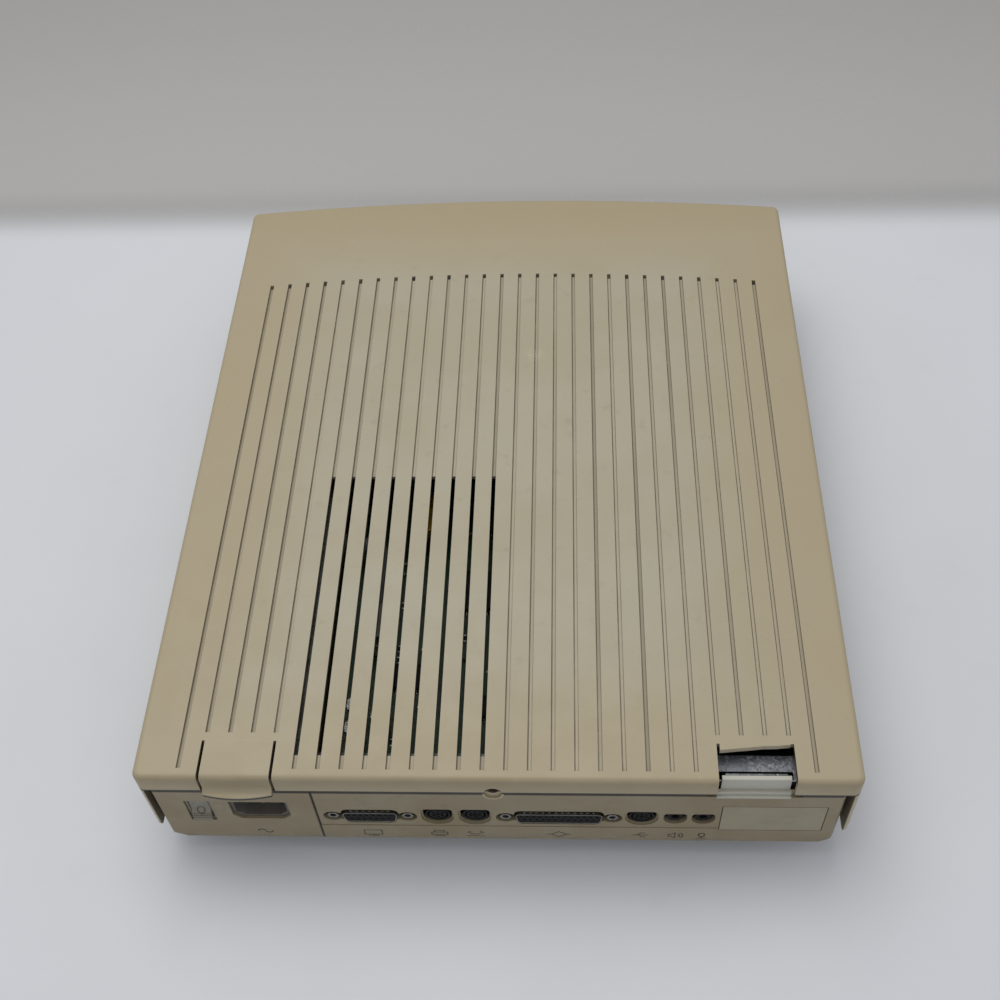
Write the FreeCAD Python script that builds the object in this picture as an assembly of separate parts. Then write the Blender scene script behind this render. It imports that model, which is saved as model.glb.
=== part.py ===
import FreeCAD, Part
import math
import os

os.makedirs("parts", exist_ok=True)
V = FreeCAD.Vector

# A flat desktop computer in a two-part moulded case. Millimetres, +Z up, the front at -Y, the
# connector wall at +Y. The origin is on the table, under the middle of the case.

# Whole case
WIDTH = 310.0
LID_DEPTH = 377.0
HEIGHT = 73.7
FRONT_BOW = 9.0
FOOT_HEIGHT = 3.2
PLINTH_HEIGHT = 11.4
CASE_WALL = 2.6
CUT_OVERRUN = 1.0
TOUCH_GAP = 0.3
RUN_GAP = 0.05

# Lid
LID_TOP_WALL = 3.0
LID_SIDE_WALL = 3.0
REAR_SKIRT_WALL = 2.2
REAR_SKIRT_DROP = 11.8
SIDE_SKIRT_DROP = 47.2
FRONT_SKIRT_DROP = 24.0
SIDE_SKIRT_SETBACK = 30.5
LID_CORNER_R = 4.0
LID_INNER_CORNER_R = 1.2
LID_EDGE_R = 2.5
SKIRT_END_R = 2.5
SKIRT_FRONT_R = 2.0

# Lid grooves, counted from the +X side: some long ones, the short ones behind the latch, then vents
GROOVE_COUNT = 28
GROOVE_SIDE_LAND = 20.0
GROOVE_WIDTH = 2.0
GROOVE_DEPTH = 1.0
GROOVE_REAR_LAND = 4.9
GROOVE_SHORT_LAND = 22.0
GROOVE_FRONT_LAND = 64.9
GROOVE_FRONT_BOW = 10.1
OUTER_GROOVE_COUNT = 1
SHORT_GROOVE_COUNT = 4
VENT_GROOVE_COUNT = 9
VENT_REAR_LAND = 11.8
VENT_FRONT_REACH = 165.5

# Release latches: the +X one is whole, the -X one has snapped off
LATCH_OFFSET = 4.3
LATCH_HALF_WIDTH = 15.0
LATCH_SLIT = 1.3
LATCH_LENGTH = 18.1
LATCH_LIP = 4.0
LATCH_LIP_END_SHARE = 0.55
LATCH_LIP_THICK = 1.7
LATCH_LIP_DROP = 0.8
LATCH_FLARE_R = 3.2
STUB_LENGTH_SHARES = (0.17, 0.13, 0.1, 0.06, 0.05, 0.02)
CATCH_WIDTH = 29.0
CATCH_THICK = 2.3
CATCH_SETBACK = 3.0
CATCH_TOP_DROP = 3.4
CATCH_ROOT_DROP = 21.0
CATCH_EDGE_SHARE = 0.25
SCOOP_HALF_WIDTH = 20.0
SCOOP_DEPTH = 1.0
SCOOP_HEIGHT = 2.4

# Security screw eye at the seam
EYE_X = 0.7
EYE_RADIUS = 4.6
EYE_UPPER_DROP = 11.1
EYE_LOWER_DROP = 13.1
EYE_RIM = 0.9
EYE_DISH = 1.2
EYE_HOLE_R = 2.05
EYE_SCREW_DROP = 11.4
EYE_PILOT_R = 1.65
EYE_POST_HALF_WIDTH = 7.0
EYE_POST_THICK = 2.3
EYE_POST_DROP = 6.2
EYE_POST_ROOT_DROP = 24.0

# Lid rests and front nibs
REST_COUNT = 4
REST_LENGTH = 8.0
REST_FRONT_INSET = 60.5
REST_REAR_INSET = 61.5
NIB_SIDE_INSET = 55.0
NIB_WIDTH = 16.0
NIB_INSET = 1.6
NIB_THICK = 1.2
NIB_DROP = 1.5
NIB_SLOT_DEPTH = 3.0
NIB_SLOT_CLEARANCE = 0.6

# Base case
BASE_SIDE_REVEAL = 5.4
BASE_REAR_SETBACK = 0.5
BASE_FRONT_INSET = 3.5
BASE_CORNER_R = 3.0
BASE_INNER_CORNER_R = 1.0
BEZEL_CORNER_R = 4.0
BASE_CHAMFER_WIDTH = 6.5
BASE_CHAMFER_HEIGHT = 4.0
PLINTH_INSET = 14.0
PLINTH_CORNER_R = 12.0
STEP_DROP = 45.6
STEP_PROUD = 0.3

# Feet
FOOT_R = 10.0
FOOT_TOP_R = 9.0
FOOT_SIDE_INSET = 37.0
FOOT_FRONT_INSET = 42.5
FOOT_REAR_INSET = 31.5
FOOT_PAD_R = 12.5

# Front bezel
DISK_SLOT_Z = 36.0
DISK_SLOT_SIDE_GAP = 0.5
DISK_SLOT_HEIGHT = 5.2
FINGER_SCOOP_R = 15.0
FINGER_SCOOP_WIDTH = 26.0
FINGER_SCOOP_DEPTH = 1.5
EJECT_HOLE_R = 0.9
EJECT_HOLE_INSET = 5.3
EJECT_HOLE_Z = 28.5
LAMP_SIDE_INSET = 12.0
LAMP_Z = 41.5
LAMP_WIDTH = 7.0
LAMP_HEIGHT = 2.4
LAMP_DEPTH = 9.0
LAMP_FLANGE = 1.2
LAMP_FLANGE_THICK = 1.0
LAMP_FIT = 0.1

# Speaker and air slots in the floor
FLOOR_SLOT_COUNT = 8
FLOOR_SLOT_PITCH = 6.0
FLOOR_SLOT_WIDTH = 2.4
FLOOR_SLOT_LENGTH = 38.0

# Ports on the connector wall: places across the wall, all on one height
PORT_DROP = 36.7
VIDEO_X = 56.3
PRINTER_X = 26.3
MODEM_X = 9.7
WIDE_X = -27.3
KEYBOARD_X = -63.6
AUDIO_OUT_X = -78.2
AUDIO_IN_X = -90.4
VIDEO_D_WIDTH = 26.5
WIDE_D_WIDTH = 40.6
D_WINDOW_HEIGHT = 13.0
D_WINDOW_CORNER_R = 3.0
D_SLANT_DEG = 10.0
VIDEO_SCREW_PITCH = 33.3
WIDE_SCREW_PITCH = 47.04
EAR_R = 4.3
EAR_NECK_HEIGHT = 6.0
ROUND_PORT_WIDTH = 14.5
ROUND_PORT_HEIGHT = 14.9
ROUND_PORT_STEP = 0.8
ROUND_PORT_STEP_DEPTH = 0.9
KEYBOARD_PORT_HEIGHT = 13.5
AUDIO_WIDTH = 10.2
AUDIO_HEIGHT = 9.7
WINDOW_TOP_CORNER_SHARE = 0.2

# Expansion opening and its blank cover
EXPANSION_RIGHT_X = -97.7
EXPANSION_WALL_INSET = 4.0
EXPANSION_TOP_DROP = 23.9
EXPANSION_BOTTOM_DROP = 47.6
EXPANSION_GAP = 0.4
COVER_LIP = 1.6

# Rear shield, folded sheet
SHEET = 0.6
SHIELD_WALL_GAP = 2.4
SHIELD_TOP_DROP = 9.7
SHIELD_FLANGE = 12.0
SHIELD_FLANGE_GAP = 3.9
SHIELD_TAB_HALF_WIDTH = 13.0
SHIELD_TAB_DROP = 3.9

# Power supply
PSU_PANEL_X = 80.0
PSU_PANEL_GAP = 0.4
PSU_CASE_INSET = 2.5
PSU_CASE_SIDE_GAP = 0.6
PSU_BOSS_R = 3.2
PSU_BOSS_INSET = 7.0
PSU_BOSS_RISE = 9.0
PSU_DRIVE_GAP = 20.0
PSU_CASE_TOP_Z = 59.5
PSU_SHEET = 1.2
PSU_VENT_COUNT = 9
PSU_VENT_PITCH = 9.0
PSU_VENT_WIDTH = 3.0
PSU_VENT_HEIGHT = 24.0
PSU_COVER_SKIRT = 7.0
PSU_COVER_EDGE_GAP = 0.4
PSU_BOARD_GAP = 4.0
TRANSFORMER_SIZE = 26.0
TRANSFORMER_HEIGHT = 24.0
BOBBIN_SHARE = 0.75

# Power inlet: housing, cavity and three blades
INLET_LEFT_X = 91.7
INLET_RIGHT_X = 117.7
INLET_TOP_DROP = 23.5
INLET_BOTTOM_DROP = 40.0
INLET_CORNER = 3.6
INLET_WALL = 1.3
INLET_DEPTH = 17.0
INLET_BACK = 3.0
INLET_FIT = 0.2
BLADE_WIDTH = 4.0
BLADE_THICK = 2.0
BLADE_LENGTH = 13.0
BLADE_HALF_PITCH = 7.0
BLADE_RISE = 2.0
BLADE_TAIL = 6.0
BLADE_FIT = 0.03

# Power switch: frame and rocker
SWITCH_SIDE_INSET = 18.0
SWITCH_WIDTH = 11.6
SWITCH_TOP_DROP = 22.9
SWITCH_BOTTOM_DROP = 41.9
SWITCH_WALL = 1.0
SWITCH_DEPTH = 12.0
SWITCH_FIT = 0.15
ROCKER_GAP = 0.35
ROCKER_END_GAP = 0.9
ROCKER_TILT_DEG = 9.0
ROCKER_DEPTH = 5.0
ROCKER_PIVOT_DEPTH = 3.4
ROCKER_PIN_R = 1.2
ROCKER_RIDGE_COUNT = 3
ROCKER_RIDGE = 0.45
ROCKER_RIDGE_PITCH = 1.1

# Logic board
BOARD_THICK = 1.6
BOARD_TOP_BELOW_PORTS = 7.2
BOARD_SIDE_GAP = 1.0
BOARD_PANEL_GAP = 4.0
BOARD_DRIVE_GAP = 9.4
BOARD_REAR_GAP = 0.9
STANDOFF_R = 3.6
STANDOFF_SIDE_INSET = 8.0
STANDOFF_FRONT_INSET = 4.6
STANDOFF_REAR_INSET = 19.5
STANDOFF_MIDDLE_SHARES = (0.59459459, 0.64621474)
SCREW_R = 1.5
SCREW_HOLE_R = 1.75
SCREW_HEAD_R = 2.9
SCREW_HEAD_HEIGHT = 1.8
SCREW_LENGTH = 7.0
SCREW_RECESS_R = 1.2
SCREW_RECESS_DEPTH = 0.9

# D connectors
D_FLANGE_HEIGHT = 12.4
D_FLANGE_THICK = 0.8
D_FLANGE_OVERHANG = 3.4
D_SHELL_WALL = 0.5
D_SHELL_REACH = 5.6
D_SHELL_HEIGHT = 8.4
VIDEO_SHELL_WIDTH = 25.0
WIDE_SHELL_WIDTH = 38.9
D_SHELL_CORNER_R = 2.2
D_BLOCK_DEPTH = 9.0
D_BLOCK_GAP = 0.3
D_BLOCK_SIDE_GAP = 0.1
D_BLOCK_FRONT_GAP = 0.3
CONTACT_R = 0.65
CONTACT_DEPTH = 3.0
CONTACT_PITCH = 2.77
CONTACT_ROW_PITCH = 2.84
VIDEO_LONG_ROW_COUNT = 8
WIDE_LONG_ROW_COUNT = 13
HEX_SIDE_COUNT = 6
JACK_R = 2.75
JACK_LENGTH = 4.6
JACK_BORE_R = 1.42
JACK_STEM_R = 1.4
JACK_HOLE_R = 1.6
JACK_BORE_DEPTH = 4.0
JACK_STEM_LENGTH = 3.0

# Round ports and audio jacks
PORT_BODY_WIDTH = 13.8
PORT_BODY_DEPTH = 13.0
PORT_NOSE_R = 5.9
PORT_FACE_SETBACK = 1.2
PORT_RING_OUTER_R = 4.65
PORT_RING_INNER_R = 3.9
PORT_RING_DEPTH = 6.0
PORT_PIN_HOLE_R = 0.6
PORT_PIN_CIRCLE_R = 2.2
PORT_PIN_COUNT = 6
PORT_KEY_WIDTH = 2.2
PORT_KEY_HEIGHT = 1.2
AUDIO_BODY_WIDTH = 9.0
AUDIO_BODY_DEPTH = 12.5
AUDIO_BODY_TOP = 4.6
AUDIO_NOSE_R = 3.6
AUDIO_BORE_R = 1.8
AUDIO_BORE_DEPTH = 12.0

# Chips and other parts on the board. Their places are shares of the board's width and depth
PROCESSOR_PLACE_SHARES = (0.49549550, 0.41860465)
PROCESSOR_SIZE = (29.0, 29.0)
PROCESSOR_HEIGHT = 4.2
SUPPORT_CHIP_PLACE_SHARES = (
    (0.69369369, 0.41860465),
    (0.50450450, 0.62642256),
    (0.84684685, 0.66600693),
    (0.69369369, 0.74517566),
    (0.30630631, 0.85403266),
)
SUPPORT_CHIP_SIZES = ((24.0, 24.0), (26.0, 26.0), (20.0, 14.0), (18.0, 12.0), (20.0, 14.0))
SUPPORT_CHIP_HEIGHT = 3.2
PROGRAM_CHIP_SIZE = (13.5, 36.0)
PROGRAM_CHIP_PLACE_SHARES = (0.12612613, 0.52746165)
PROGRAM_CHIP_COUNT = 4
PROGRAM_CHIP_PITCH_SHARE = 0.08108108
PROGRAM_CHIP_HEIGHT = 4.4
CHIP_CHAMFER = 0.8
MEMORY_SOCKET_LENGTH = 98.0
MEMORY_SOCKET_WIDTH = 6.0
MEMORY_SOCKET_HEIGHT = 6.5
MEMORY_SOCKET_PLACE_SHARES = (0.26126126, 0.20089065)
MEMORY_SOCKET_PITCH = 16.0
MEMORY_SOCKET_COUNT = 2
MEMORY_CLIP_HEIGHT = 11.0
MEMORY_CLIP_LENGTH = 3.0
MODULE_LENGTH = 88.9
MODULE_HEIGHT = 16.5
MODULE_THICK = 1.3
MODULE_FIT = 0.1
MODULE_SEAT_DEPTH = 4.5
MODULE_CHIP_COUNT = 8
MODULE_CHIP_WIDTH = 7.6
MODULE_CHIP_HEIGHT = 9.5
MODULE_CHIP_THICK = 1.2
EXPANSION_SOCKET_INSET = 5.5
EXPANSION_SOCKET_Y_SHARE = 0.73033152
EXPANSION_SOCKET_LENGTH = 95.0
EXPANSION_SOCKET_WIDTH = 10.6
EXPANSION_SOCKET_HEIGHT = 11.2
EXPANSION_SLOT_WIDTH = 6.0
EXPANSION_SLOT_DEPTH = 8.0
BATTERY_R = 7.2
BATTERY_LENGTH = 25.0
BATTERY_PLACE_SHARES = (0.83783784, 0.22068283)
BATTERY_FLOOR = 1.4
HOLDER_WALL = 1.5
HOLDER_END = 2.0
BATTERY_FIT = 0.25
CAPACITOR_R = 4.0
CAPACITOR_HEIGHT = 11.5
CAPACITOR_CREASE_R = 3.7
CAPACITOR_CREASE_HEIGHT = 1.2
CAPACITOR_PLACE_SHARES = (
    (0.96396396, 0.76496784),
    (0.96396396, 0.82434438),
    (0.90990991, 0.79465611),
    (0.96396396, 0.20089065),
    (0.90990991, 0.15141019),
    (0.59459459, 0.07224146),
)
CRYSTAL_PLACE_SHARES = (0.61261261, 0.54725383)
CRYSTAL_LENGTH = 11.0
CRYSTAL_WIDTH = 4.6
CRYSTAL_HEIGHT = 3.8
CRYSTAL_END_SHARE = 0.4
HEADER_HEIGHT = 8.8
HEADER_WALL = 1.0
HEADER_DEPTH_SHARE = 0.8
HEADER_WIDTH = 9.2
HEADER_FRONT_INSET = 6.6
DISK_HEADER_LENGTH = 32.0
DISK_HEADER_INSET = 8.5
HARD_HEADER_MARGIN = 15.8
HARD_HEADER_OFFSET = 1.0
POWER_HEADER_LENGTH = 12.0
POWER_HEADER_INSET = 7.8
POWER_HEADER_FRONT_INSET = 18.6
SUPPLY_HEADER_LENGTH = 42.0
SUPPLY_HEADER_INSET = 14.0
SUPPLY_HEADER_Y_SHARE = 0.49777338

# Fan, speaker and the bracket between the drives
FAN_SIZE = 50.0
FAN_THICK = 12.0
FAN_AHEAD = 11.0
FAN_BOTTOM_Z = 19.4
FAN_BORE_R = 23.5
FAN_CORNER_R = 3.0
FAN_SCREW_PITCH = 40.0
FAN_HUB_R = 9.5
FAN_TIP_GAP = 0.8
FAN_BLADE_COUNT = 7
FAN_BLADE_THICK = 1.2
FAN_BLADE_PITCH_DEG = 38.0
FAN_BLADE_WIDTH = 9.5
FAN_STRUT_WIDTH = 3.0
FAN_STRUT_THICK = 1.6
FAN_STRUT_COUNT = 3
FAN_MOTOR_R = 8.0
FAN_HUB_THICK = 8.5
FAN_PIN_R = 1.5
FAN_BLADE_ROOT_SHARE = 0.8
BRACKET_SHEET = 1.2
BRACKET_FOOT = 20.0
BRACKET_WINDOW_R = 24.0
SPEAKER_R = 25.0
SPEAKER_PLACE_SHARE = 0.22679045
SPEAKER_RIM = 3.0
SPEAKER_RIM_THICK = 2.0
SPEAKER_BASKET_HEIGHT = 8.0
SPEAKER_MAGNET_R = 13.0
SPEAKER_MAGNET_HEIGHT = 7.0
SPEAKER_NECK_R = 9.0
SPEAKER_WALL = 1.0
SPEAKER_CONE_THICK = 0.6

# Disk drive. Places along it are shares of its length
DRIVE_FAN_GAP = 7.5
DRIVE_WALL_GAP = 13.5
DRIVE_FRONT_SETBACK = 14.5
DRIVE_REAR_PLACE_SHARE = 0.42042440
DRIVE_BOTTOM_Z = 20.4
DRIVE_TOP_Z = 45.8
DRIVE_SHEET = 1.2
DRIVE_POST_R = 4.0
DRIVE_POST_INSET = 9.0
COVER_SHEET = 1.0
TRAY_SIDE_GAP = 4.0
TRAY_FRONT_INSET = 4.0
TRAY_REAR_SHARE = 0.63888889
TRAY_SHEET = 0.8
TRAY_TOP_Z = 39.0
TRAY_BOTTOM_Z = 32.6
TRAY_LIP = 6.0
TRAY_DROP = 5.0
TRAY_PIN_R = 1.2
TRAY_PIN_OUT = 2.4
TRAY_PIN_Z = 35.8
TRAY_PIN_SHARES = (0.125, 0.55555556)
TRAY_HUB_WINDOW_R = 17.0
TRAY_NOTCH_HALF_WIDTH = 18.6
TRAY_NOTCH_SHARE = 0.45138889
SLIDER_GAP = 0.8
SLIDER_SHEET = 1.0
SLIDER_TRAVEL = 8.0
SLIDER_BOTTOM_Z = 22.6
SLIDER_TOP_Z = 39.0
SLIDER_STRIP = 16.0
SLIDER_FRONT_INSET = 6.0
SLIDER_REAR_SHARE = 0.625
SLIDER_FRONT_STRIP = 10.0
SLIDER_SLOT_GAP = 0.2
RAIL_HALF_WIDTH = 1.5
RAIL_GAP = 0.2
SPINDLE_SHARE = 0.34722222
SPINDLE_SHAFT_R = 2.0
SPINDLE_BOSS_R = 5.0
SPINDLE_BOSS_HEIGHT = 2.0
SPINDLE_ROTOR_GAP = 2.5
SPINDLE_ROTOR_THICK = 1.5
SPINDLE_HUB_R = 12.0
SPINDLE_HUB_THICK = 2.6
SPINDLE_PIN_R = 1.6
SPINDLE_PIN_OFFSET = 7.5
SPINDLE_PIN_HEIGHT = 1.0
SPINDLE_SHAFT_DROP = 2.8
HEAD_SIDE_OFFSET = 14.0
HEAD_AXIS_Z = 30.0
HEAD_FRONT_SHARE = 0.65277778
HEAD_REAR_SHARE = 0.76388889
HEAD_BODY_HALF_WIDTH = 18.0
HEAD_BODY_BOTTOM_Z = 26.6
HEAD_BODY_TOP_Z = 33.6
HEAD_ARM_HALF_WIDTH = 5.0
HEAD_ARM_REACH = 9.0
HEAD_ARM_THICK = 1.3
HEAD_LOWER_ARM_Z = 25.9
HEAD_UPPER_ARM_Z = 40.6
HEAD_UPPER_POST_DEPTH = 6.0
HEAD_BUTTON_R = 3.0
HEAD_BUTTON_THICK = 0.5
LEAD_SCREW_R = 2.0
LEAD_JOURNAL_R = 1.2
LEAD_FRONT_SHARE = 0.5
LEAD_REAR_SHARE = 0.84722222
LEAD_JOURNAL = 3.0
GUIDE_ROD_R = 1.5
BEARING_THICK = 2.0
BEARING_HALF_WIDTH = 4.0
BEARING_TOP = 4.0
MOTOR_R = 9.0
MOTOR_LENGTH = 14.0
MOTOR_FLANGE = 1.0
DISK_SOCKET_WIDTH = 30.0
DISK_SOCKET_HEIGHT = 8.0

# Hard drive
HARD_FAN_GAP = 5.2
HARD_WALL_GAP = 11.2
HARD_FRONT_SETBACK = 12.5
SLED_SHEET = 1.6
SLED_WALL_HEIGHT = 13.0
SLED_MARGIN = 0.4
SLED_WINDOW_R = 17.0
HARD_BOARD_THICK = 1.6
HARD_BOARD_INSET = 3.0
HARD_BODY_Z = 25.4
HARD_BODY_HEIGHT = 20.0
HARD_LID_THICK = 1.5
HARD_LID_INSET = 4.0
HARD_LID_REAR_INSET = 12.0
HARD_CORNER_R = 4.0
HARD_HUB_R = 14.0
HARD_RIB_COUNT = 5
HARD_RIB_GAP_SHARE = 0.6
HARD_SOCKET_MARGIN = 1.0
HARD_POWER_WIDTH = 13.333333
HARD_PORT_HEIGHT = 8.0
HARD_PORT_DEPTH = 7.0
HARD_SCREW_RISE = 4.4
HARD_SCREW_INSET = 30.0

# Leads inside the case
RIBBON_THICK = 1.0
RIBBON_BEND_R = 3.0
RIBBON_RISE = 5.0
BEND_CLEAR_SHARE = 1.5
PLUG_HEIGHT = 6.0
PLUG_WALL = 0.8
LEAD_R = 2.2
LEAD_BEND_R = 6.5
SUPPLY_LEAD_R = 4.0
SUPPLY_LEAD_BEND_R = 7.5
SUPPLY_PLUG_HEIGHT = 7.0
SUPPLY_LEAD_DROP = 2.375
SUPPLY_GLAND_R = 6.0
SUPPLY_GLAND_LENGTH = 2.4

# Places that follow from the sizes
HALF_WIDTH = WIDTH / 2
BASE_HALF_WIDTH = HALF_WIDTH - BASE_SIDE_REVEAL
LATCH_X = (PSU_PANEL_X + BASE_HALF_WIDTH) / 2 - LATCH_OFFSET
REAR_Y = (LID_DEPTH + LATCH_LIP) / 2 - LATCH_LIP
FRONT_Y = REAR_Y - LID_DEPTH
SIDE_SKIRT_FRONT_Y = FRONT_Y + SIDE_SKIRT_SETBACK
GROOVE_PITCH = (WIDTH - 2 * GROOVE_SIDE_LAND) / (GROOVE_COUNT - 1)
REST_FIRST_Y = FRONT_Y + REST_FRONT_INSET
REST_PITCH = (REAR_Y - REST_REAR_INSET - REST_FIRST_Y) / (REST_COUNT - 1)
NIB_PITCH = HALF_WIDTH - NIB_SIDE_INSET
FOOT_X = HALF_WIDTH - FOOT_SIDE_INSET
FOOT_FRONT_Y = FRONT_Y + FOOT_FRONT_INSET
FOOT_REAR_Y = REAR_Y - FOOT_REAR_INSET
LAMP_X = LAMP_SIDE_INSET - HALF_WIDTH
SPEAKER_Y = FRONT_Y + LID_DEPTH * SPEAKER_PLACE_SHARE
BOW_R = (HALF_WIDTH ** 2 + FRONT_BOW ** 2) / (2 * FRONT_BOW)
SEAM_Z = HEIGHT - REAR_SKIRT_DROP
SLAB_Z = FOOT_HEIGHT + PLINTH_HEIGHT
FLOOR_Z = SLAB_Z + CASE_WALL
LID_UNDER_Z = HEIGHT - LID_TOP_WALL
SIDE_SKIRT_Z = HEIGHT - SIDE_SKIRT_DROP
FRONT_SKIRT_Z = HEIGHT - FRONT_SKIRT_DROP
BASE_TOP_Z = SEAM_Z - TOUCH_GAP
BEZEL_TOP_Z = FRONT_SKIRT_Z - TOUCH_GAP
BASE_REAR_Y = REAR_Y - BASE_REAR_SETBACK
BASE_INNER_REAR_Y = BASE_REAR_Y - CASE_WALL
BASE_INNER_HALF = BASE_HALF_WIDTH - CASE_WALL
EXPANSION_LEFT_X = EXPANSION_WALL_INSET - BASE_INNER_HALF
BEZEL_REAR_Y = SIDE_SKIRT_FRONT_Y - TOUCH_GAP
ROOT_Y = REAR_Y - LATCH_LENGTH
CATCH_REAR_Y = REAR_Y - CATCH_SETBACK
CATCH_FRONT_Y = CATCH_REAR_Y - CATCH_THICK
PSU_CASE_REAR_Y = CATCH_FRONT_Y - TOUCH_GAP
PORT_Z = HEIGHT - PORT_DROP
SHIELD_REAR_Y = BASE_INNER_REAR_Y - SHIELD_WALL_GAP
SHIELD_FRONT_Y = SHIELD_REAR_Y - SHEET
BOARD_TOP_Z = PORT_Z - BOARD_TOP_BELOW_PORTS
BOARD_Z = BOARD_TOP_Z - BOARD_THICK
BOARD_REAR_Y = SHIELD_FRONT_Y - BOARD_REAR_GAP
PSU_CASE_X = PSU_PANEL_X + PSU_CASE_INSET
PSU_CASE_RIGHT_X = BASE_INNER_HALF - PSU_CASE_SIDE_GAP
SWITCH_X = BASE_HALF_WIDTH - SWITCH_SIDE_INSET

# The two drive bays, on each side of the fan
DRIVE_FRONT_Y = FRONT_Y + DRIVE_FRONT_SETBACK
DRIVE_REAR_Y = FRONT_Y + LID_DEPTH * DRIVE_REAR_PLACE_SHARE
DRIVE_LENGTH = DRIVE_REAR_Y - DRIVE_FRONT_Y
DRIVE_INNER_X = FAN_SIZE / 2 + DRIVE_FAN_GAP
DRIVE_OUTER_X = BASE_INNER_HALF - DRIVE_WALL_GAP
DRIVE_WIDTH = DRIVE_OUTER_X - DRIVE_INNER_X
DRIVE_FLOOR_Z = DRIVE_BOTTOM_Z + DRIVE_SHEET
DISK_SLOT_X = (DRIVE_INNER_X + DRIVE_OUTER_X) / 2
TRAY_HALF_WIDTH = DRIVE_WIDTH / 2 - TRAY_SIDE_GAP
DISK_SLOT_WIDTH = 2 * (TRAY_HALF_WIDTH + DISK_SLOT_SIDE_GAP)
TRAY_FRONT_Y = DRIVE_FRONT_Y + TRAY_FRONT_INSET
TRAY_REAR_Y = DRIVE_FRONT_Y + DRIVE_LENGTH * TRAY_REAR_SHARE
TRAY_PIN_YS = [DRIVE_FRONT_Y + DRIVE_LENGTH * share for share in TRAY_PIN_SHARES]
TRAY_NOTCH_Y = DRIVE_FRONT_Y + DRIVE_LENGTH * TRAY_NOTCH_SHARE
SLIDER_INNER = TRAY_HALF_WIDTH + SLIDER_GAP
SLIDER_OUTER = SLIDER_INNER + SLIDER_SHEET
SLIDER_FRONT_Y = DRIVE_FRONT_Y + SLIDER_FRONT_INSET
SLIDER_REAR_Y = DRIVE_FRONT_Y + DRIVE_LENGTH * SLIDER_REAR_SHARE
EJECT_HOLE_X = DISK_SLOT_X + SLIDER_OUTER - EJECT_HOLE_INSET
SPINDLE_Y = DRIVE_FRONT_Y + DRIVE_LENGTH * SPINDLE_SHARE
LEAD_FRONT_Y = DRIVE_FRONT_Y + DRIVE_LENGTH * LEAD_FRONT_SHARE
LEAD_REAR_Y = DRIVE_FRONT_Y + DRIVE_LENGTH * LEAD_REAR_SHARE
SPINDLE_ROTOR_R = LEAD_FRONT_Y - BEARING_THICK - SPINDLE_Y - SPINDLE_ROTOR_GAP
HEAD_BODY_FRONT_Y = DRIVE_FRONT_Y + DRIVE_LENGTH * HEAD_FRONT_SHARE
HEAD_BODY_REAR_Y = DRIVE_FRONT_Y + DRIVE_LENGTH * HEAD_REAR_SHARE
SLED_INNER_X = FAN_SIZE / 2 + HARD_FAN_GAP
SLED_OUTER_X = BASE_INNER_HALF - HARD_WALL_GAP
HARD_X = -(SLED_INNER_X + SLED_OUTER_X) / 2
HARD_WIDTH = SLED_OUTER_X - SLED_INNER_X - 2 * (SLED_MARGIN + SLED_SHEET)
HARD_FRONT_Y = FRONT_Y + HARD_FRONT_SETBACK
HARD_REAR_Y = DRIVE_REAR_Y
FAN_FRONT_Y = DRIVE_REAR_Y - FAN_AHEAD
PSU_CASE_FRONT_Y = DRIVE_REAR_Y + PSU_DRIVE_GAP

# The logic board, behind the drives, and its headers: place across, place along and length
BOARD_LEFT_X = BOARD_SIDE_GAP - BASE_INNER_HALF
BOARD_RIGHT_X = PSU_PANEL_X - BOARD_PANEL_GAP
BOARD_FRONT_Y = DRIVE_REAR_Y + BOARD_DRIVE_GAP
BOARD_WIDTH = BOARD_RIGHT_X - BOARD_LEFT_X
BOARD_DEPTH = BOARD_REAR_Y - BOARD_FRONT_Y
STANDOFF_XS = (
    BOARD_LEFT_X + STANDOFF_SIDE_INSET,
    BOARD_LEFT_X + BOARD_WIDTH * STANDOFF_MIDDLE_SHARES[0],
    BOARD_RIGHT_X - STANDOFF_SIDE_INSET,
)
STANDOFF_YS = (
    BOARD_FRONT_Y + STANDOFF_FRONT_INSET,
    BOARD_FRONT_Y + BOARD_DEPTH * STANDOFF_MIDDLE_SHARES[1],
    BOARD_REAR_Y - STANDOFF_REAR_INSET,
)
HEADER_ROW_Y = BOARD_FRONT_Y + HEADER_FRONT_INSET
POWER_HEADER_Y = BOARD_FRONT_Y + POWER_HEADER_FRONT_INSET
DISK_HEADER = (DRIVE_INNER_X + DISK_HEADER_INSET, HEADER_ROW_Y, DISK_HEADER_LENGTH)
HARD_DRIVE_HEADER = (HARD_X + HARD_HEADER_OFFSET, HEADER_ROW_Y, HARD_WIDTH - 2 * HARD_HEADER_MARGIN)
DRIVE_POWER_HEADER = (HARD_X - HARD_WIDTH / 2 + POWER_HEADER_INSET, POWER_HEADER_Y, POWER_HEADER_LENGTH)
SUPPLY_HEADER = (
    BOARD_RIGHT_X - SUPPLY_HEADER_INSET,
    BOARD_FRONT_Y + BOARD_DEPTH * SUPPLY_HEADER_Y_SHARE,
    HEADER_WIDTH,
)
SWITCH_Z = HEIGHT - (SWITCH_TOP_DROP + SWITCH_BOTTOM_DROP) / 2
SWITCH_HEIGHT = SWITCH_BOTTOM_DROP - SWITCH_TOP_DROP
FAN_Z = FAN_BOTTOM_Z + FAN_SIZE / 2
FAN_REAR_Y = FAN_FRONT_Y + FAN_THICK
SCREWS = []


def block(x0, x1, y0, y1, z0, z1):
    """A box between two corners."""
    return Part.makeBox(x1 - x0, y1 - y0, z1 - z0, V(x0, y0, z0))


def around(x, y, width, depth, z0, z1):
    """A box of a width and depth around an upright line."""
    return block(x - width / 2, x + width / 2, y - depth / 2, y + depth / 2, z0, z1)


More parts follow.
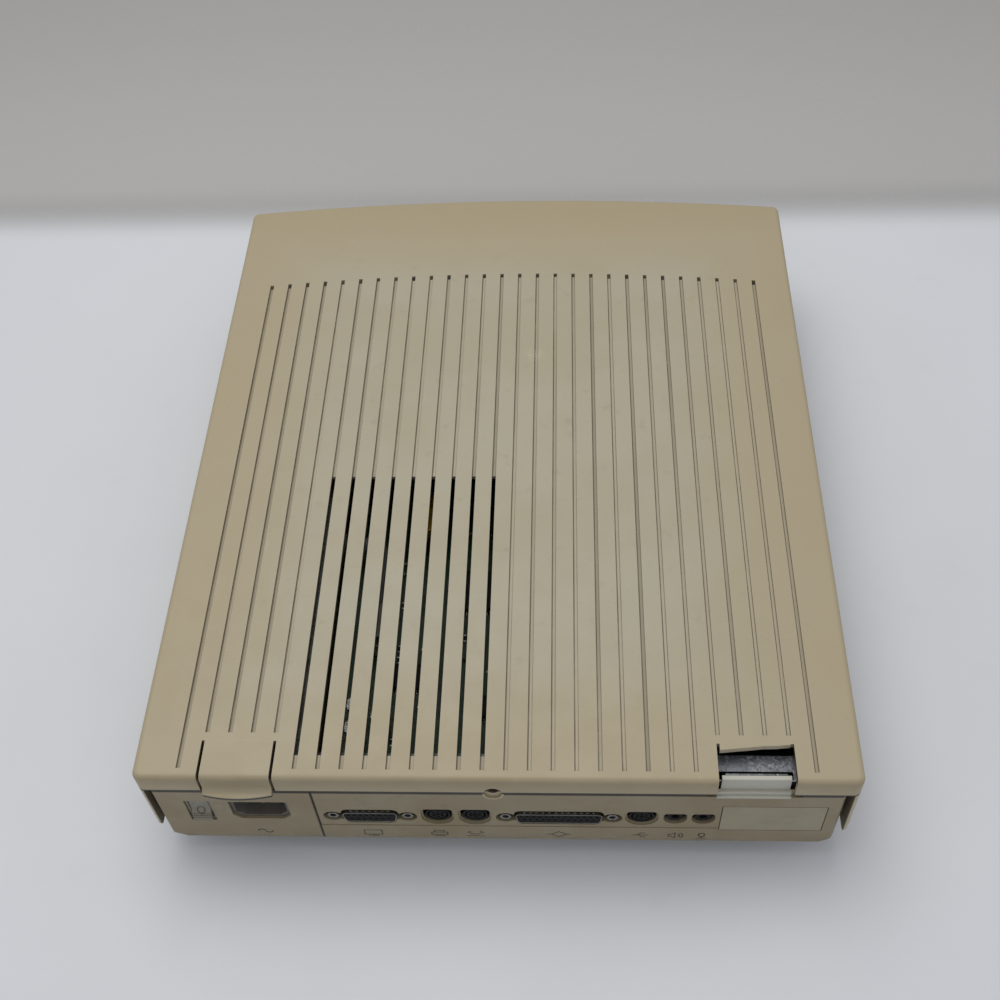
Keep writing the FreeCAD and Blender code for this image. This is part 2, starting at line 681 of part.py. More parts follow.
def rod(radius, start, end):
    """A round rod between two points."""
    line = end.sub(start)
    return Part.makeCylinder(radius, line.Length, start, line)


def prism(points, direction):
    """A flat outline pushed along a direction."""
    wire = Part.makePolygon(points + [points[0]])
    return Part.Face(wire).extrude(direction)


def join(shapes):
    """Shapes fused into one, with flush faces merged."""
    first = shapes[0]
    rest = shapes[1:]
    whole = first.fuse(rest) if rest else first
    return whole.removeSplitter()


def cut(shape, tools):
    """A shape with a list of others taken out of it."""
    return shape.cut(tools) if tools else shape


def group(shapes):
    """Separate solids kept together as one node."""
    return Part.makeCompound(shapes)


def edges_along(shape, axis, low, high):
    """Straight edges along one axis whose middle lies between two corners."""
    found = []
    for edge in shape.Edges:
        if len(edge.Vertexes) != 2 or edge.Curve.TypeId != "Part::GeomLine":
            continue
        if abs(edge.Curve.Direction.dot(axis)) < math.cos(math.radians(1)):
            continue
        middle = edge.CenterOfMass
        inside = low.x <= middle.x <= high.x and low.y <= middle.y <= high.y
        if inside and low.z <= middle.z <= high.z:
            found.append(edge)
    return found


def edges_at_height(shape, z):
    """Edges that lie flat at one height."""
    flat = [e for e in shape.Edges if e.BoundBox.ZLength < RUN_GAP]
    return [e for e in flat if abs(e.BoundBox.ZMax - z) < RUN_GAP]


def front_y(x, inset):
    """Where the bowed front, set in by an inset, crosses a place across the case."""
    return FRONT_Y + BOW_R - math.sqrt((BOW_R - inset) ** 2 - x ** 2)


def bowed_block(half_width, rear_y, inset, z0, z1, corner_r):
    """A slab with straight sides and rear and the case's bowed front, its upright corners rounded."""
    side_y = front_y(half_width, inset)
    left = V(-half_width, side_y, z0)
    right = V(half_width, side_y, z0)
    rear_right = V(half_width, rear_y, z0)
    rear_left = V(-half_width, rear_y, z0)
    edges = [
        Part.Arc(left, V(0, front_y(0, inset), z0), right).toShape(),
        Part.makeLine(right, rear_right),
        Part.makeLine(rear_right, rear_left),
        Part.makeLine(rear_left, left),
    ]
    slab = Part.Face(Part.Wire(edges)).extrude(V(0, 0, z1 - z0))
    upright = [e for e in slab.Edges if e.BoundBox.ZLength > (z1 - z0) / 2]
    return slab.makeFillet(corner_r, upright)


def obround(x, low_z, high_z, radius, y0, y1):
    """An upright slot-shaped bar along Y, round at the top and bottom."""
    body = block(x - radius, x + radius, y0, y1, low_z, high_z)
    ends = [rod(radius, V(x, y0, z), V(x, y1, z)) for z in (low_z, high_z)]
    return join([body] + ends)


def window(x, z, width, height, y0, y1):
    """The flat-topped, round-bottomed bar along Y that shapes the round ports' windows."""
    half = width / 2
    corner = width * WINDOW_TOP_CORNER_SHARE
    bend = corner * (1 - math.sqrt(1 / 2))
    left = x - half
    right = x + half
    top = z + height / 2
    low = z - height / 2 + half
    left_end = V(left, y0, top - corner)
    top_left = V(left + corner, y0, top)
    top_right = V(right - corner, y0, top)
    right_end = V(right, y0, top - corner)
    edges = [
        Part.makeLine(V(left, y0, low), left_end),
        Part.Arc(left_end, V(left + bend, y0, top - bend), top_left).toShape(),
        Part.makeLine(top_left, top_right),
        Part.Arc(top_right, V(right - bend, y0, top - bend), right_end).toShape(),
        Part.makeLine(right_end, V(right, y0, low)),
        Part.Arc(V(right, y0, low), V(x, y0, low - half), V(left, y0, low)).toShape(),
    ]
    return Part.Face(Part.Wire(edges)).extrude(V(0, y1 - y0, 0))


def d_bar(x, z, width, height, corner_r, y0, y1):
    """A bar along Y with the slanted sides of a D connector, its corners rounded."""
    slant = height * math.tan(math.radians(D_SLANT_DEG))
    top = width / 2
    bottom = top - slant
    points = [
        V(x - top, y0, z + height / 2),
        V(x + top, y0, z + height / 2),
        V(x + bottom, y0, z - height / 2),
        V(x - bottom, y0, z - height / 2),
    ]
    bar = prism(points, V(0, y1 - y0, 0))
    long_edges = [e for e in bar.Edges if e.BoundBox.YLength > (y1 - y0) / 2]
    return bar.makeFillet(corner_r, long_edges)


def ear_rods(x, pitch, radius, y0, y1):
    """Two rods along Y, one at each jackscrew of a D connector."""
    places = (x - pitch / 2, x + pitch / 2)
    return [rod(radius, V(place, y0, PORT_Z), V(place, y1, PORT_Z)) for place in places]


def d_window(x, width, pitch, y0, y1):
    """The opening of a D connector in the case wall: the D with an ear round each jackscrew."""
    bar = d_bar(x, PORT_Z, width, D_WINDOW_HEIGHT, D_WINDOW_CORNER_R, y0, y1)
    half_neck = EAR_NECK_HEIGHT / 2
    neck = around(x, (y0 + y1) / 2, pitch, y1 - y0, PORT_Z - half_neck, PORT_Z + half_neck)
    return join([bar, neck] + ear_rods(x, pitch, EAR_R, y0, y1))


def screw(x, y, z, direction):
    """A cross-head machine screw, its head's seat at a point, its stem along a direction."""
    seat = V(x, y, z)
    along = V(direction)
    back = V(along).multiply(-SCREW_HEAD_HEIGHT)
    head = rod(SCREW_HEAD_R, seat, seat.add(back))
    stem = rod(SCREW_R, seat, seat.add(V(along).multiply(SCREW_LENGTH)))
    recess_end = seat.add(V(along).multiply(SCREW_RECESS_DEPTH - SCREW_HEAD_HEIGHT))
    recess = Part.makeCylinder(SCREW_RECESS_R, SCREW_RECESS_DEPTH, recess_end, back)
    return join([head, stem]).cut(recess)


def lid_grooves():
    """Grooves along the lid's top, shorter ones at the latches, and the open slots of the vent."""
    tools = []
    first_x = GROOVE_PITCH * (GROOVE_COUNT - 1) / 2
    first_vent = OUTER_GROOVE_COUNT + SHORT_GROOVE_COUNT
    for index in range(GROOVE_COUNT):
        x = first_x - GROOVE_PITCH * index
        near = min(index, GROOVE_COUNT - 1 - index)
        land = GROOVE_SHORT_LAND if OUTER_GROOVE_COUNT <= near < first_vent else GROOVE_REAR_LAND
        bow = GROOVE_FRONT_BOW * (x / HALF_WIDTH) ** 2
        y0 = FRONT_Y + GROOVE_FRONT_LAND + bow
        x0 = x - GROOVE_WIDTH / 2
        x1 = x + GROOVE_WIDTH / 2
        tools.append(block(x0, x1, y0, REAR_Y - land, HEIGHT - GROOVE_DEPTH, HEIGHT + CUT_OVERRUN))
        if first_vent <= index < first_vent + VENT_GROOVE_COUNT:
            vent_y0 = REAR_Y - VENT_FRONT_REACH
            vent_y1 = REAR_Y - VENT_REAR_LAND
            tools.append(block(x0, x1, vent_y0, vent_y1, LID_UNDER_Z - CUT_OVERRUN, HEIGHT))
    return tools


def latch_opening(x):
    """The gap in the lid's top and rear skirt that a latch tab sits in, slits included."""
    half = LATCH_HALF_WIDTH + LATCH_SLIT
    low_z = SEAM_Z - CUT_OVERRUN
    high_z = HEIGHT + CUT_OVERRUN
    return block(x - half, x + half, ROOT_Y, REAR_Y + CUT_OVERRUN, low_z, high_z)


def latch_stub():
    """The ragged root that is left where the -X tab snapped off."""
    count = len(STUB_LENGTH_SHARES) - 1
    step = 2 * LATCH_HALF_WIDTH / count
    left = -LATCH_X + LATCH_HALF_WIDTH
    points = [V(left, ROOT_Y - CUT_OVERRUN, LID_UNDER_Z)]
    for index, share in enumerate(STUB_LENGTH_SHARES):
        points.append(V(left - step * index, ROOT_Y + LATCH_LENGTH * share, LID_UNDER_Z))
    points.append(V(left - step * count, ROOT_Y - CUT_OVERRUN, LID_UNDER_Z))
    return prism(points, V(0, 0, LID_TOP_WALL))


def eye_tongue():
    """The lid's rounded tongue at the seam, dished round the security screw hole."""
    upper_z = HEIGHT - EYE_UPPER_DROP
    lower_z = HEIGHT - EYE_LOWER_DROP
    inner_y = REAR_Y - REAR_SKIRT_WALL
    tongue = obround(EYE_X, lower_z, upper_z, EYE_RADIUS, inner_y, REAR_Y)
    dish_r = EYE_RADIUS - EYE_RIM
    dish = obround(EYE_X, lower_z, upper_z, dish_r, REAR_Y - EYE_DISH, REAR_Y + CUT_OVERRUN)
    screw_z = HEIGHT - EYE_SCREW_DROP
    hole = rod(EYE_HOLE_R, V(EYE_X, inner_y - CUT_OVERRUN, screw_z), V(EYE_X, REAR_Y + CUT_OVERRUN, screw_z))
    return tongue, [dish, hole]


def lid_rests():
    """Short ribs under the lid that stand on the base's side walls."""
    ribs = []
    for side in (-1, 1):
        edges = (side * BASE_INNER_HALF, side * BASE_HALF_WIDTH)
        for index in range(REST_COUNT):
            y = REST_FIRST_Y + REST_PITCH * index
            ribs.append(block(min(edges), max(edges), y, y + REST_LENGTH, BASE_TOP_Z, LID_UNDER_Z + RUN_GAP))
    return ribs


def lid_nibs():
    """Nibs under the front skirt that locate the lid in the bezel's top edge."""
    nibs = []
    for place in (-1, 0, 1):
        x = NIB_PITCH * place
        y = front_y(x, NIB_INSET)
        z = FRONT_SKIRT_Z
        nibs.append(block(x - NIB_WIDTH / 2, x + NIB_WIDTH / 2, y, y + NIB_THICK, z - NIB_DROP, z + NIB_DROP))
    return nibs


def lid_silhouette():
    """The lid seen from the side: deep skirts behind, a short one in front, the skirts' ends rounded."""
    x0 = -HALF_WIDTH - CUT_OVERRUN
    ahead = FRONT_Y - CUT_OVERRUN
    above = HEIGHT + CUT_OVERRUN
    points = [
        V(x0, ahead, above),
        V(x0, ahead, FRONT_SKIRT_Z),
        V(x0, SIDE_SKIRT_FRONT_Y, FRONT_SKIRT_Z),
        V(x0, SIDE_SKIRT_FRONT_Y, SIDE_SKIRT_Z),
        V(x0, REAR_Y, SIDE_SKIRT_Z),
        V(x0, REAR_Y, above),
    ]
    bar = prism(points, V(WIDTH + 2 * CUT_OVERRUN, 0, 0))
    for y, radius in ((REAR_Y, SKIRT_END_R), (SIDE_SKIRT_FRONT_Y, SKIRT_FRONT_R)):
        low = V(x0, y - RUN_GAP, SIDE_SKIRT_Z - RUN_GAP)
        high = V(-x0, y + RUN_GAP, SIDE_SKIRT_Z + RUN_GAP)
        bar = bar.makeFillet(radius, edges_along(bar, V(1, 0, 0), low, high))
    return bar


def lid_shell():
    outer = bowed_block(HALF_WIDTH, REAR_Y, 0, SIDE_SKIRT_Z, HEIGHT, LID_CORNER_R)
    outer = outer.makeFillet(LID_EDGE_R, edges_at_height(outer, HEIGHT)).common(lid_silhouette())
    inner_half = HALF_WIDTH - LID_SIDE_WALL
    inner_rear = REAR_Y - REAR_SKIRT_WALL
    low_z = SIDE_SKIRT_Z - CUT_OVERRUN
    inner = bowed_block(inner_half, inner_rear, LID_SIDE_WALL, low_z, LID_UNDER_Z, LID_INNER_CORNER_R)
    under_rear = block(-inner_half, inner_half, inner_rear - CUT_OVERRUN, REAR_Y + CUT_OVERRUN, low_z, SEAM_Z)
    tongue, eye_cuts = eye_tongue()
    openings = [latch_opening(LATCH_X), latch_opening(-LATCH_X)]
    shell = outer.cut([inner, under_rear] + openings + lid_grooves())
    shell = shell.fuse([tongue, latch_stub()] + lid_rests() + lid_nibs())
    return shell.cut(eye_cuts).removeSplitter()


def latch_tab():
    """The +X tab: top plate, skirt and the flared thumb lip with its curved outline."""
    x0 = LATCH_X - LATCH_HALF_WIDTH
    x1 = LATCH_X + LATCH_HALF_WIDTH
    inner_y = REAR_Y - REAR_SKIRT_WALL
    lip_top = SEAM_Z + LATCH_LIP_THICK
    lip_low = SEAM_Z - LATCH_LIP_DROP
    edge = LID_EDGE_R * (1 - math.sqrt(0.5))
    flare = LATCH_FLARE_R * (1 - math.sqrt(0.5))
    flare_top = V(x0, REAR_Y, lip_top + LATCH_FLARE_R)
    flare_end = V(x0, REAR_Y + LATCH_FLARE_R, lip_top)
    tip = REAR_Y + LATCH_LIP
    edges = [
        Part.makeLine(V(x0, ROOT_Y, LID_UNDER_Z), V(x0, ROOT_Y, HEIGHT)),
        Part.makeLine(V(x0, ROOT_Y, HEIGHT), V(x0, REAR_Y - LID_EDGE_R, HEIGHT)),
        Part.Arc(
            V(x0, REAR_Y - LID_EDGE_R, HEIGHT),
            V(x0, REAR_Y - edge, HEIGHT - edge),
            V(x0, REAR_Y, HEIGHT - LID_EDGE_R),
        ).toShape(),
        Part.makeLine(V(x0, REAR_Y, HEIGHT - LID_EDGE_R), flare_top),
        Part.Arc(flare_top, V(x0, REAR_Y + flare, lip_top + flare), flare_end).toShape(),
        Part.makeLine(flare_end, V(x0, tip, lip_top)),
        Part.makeLine(V(x0, tip, lip_top), V(x0, tip, lip_low)),
        Part.makeLine(V(x0, tip, lip_low), V(x0, REAR_Y + BASE_REAR_SETBACK, lip_low)),
        Part.makeLine(V(x0, REAR_Y + BASE_REAR_SETBACK, lip_low), V(x0, REAR_Y, SEAM_Z)),
        Part.makeLine(V(x0, REAR_Y, SEAM_Z), V(x0, inner_y, SEAM_Z)),
        Part.makeLine(V(x0, inner_y, SEAM_Z), V(x0, inner_y, LID_UNDER_Z)),
        Part.makeLine(V(x0, inner_y, LID_UNDER_Z), V(x0, ROOT_Y, LID_UNDER_Z)),
    ]
    tab = Part.Face(Part.Wire(edges)).extrude(V(x1 - x0, 0, 0))
    end_y = REAR_Y + LATCH_LIP * LATCH_LIP_END_SHARE
    plan = [
        Part.Arc(V(x0, end_y, lip_low), V(LATCH_X, tip, lip_low), V(x1, end_y, lip_low)).toShape(),
        Part.makeLine(V(x1, end_y, lip_low), V(x1, ROOT_Y, lip_low)),
        Part.makeLine(V(x1, ROOT_Y, lip_low), V(x0, ROOT_Y, lip_low)),
        Part.makeLine(V(x0, ROOT_Y, lip_low), V(x0, end_y, lip_low)),
    ]
    outline = Part.Face(Part.Wire(plan)).extrude(V(0, 0, HEIGHT - lip_low))
    return tab.common(outline)


def base_body():
    """The base's outer form and its hollow: the slab between the skirts and the full-width bezel."""
    half = BASE_HALF_WIDTH
    slab = bowed_block(half, BASE_REAR_Y, BASE_FRONT_INSET, SLAB_Z, BASE_TOP_Z, BASE_CORNER_R)
    bezel = bowed_block(HALF_WIDTH, BEZEL_REAR_Y, 0, SLAB_Z, BEZEL_TOP_Z, BEZEL_CORNER_R)
    inner_inset = BASE_FRONT_INSET + CASE_WALL
    high_z = BASE_TOP_Z + CUT_OVERRUN
    inner_r = BASE_INNER_CORNER_R
    hollow = bowed_block(BASE_INNER_HALF, BASE_INNER_REAR_Y, inner_inset, FLOOR_Z, high_z, inner_r)
    bezel_half = HALF_WIDTH - CASE_WALL
    bezel_rear = BEZEL_REAR_Y - CASE_WALL
    bezel_top = BEZEL_TOP_Z - CASE_WALL
    bezel_hollow = bowed_block(bezel_half, bezel_rear, CASE_WALL, FLOOR_Z, bezel_top, inner_r)
    return join([slab, bezel]), [hollow, bezel_hollow]


def chamfer_cuts(half_width, y0, y1):
    """The sloped lower edge along each side of the base."""
    cuts = []
    for side in (-1, 1):
        outer = side * (half_width + CUT_OVERRUN)
        slope = BASE_CHAMFER_HEIGHT / BASE_CHAMFER_WIDTH
        low_z = SLAB_Z - CUT_OVERRUN
        foot_x = side * (half_width - BASE_CHAMFER_WIDTH - CUT_OVERRUN / slope)
        rise = CUT_OVERRUN * slope
        points = [
            V(foot_x, y0, low_z),
            V(outer, y0, low_z),
            V(outer, y0, SLAB_Z + BASE_CHAMFER_HEIGHT + rise),
        ]
        cuts.append(prism(points, V(0, y1 - y0, 0)))
    return cuts


def plinth():
    """The inset skirt under the floor, with a pad for each foot."""
    half = BASE_HALF_WIDTH - PLINTH_INSET
    rear = BASE_REAR_Y - PLINTH_INSET
    inset = BASE_FRONT_INSET + PLINTH_INSET
    low = FOOT_HEIGHT
    outer = bowed_block(half, rear, inset, low, SLAB_Z, PLINTH_CORNER_R)
    inner_r = PLINTH_CORNER_R - CASE_WALL
    inner = bowed_block(half - CASE_WALL, rear - CASE_WALL, inset + CASE_WALL, low, SLAB_Z, inner_r)
    parts = [outer.cut(inner)]
    for x in (-FOOT_X, FOOT_X):
        for y in (FOOT_FRONT_Y, FOOT_REAR_Y):
            parts.append(rod(FOOT_PAD_R, V(x, y, low), V(x, y, SLAB_Z)).common(outer))
    return parts


def board_standoffs():
    """Posts under the board, each with a blind hole for its screw."""
    posts = []
    low_z = BOARD_TOP_Z - SCREW_LENGTH - RUN_GAP
    for x in STANDOFF_XS:
        for y in STANDOFF_YS:
            post = rod(STANDOFF_R, V(x, y, FLOOR_Z - RUN_GAP), V(x, y, BOARD_Z))
            hole = rod(SCREW_R + RUN_GAP, V(x, y, low_z), V(x, y, BOARD_Z + CUT_OVERRUN))
            posts.append(post.cut(hole))
    return posts


def drive_corners(x):
    """Where the four posts under a drive stand."""
    half = DRIVE_WIDTH / 2 - DRIVE_POST_INSET
    ends = (DRIVE_FRONT_Y + DRIVE_POST_INSET, DRIVE_REAR_Y - DRIVE_POST_INSET)
    return [(x + side * half, y) for side in (-1, 1) for y in ends]


def drive_posts():
    """Posts under both drives, each with a locating pin."""
    posts = []
    for centre in (DISK_SLOT_X, HARD_X):
        for x, y in drive_corners(centre):
            posts.append(rod(DRIVE_POST_R, V(x, y, FLOOR_Z - RUN_GAP), V(x, y, DRIVE_BOTTOM_Z)))
            posts.append(rod(SCREW_R, V(x, y, FLOOR_Z), V(x, y, DRIVE_FLOOR_Z)))
    return posts


def catch_bar(x):
    """A bar that stands up behind the skirt, for a latch to grip."""
    low_z = HEIGHT - CATCH_ROOT_DROP
    high_z = HEIGHT - CATCH_TOP_DROP
    half = CATCH_WIDTH / 2
    bar = block(x - half, x + half, CATCH_FRONT_Y, CATCH_REAR_Y, low_z, high_z)
    low = V(x - half, CATCH_FRONT_Y - RUN_GAP, high_z - RUN_GAP)
    high = V(x + half, CATCH_REAR_Y + RUN_GAP, high_z + RUN_GAP)
    return bar.makeFillet(CATCH_THICK * CATCH_EDGE_SHARE, edges_along(bar, V(1, 0, 0), low, high))


def round_port_places():
    """Place across and window height of each round port."""
    tall = [(x, ROUND_PORT_HEIGHT) for x in (PRINTER_X, MODEM_X)]
    return tall + [(KEYBOARD_X, KEYBOARD_PORT_HEIGHT)]


def d_connectors():
    """Place across, shell width and jackscrew spacing of each D connector."""
    return (
        (VIDEO_X, VIDEO_SHELL_WIDTH, VIDEO_SCREW_PITCH),
        (WIDE_X, WIDE_SHELL_WIDTH, WIDE_SCREW_PITCH),
    )


def port_cuts(y0, y1):
    """Bars that open the case wall for every port."""
    cuts = [
        d_window(VIDEO_X, VIDEO_D_WIDTH, VIDEO_SCREW_PITCH, y0, y1),
        d_window(WIDE_X, WIDE_D_WIDTH, WIDE_SCREW_PITCH, y0, y1),
    ]
    step = 2 * ROUND_PORT_STEP
    for x, height in round_port_places():
        cuts.append(window(x, PORT_Z, ROUND_PORT_WIDTH - step, height - step, y0, y1))
    for x in (AUDIO_OUT_X, AUDIO_IN_X):
        cuts.append(window(x, PORT_Z, AUDIO_WIDTH, AUDIO_HEIGHT, y0, y1))
    return cuts


def shield_cuts(y0, y1):
    """Holes in the shield: each one just clears what passes through it."""
    cuts = []
    gap = 2 * TOUCH_GAP
    for x, width, pitch in d_connectors():
        cuts.append(d_bar(x, PORT_Z, width + gap, D_SHELL_HEIGHT + gap, D_SHELL_CORNER_R, y0, y1))
        cuts += ear_rods(x, pitch, JACK_HOLE_R, y0, y1)
    for x, height in round_port_places():
        cuts.append(rod(PORT_NOSE_R, V(x, y0, PORT_Z), V(x, y1, PORT_Z)))
    for x in (AUDIO_OUT_X, AUDIO_IN_X):
        cuts.append(rod(AUDIO_NOSE_R + TOUCH_GAP, V(x, y0, PORT_Z), V(x, y1, PORT_Z)))
    return cuts + [expansion_opening(y0, y1, 0)]


def port_steps():
    """The shallow outer step round each round port."""
    y0 = BASE_REAR_Y - ROUND_PORT_STEP_DEPTH
    y1 = BASE_REAR_Y + CUT_OVERRUN
    return [window(x, PORT_Z, ROUND_PORT_WIDTH, height, y0, y1) for x, height in round_port_places()]


def expansion_opening(y0, y1, margin):
    low_z = HEIGHT - EXPANSION_BOTTOM_DROP - margin
    high_z = HEIGHT - EXPANSION_TOP_DROP + margin
    return block(EXPANSION_LEFT_X - margin, EXPANSION_RIGHT_X + margin, y0, y1, low_z, high_z)


def wall_step():
    """The lower band of the connector wall, a hair proud of the rest."""
    high_z = HEIGHT - STEP_DROP
    x0 = EXPANSION_RIGHT_X
    x1 = PSU_PANEL_X - PSU_PANEL_GAP
    return block(x0, x1, BASE_INNER_REAR_Y, BASE_REAR_Y + STEP_PROUD, FLOOR_Z, high_z)


def eye_post():
    """The post behind the tongue that takes the security screw."""
    low_z = HEIGHT - EYE_POST_ROOT_DROP
    high_z = HEIGHT - EYE_POST_DROP
    half = EYE_POST_HALF_WIDTH
    y0 = BASE_INNER_REAR_Y - EYE_POST_THICK + TOUCH_GAP
    y1 = BASE_INNER_REAR_Y + TOUCH_GAP
    post = block(EYE_X - half, EYE_X + half, y0, y1, low_z, high_z)
    screw_z = HEIGHT - EYE_SCREW_DROP
    pilot = rod(EYE_PILOT_R, V(EYE_X, y0 - CUT_OVERRUN, screw_z), V(EYE_X, y1 + CUT_OVERRUN, screw_z))
    return post, pilot


def eye_notch():
    """The gap in the connector wall that the lid's tongue drops into."""
    lower_z = HEIGHT - EYE_LOWER_DROP
    radius = EYE_RADIUS + TOUCH_GAP
    y0 = BASE_INNER_REAR_Y + TOUCH_GAP
    return obround(EYE_X, lower_z, BASE_TOP_Z + radius, radius, y0, BASE_REAR_Y + CUT_OVERRUN)


def bezel_cuts():
    """Disk slot, finger scoop, eject hole, lamp window and the nib slots."""
    y0 = FRONT_Y - CUT_OVERRUN
    y1 = front_y(DISK_SLOT_X + DISK_SLOT_WIDTH / 2, BASE_FRONT_INSET + CASE_WALL) + CUT_OVERRUN
    half = DISK_SLOT_WIDTH / 2
    low_z = DISK_SLOT_Z - DISK_SLOT_HEIGHT / 2
    high_z = DISK_SLOT_Z + DISK_SLOT_HEIGHT / 2
    slot = block(DISK_SLOT_X - half, DISK_SLOT_X + half, y0, y1, low_z, high_z)
    face_y = front_y(DISK_SLOT_X, 0)
    scoop_y = face_y + FINGER_SCOOP_DEPTH - FINGER_SCOOP_R
    scoop_half = FINGER_SCOOP_WIDTH / 2
    scoop = rod(
        FINGER_SCOOP_R,
        V(DISK_SLOT_X - scoop_half, scoop_y, DISK_SLOT_Z),
        V(DISK_SLOT_X + scoop_half, scoop_y, DISK_SLOT_Z),
    )
    eject = rod(EJECT_HOLE_R, V(EJECT_HOLE_X, y0, EJECT_HOLE_Z), V(EJECT_HOLE_X, y1, EJECT_HOLE_Z))
    lamp_y1 = front_y(LAMP_X, BASE_FRONT_INSET + CASE_WALL) + CUT_OVERRUN
    lamp_x0 = LAMP_X - LAMP_WIDTH / 2
    lamp_z0 = LAMP_Z - LAMP_HEIGHT / 2
    lamp = block(lamp_x0, lamp_x0 + LAMP_WIDTH, y0, lamp_y1, lamp_z0, lamp_z0 + LAMP_HEIGHT)
    cuts = [slot, scoop, eject, lamp]
    nib_half = NIB_WIDTH / 2 + TOUCH_GAP
    nib_low = BEZEL_TOP_Z - NIB_SLOT_DEPTH
    nib_high = BEZEL_TOP_Z + TOUCH_GAP
    for place in (-1, 0, 1):
        x = NIB_PITCH * place
        y = front_y(x, NIB_INSET) - TOUCH_GAP
        reach = NIB_THICK + TOUCH_GAP + NIB_SLOT_CLEARANCE
        cuts.append(block(x - nib_half, x + nib_half, y, y + reach, nib_low, nib_high))
    return cuts


def floor_slots():
    """Slots under the speaker."""
    slots = []
    first_x = -FLOOR_SLOT_PITCH * (FLOOR_SLOT_COUNT - 1) / 2
    for index in range(FLOOR_SLOT_COUNT):
        x = first_x + FLOOR_SLOT_PITCH * index
        low_z = SLAB_Z - CUT_OVERRUN
        slots.append(around(x, SPEAKER_Y, FLOOR_SLOT_WIDTH, FLOOR_SLOT_LENGTH, low_z, FLOOR_Z + CUT_OVERRUN))
    return slots


def base_shell():
    outer, hollows = base_body()
    body = outer.cut(hollows + chamfer_cuts(BASE_HALF_WIDTH, BEZEL_REAR_Y, BASE_REAR_Y + CUT_OVERRUN))
    body = body.cut(chamfer_cuts(HALF_WIDTH, FRONT_Y, BEZEL_REAR_Y))
    post, pilot = eye_post()
    body = join([body, wall_step()] + plinth() + board_standoffs() + drive_posts())
    y0 = BASE_INNER_REAR_Y - CUT_OVERRUN
    y1 = BASE_REAR_Y + CUT_OVERRUN
    panel_x0 = PSU_PANEL_X - PSU_PANEL_GAP
    panel_y0 = BASE_INNER_REAR_Y - TOUCH_GAP
    low_z = SLAB_Z - CUT_OVERRUN
    high_z = BASE_TOP_Z + CUT_OVERRUN
    panel_gap = block(panel_x0, HALF_WIDTH, panel_y0, y1, low_z, high_z)
    scoop_half = SCOOP_HALF_WIDTH
    scoop_y = BASE_REAR_Y - SCOOP_DEPTH
    scoop_z = BASE_TOP_Z - SCOOP_HEIGHT
    scoop = block(-LATCH_X - scoop_half, -LATCH_X + scoop_half, scoop_y, y1, scoop_z, high_z)
    tools = port_cuts(y0, y1) + port_steps() + bezel_cuts() + floor_slots()
    tools += [expansion_opening(y0, y1, 0), panel_gap, scoop, eye_notch()]
    body = body.cut(tools)
    return body.fuse([catch_bar(-LATCH_X), post]).cut(pilot).removeSplitter()


def rubber_feet():
    feet = []
    for x in (-FOOT_X, FOOT_X):
        for y in (FOOT_FRONT_Y, FOOT_REAR_Y):
            feet.append(Part.makeCone(FOOT_TOP_R, FOOT_R, FOOT_HEIGHT, V(x, y, 0), V(0, 0, 1)))
    return group(feet)


def expansion_cover():
    """The blank cover: a plate in the opening, with a lip behind its upper and lower edges."""
    gap = -EXPANSION_GAP
    plate = expansion_opening(BASE_INNER_REAR_Y, BASE_REAR_Y, gap)
    low_z = HEIGHT - EXPANSION_BOTTOM_DROP + EXPANSION_GAP
    high_z = HEIGHT - EXPANSION_TOP_DROP - EXPANSION_GAP
    inner_y = BASE_INNER_REAR_Y - SHIELD_WALL_GAP + TOUCH_GAP
    lips = []
    for z0, z1 in ((low_z, low_z + COVER_LIP), (high_z - COVER_LIP, high_z)):
        x0 = EXPANSION_LEFT_X + EXPANSION_GAP
        x1 = EXPANSION_RIGHT_X - EXPANSION_GAP
        lips.append(block(x0, x1, inner_y, BASE_INNER_REAR_Y, z0, z1))
    return join([plate] + lips)


def rear_shield():
    """Folded sheet behind the connector wall, with its upper flange and the tab behind the catch bar."""
    x0 = -BASE_INNER_HALF + TOUCH_GAP
    x1 = PSU_PANEL_X - PSU_PANEL_GAP - TOUCH_GAP
    y0 = SHIELD_FRONT_Y
    y1 = SHIELD_REAR_Y
    low_z = BOARD_TOP_Z + TOUCH_GAP
    top_z = HEIGHT - SHIELD_TOP_DROP
    plate = block(x0, x1, y0, y1, low_z, top_z)
    flange = block(x0, x1, y1 - SHIELD_FLANGE, y1, top_z - SHEET, top_z)
    tab_half = SHIELD_TAB_HALF_WIDTH
    tab_z = HEIGHT - SHIELD_TAB_DROP
    tab = block(-LATCH_X - tab_half, -LATCH_X + tab_half, y0, y1, top_z - SHEET, tab_z)
    cuts = shield_cuts(y0 - CUT_OVERRUN, y1 + CUT_OVERRUN)
    half = LATCH_HALF_WIDTH + LATCH_SLIT
    gap_y0 = y0 - SHIELD_FLANGE_GAP
    z0 = top_z - SHEET - CUT_OVERRUN
    cuts.append(block(-LATCH_X - half, -LATCH_X + half, gap_y0, y0, z0, top_z + CUT_OVERRUN))
    return join([plate, flange, tab]).cut(cuts)


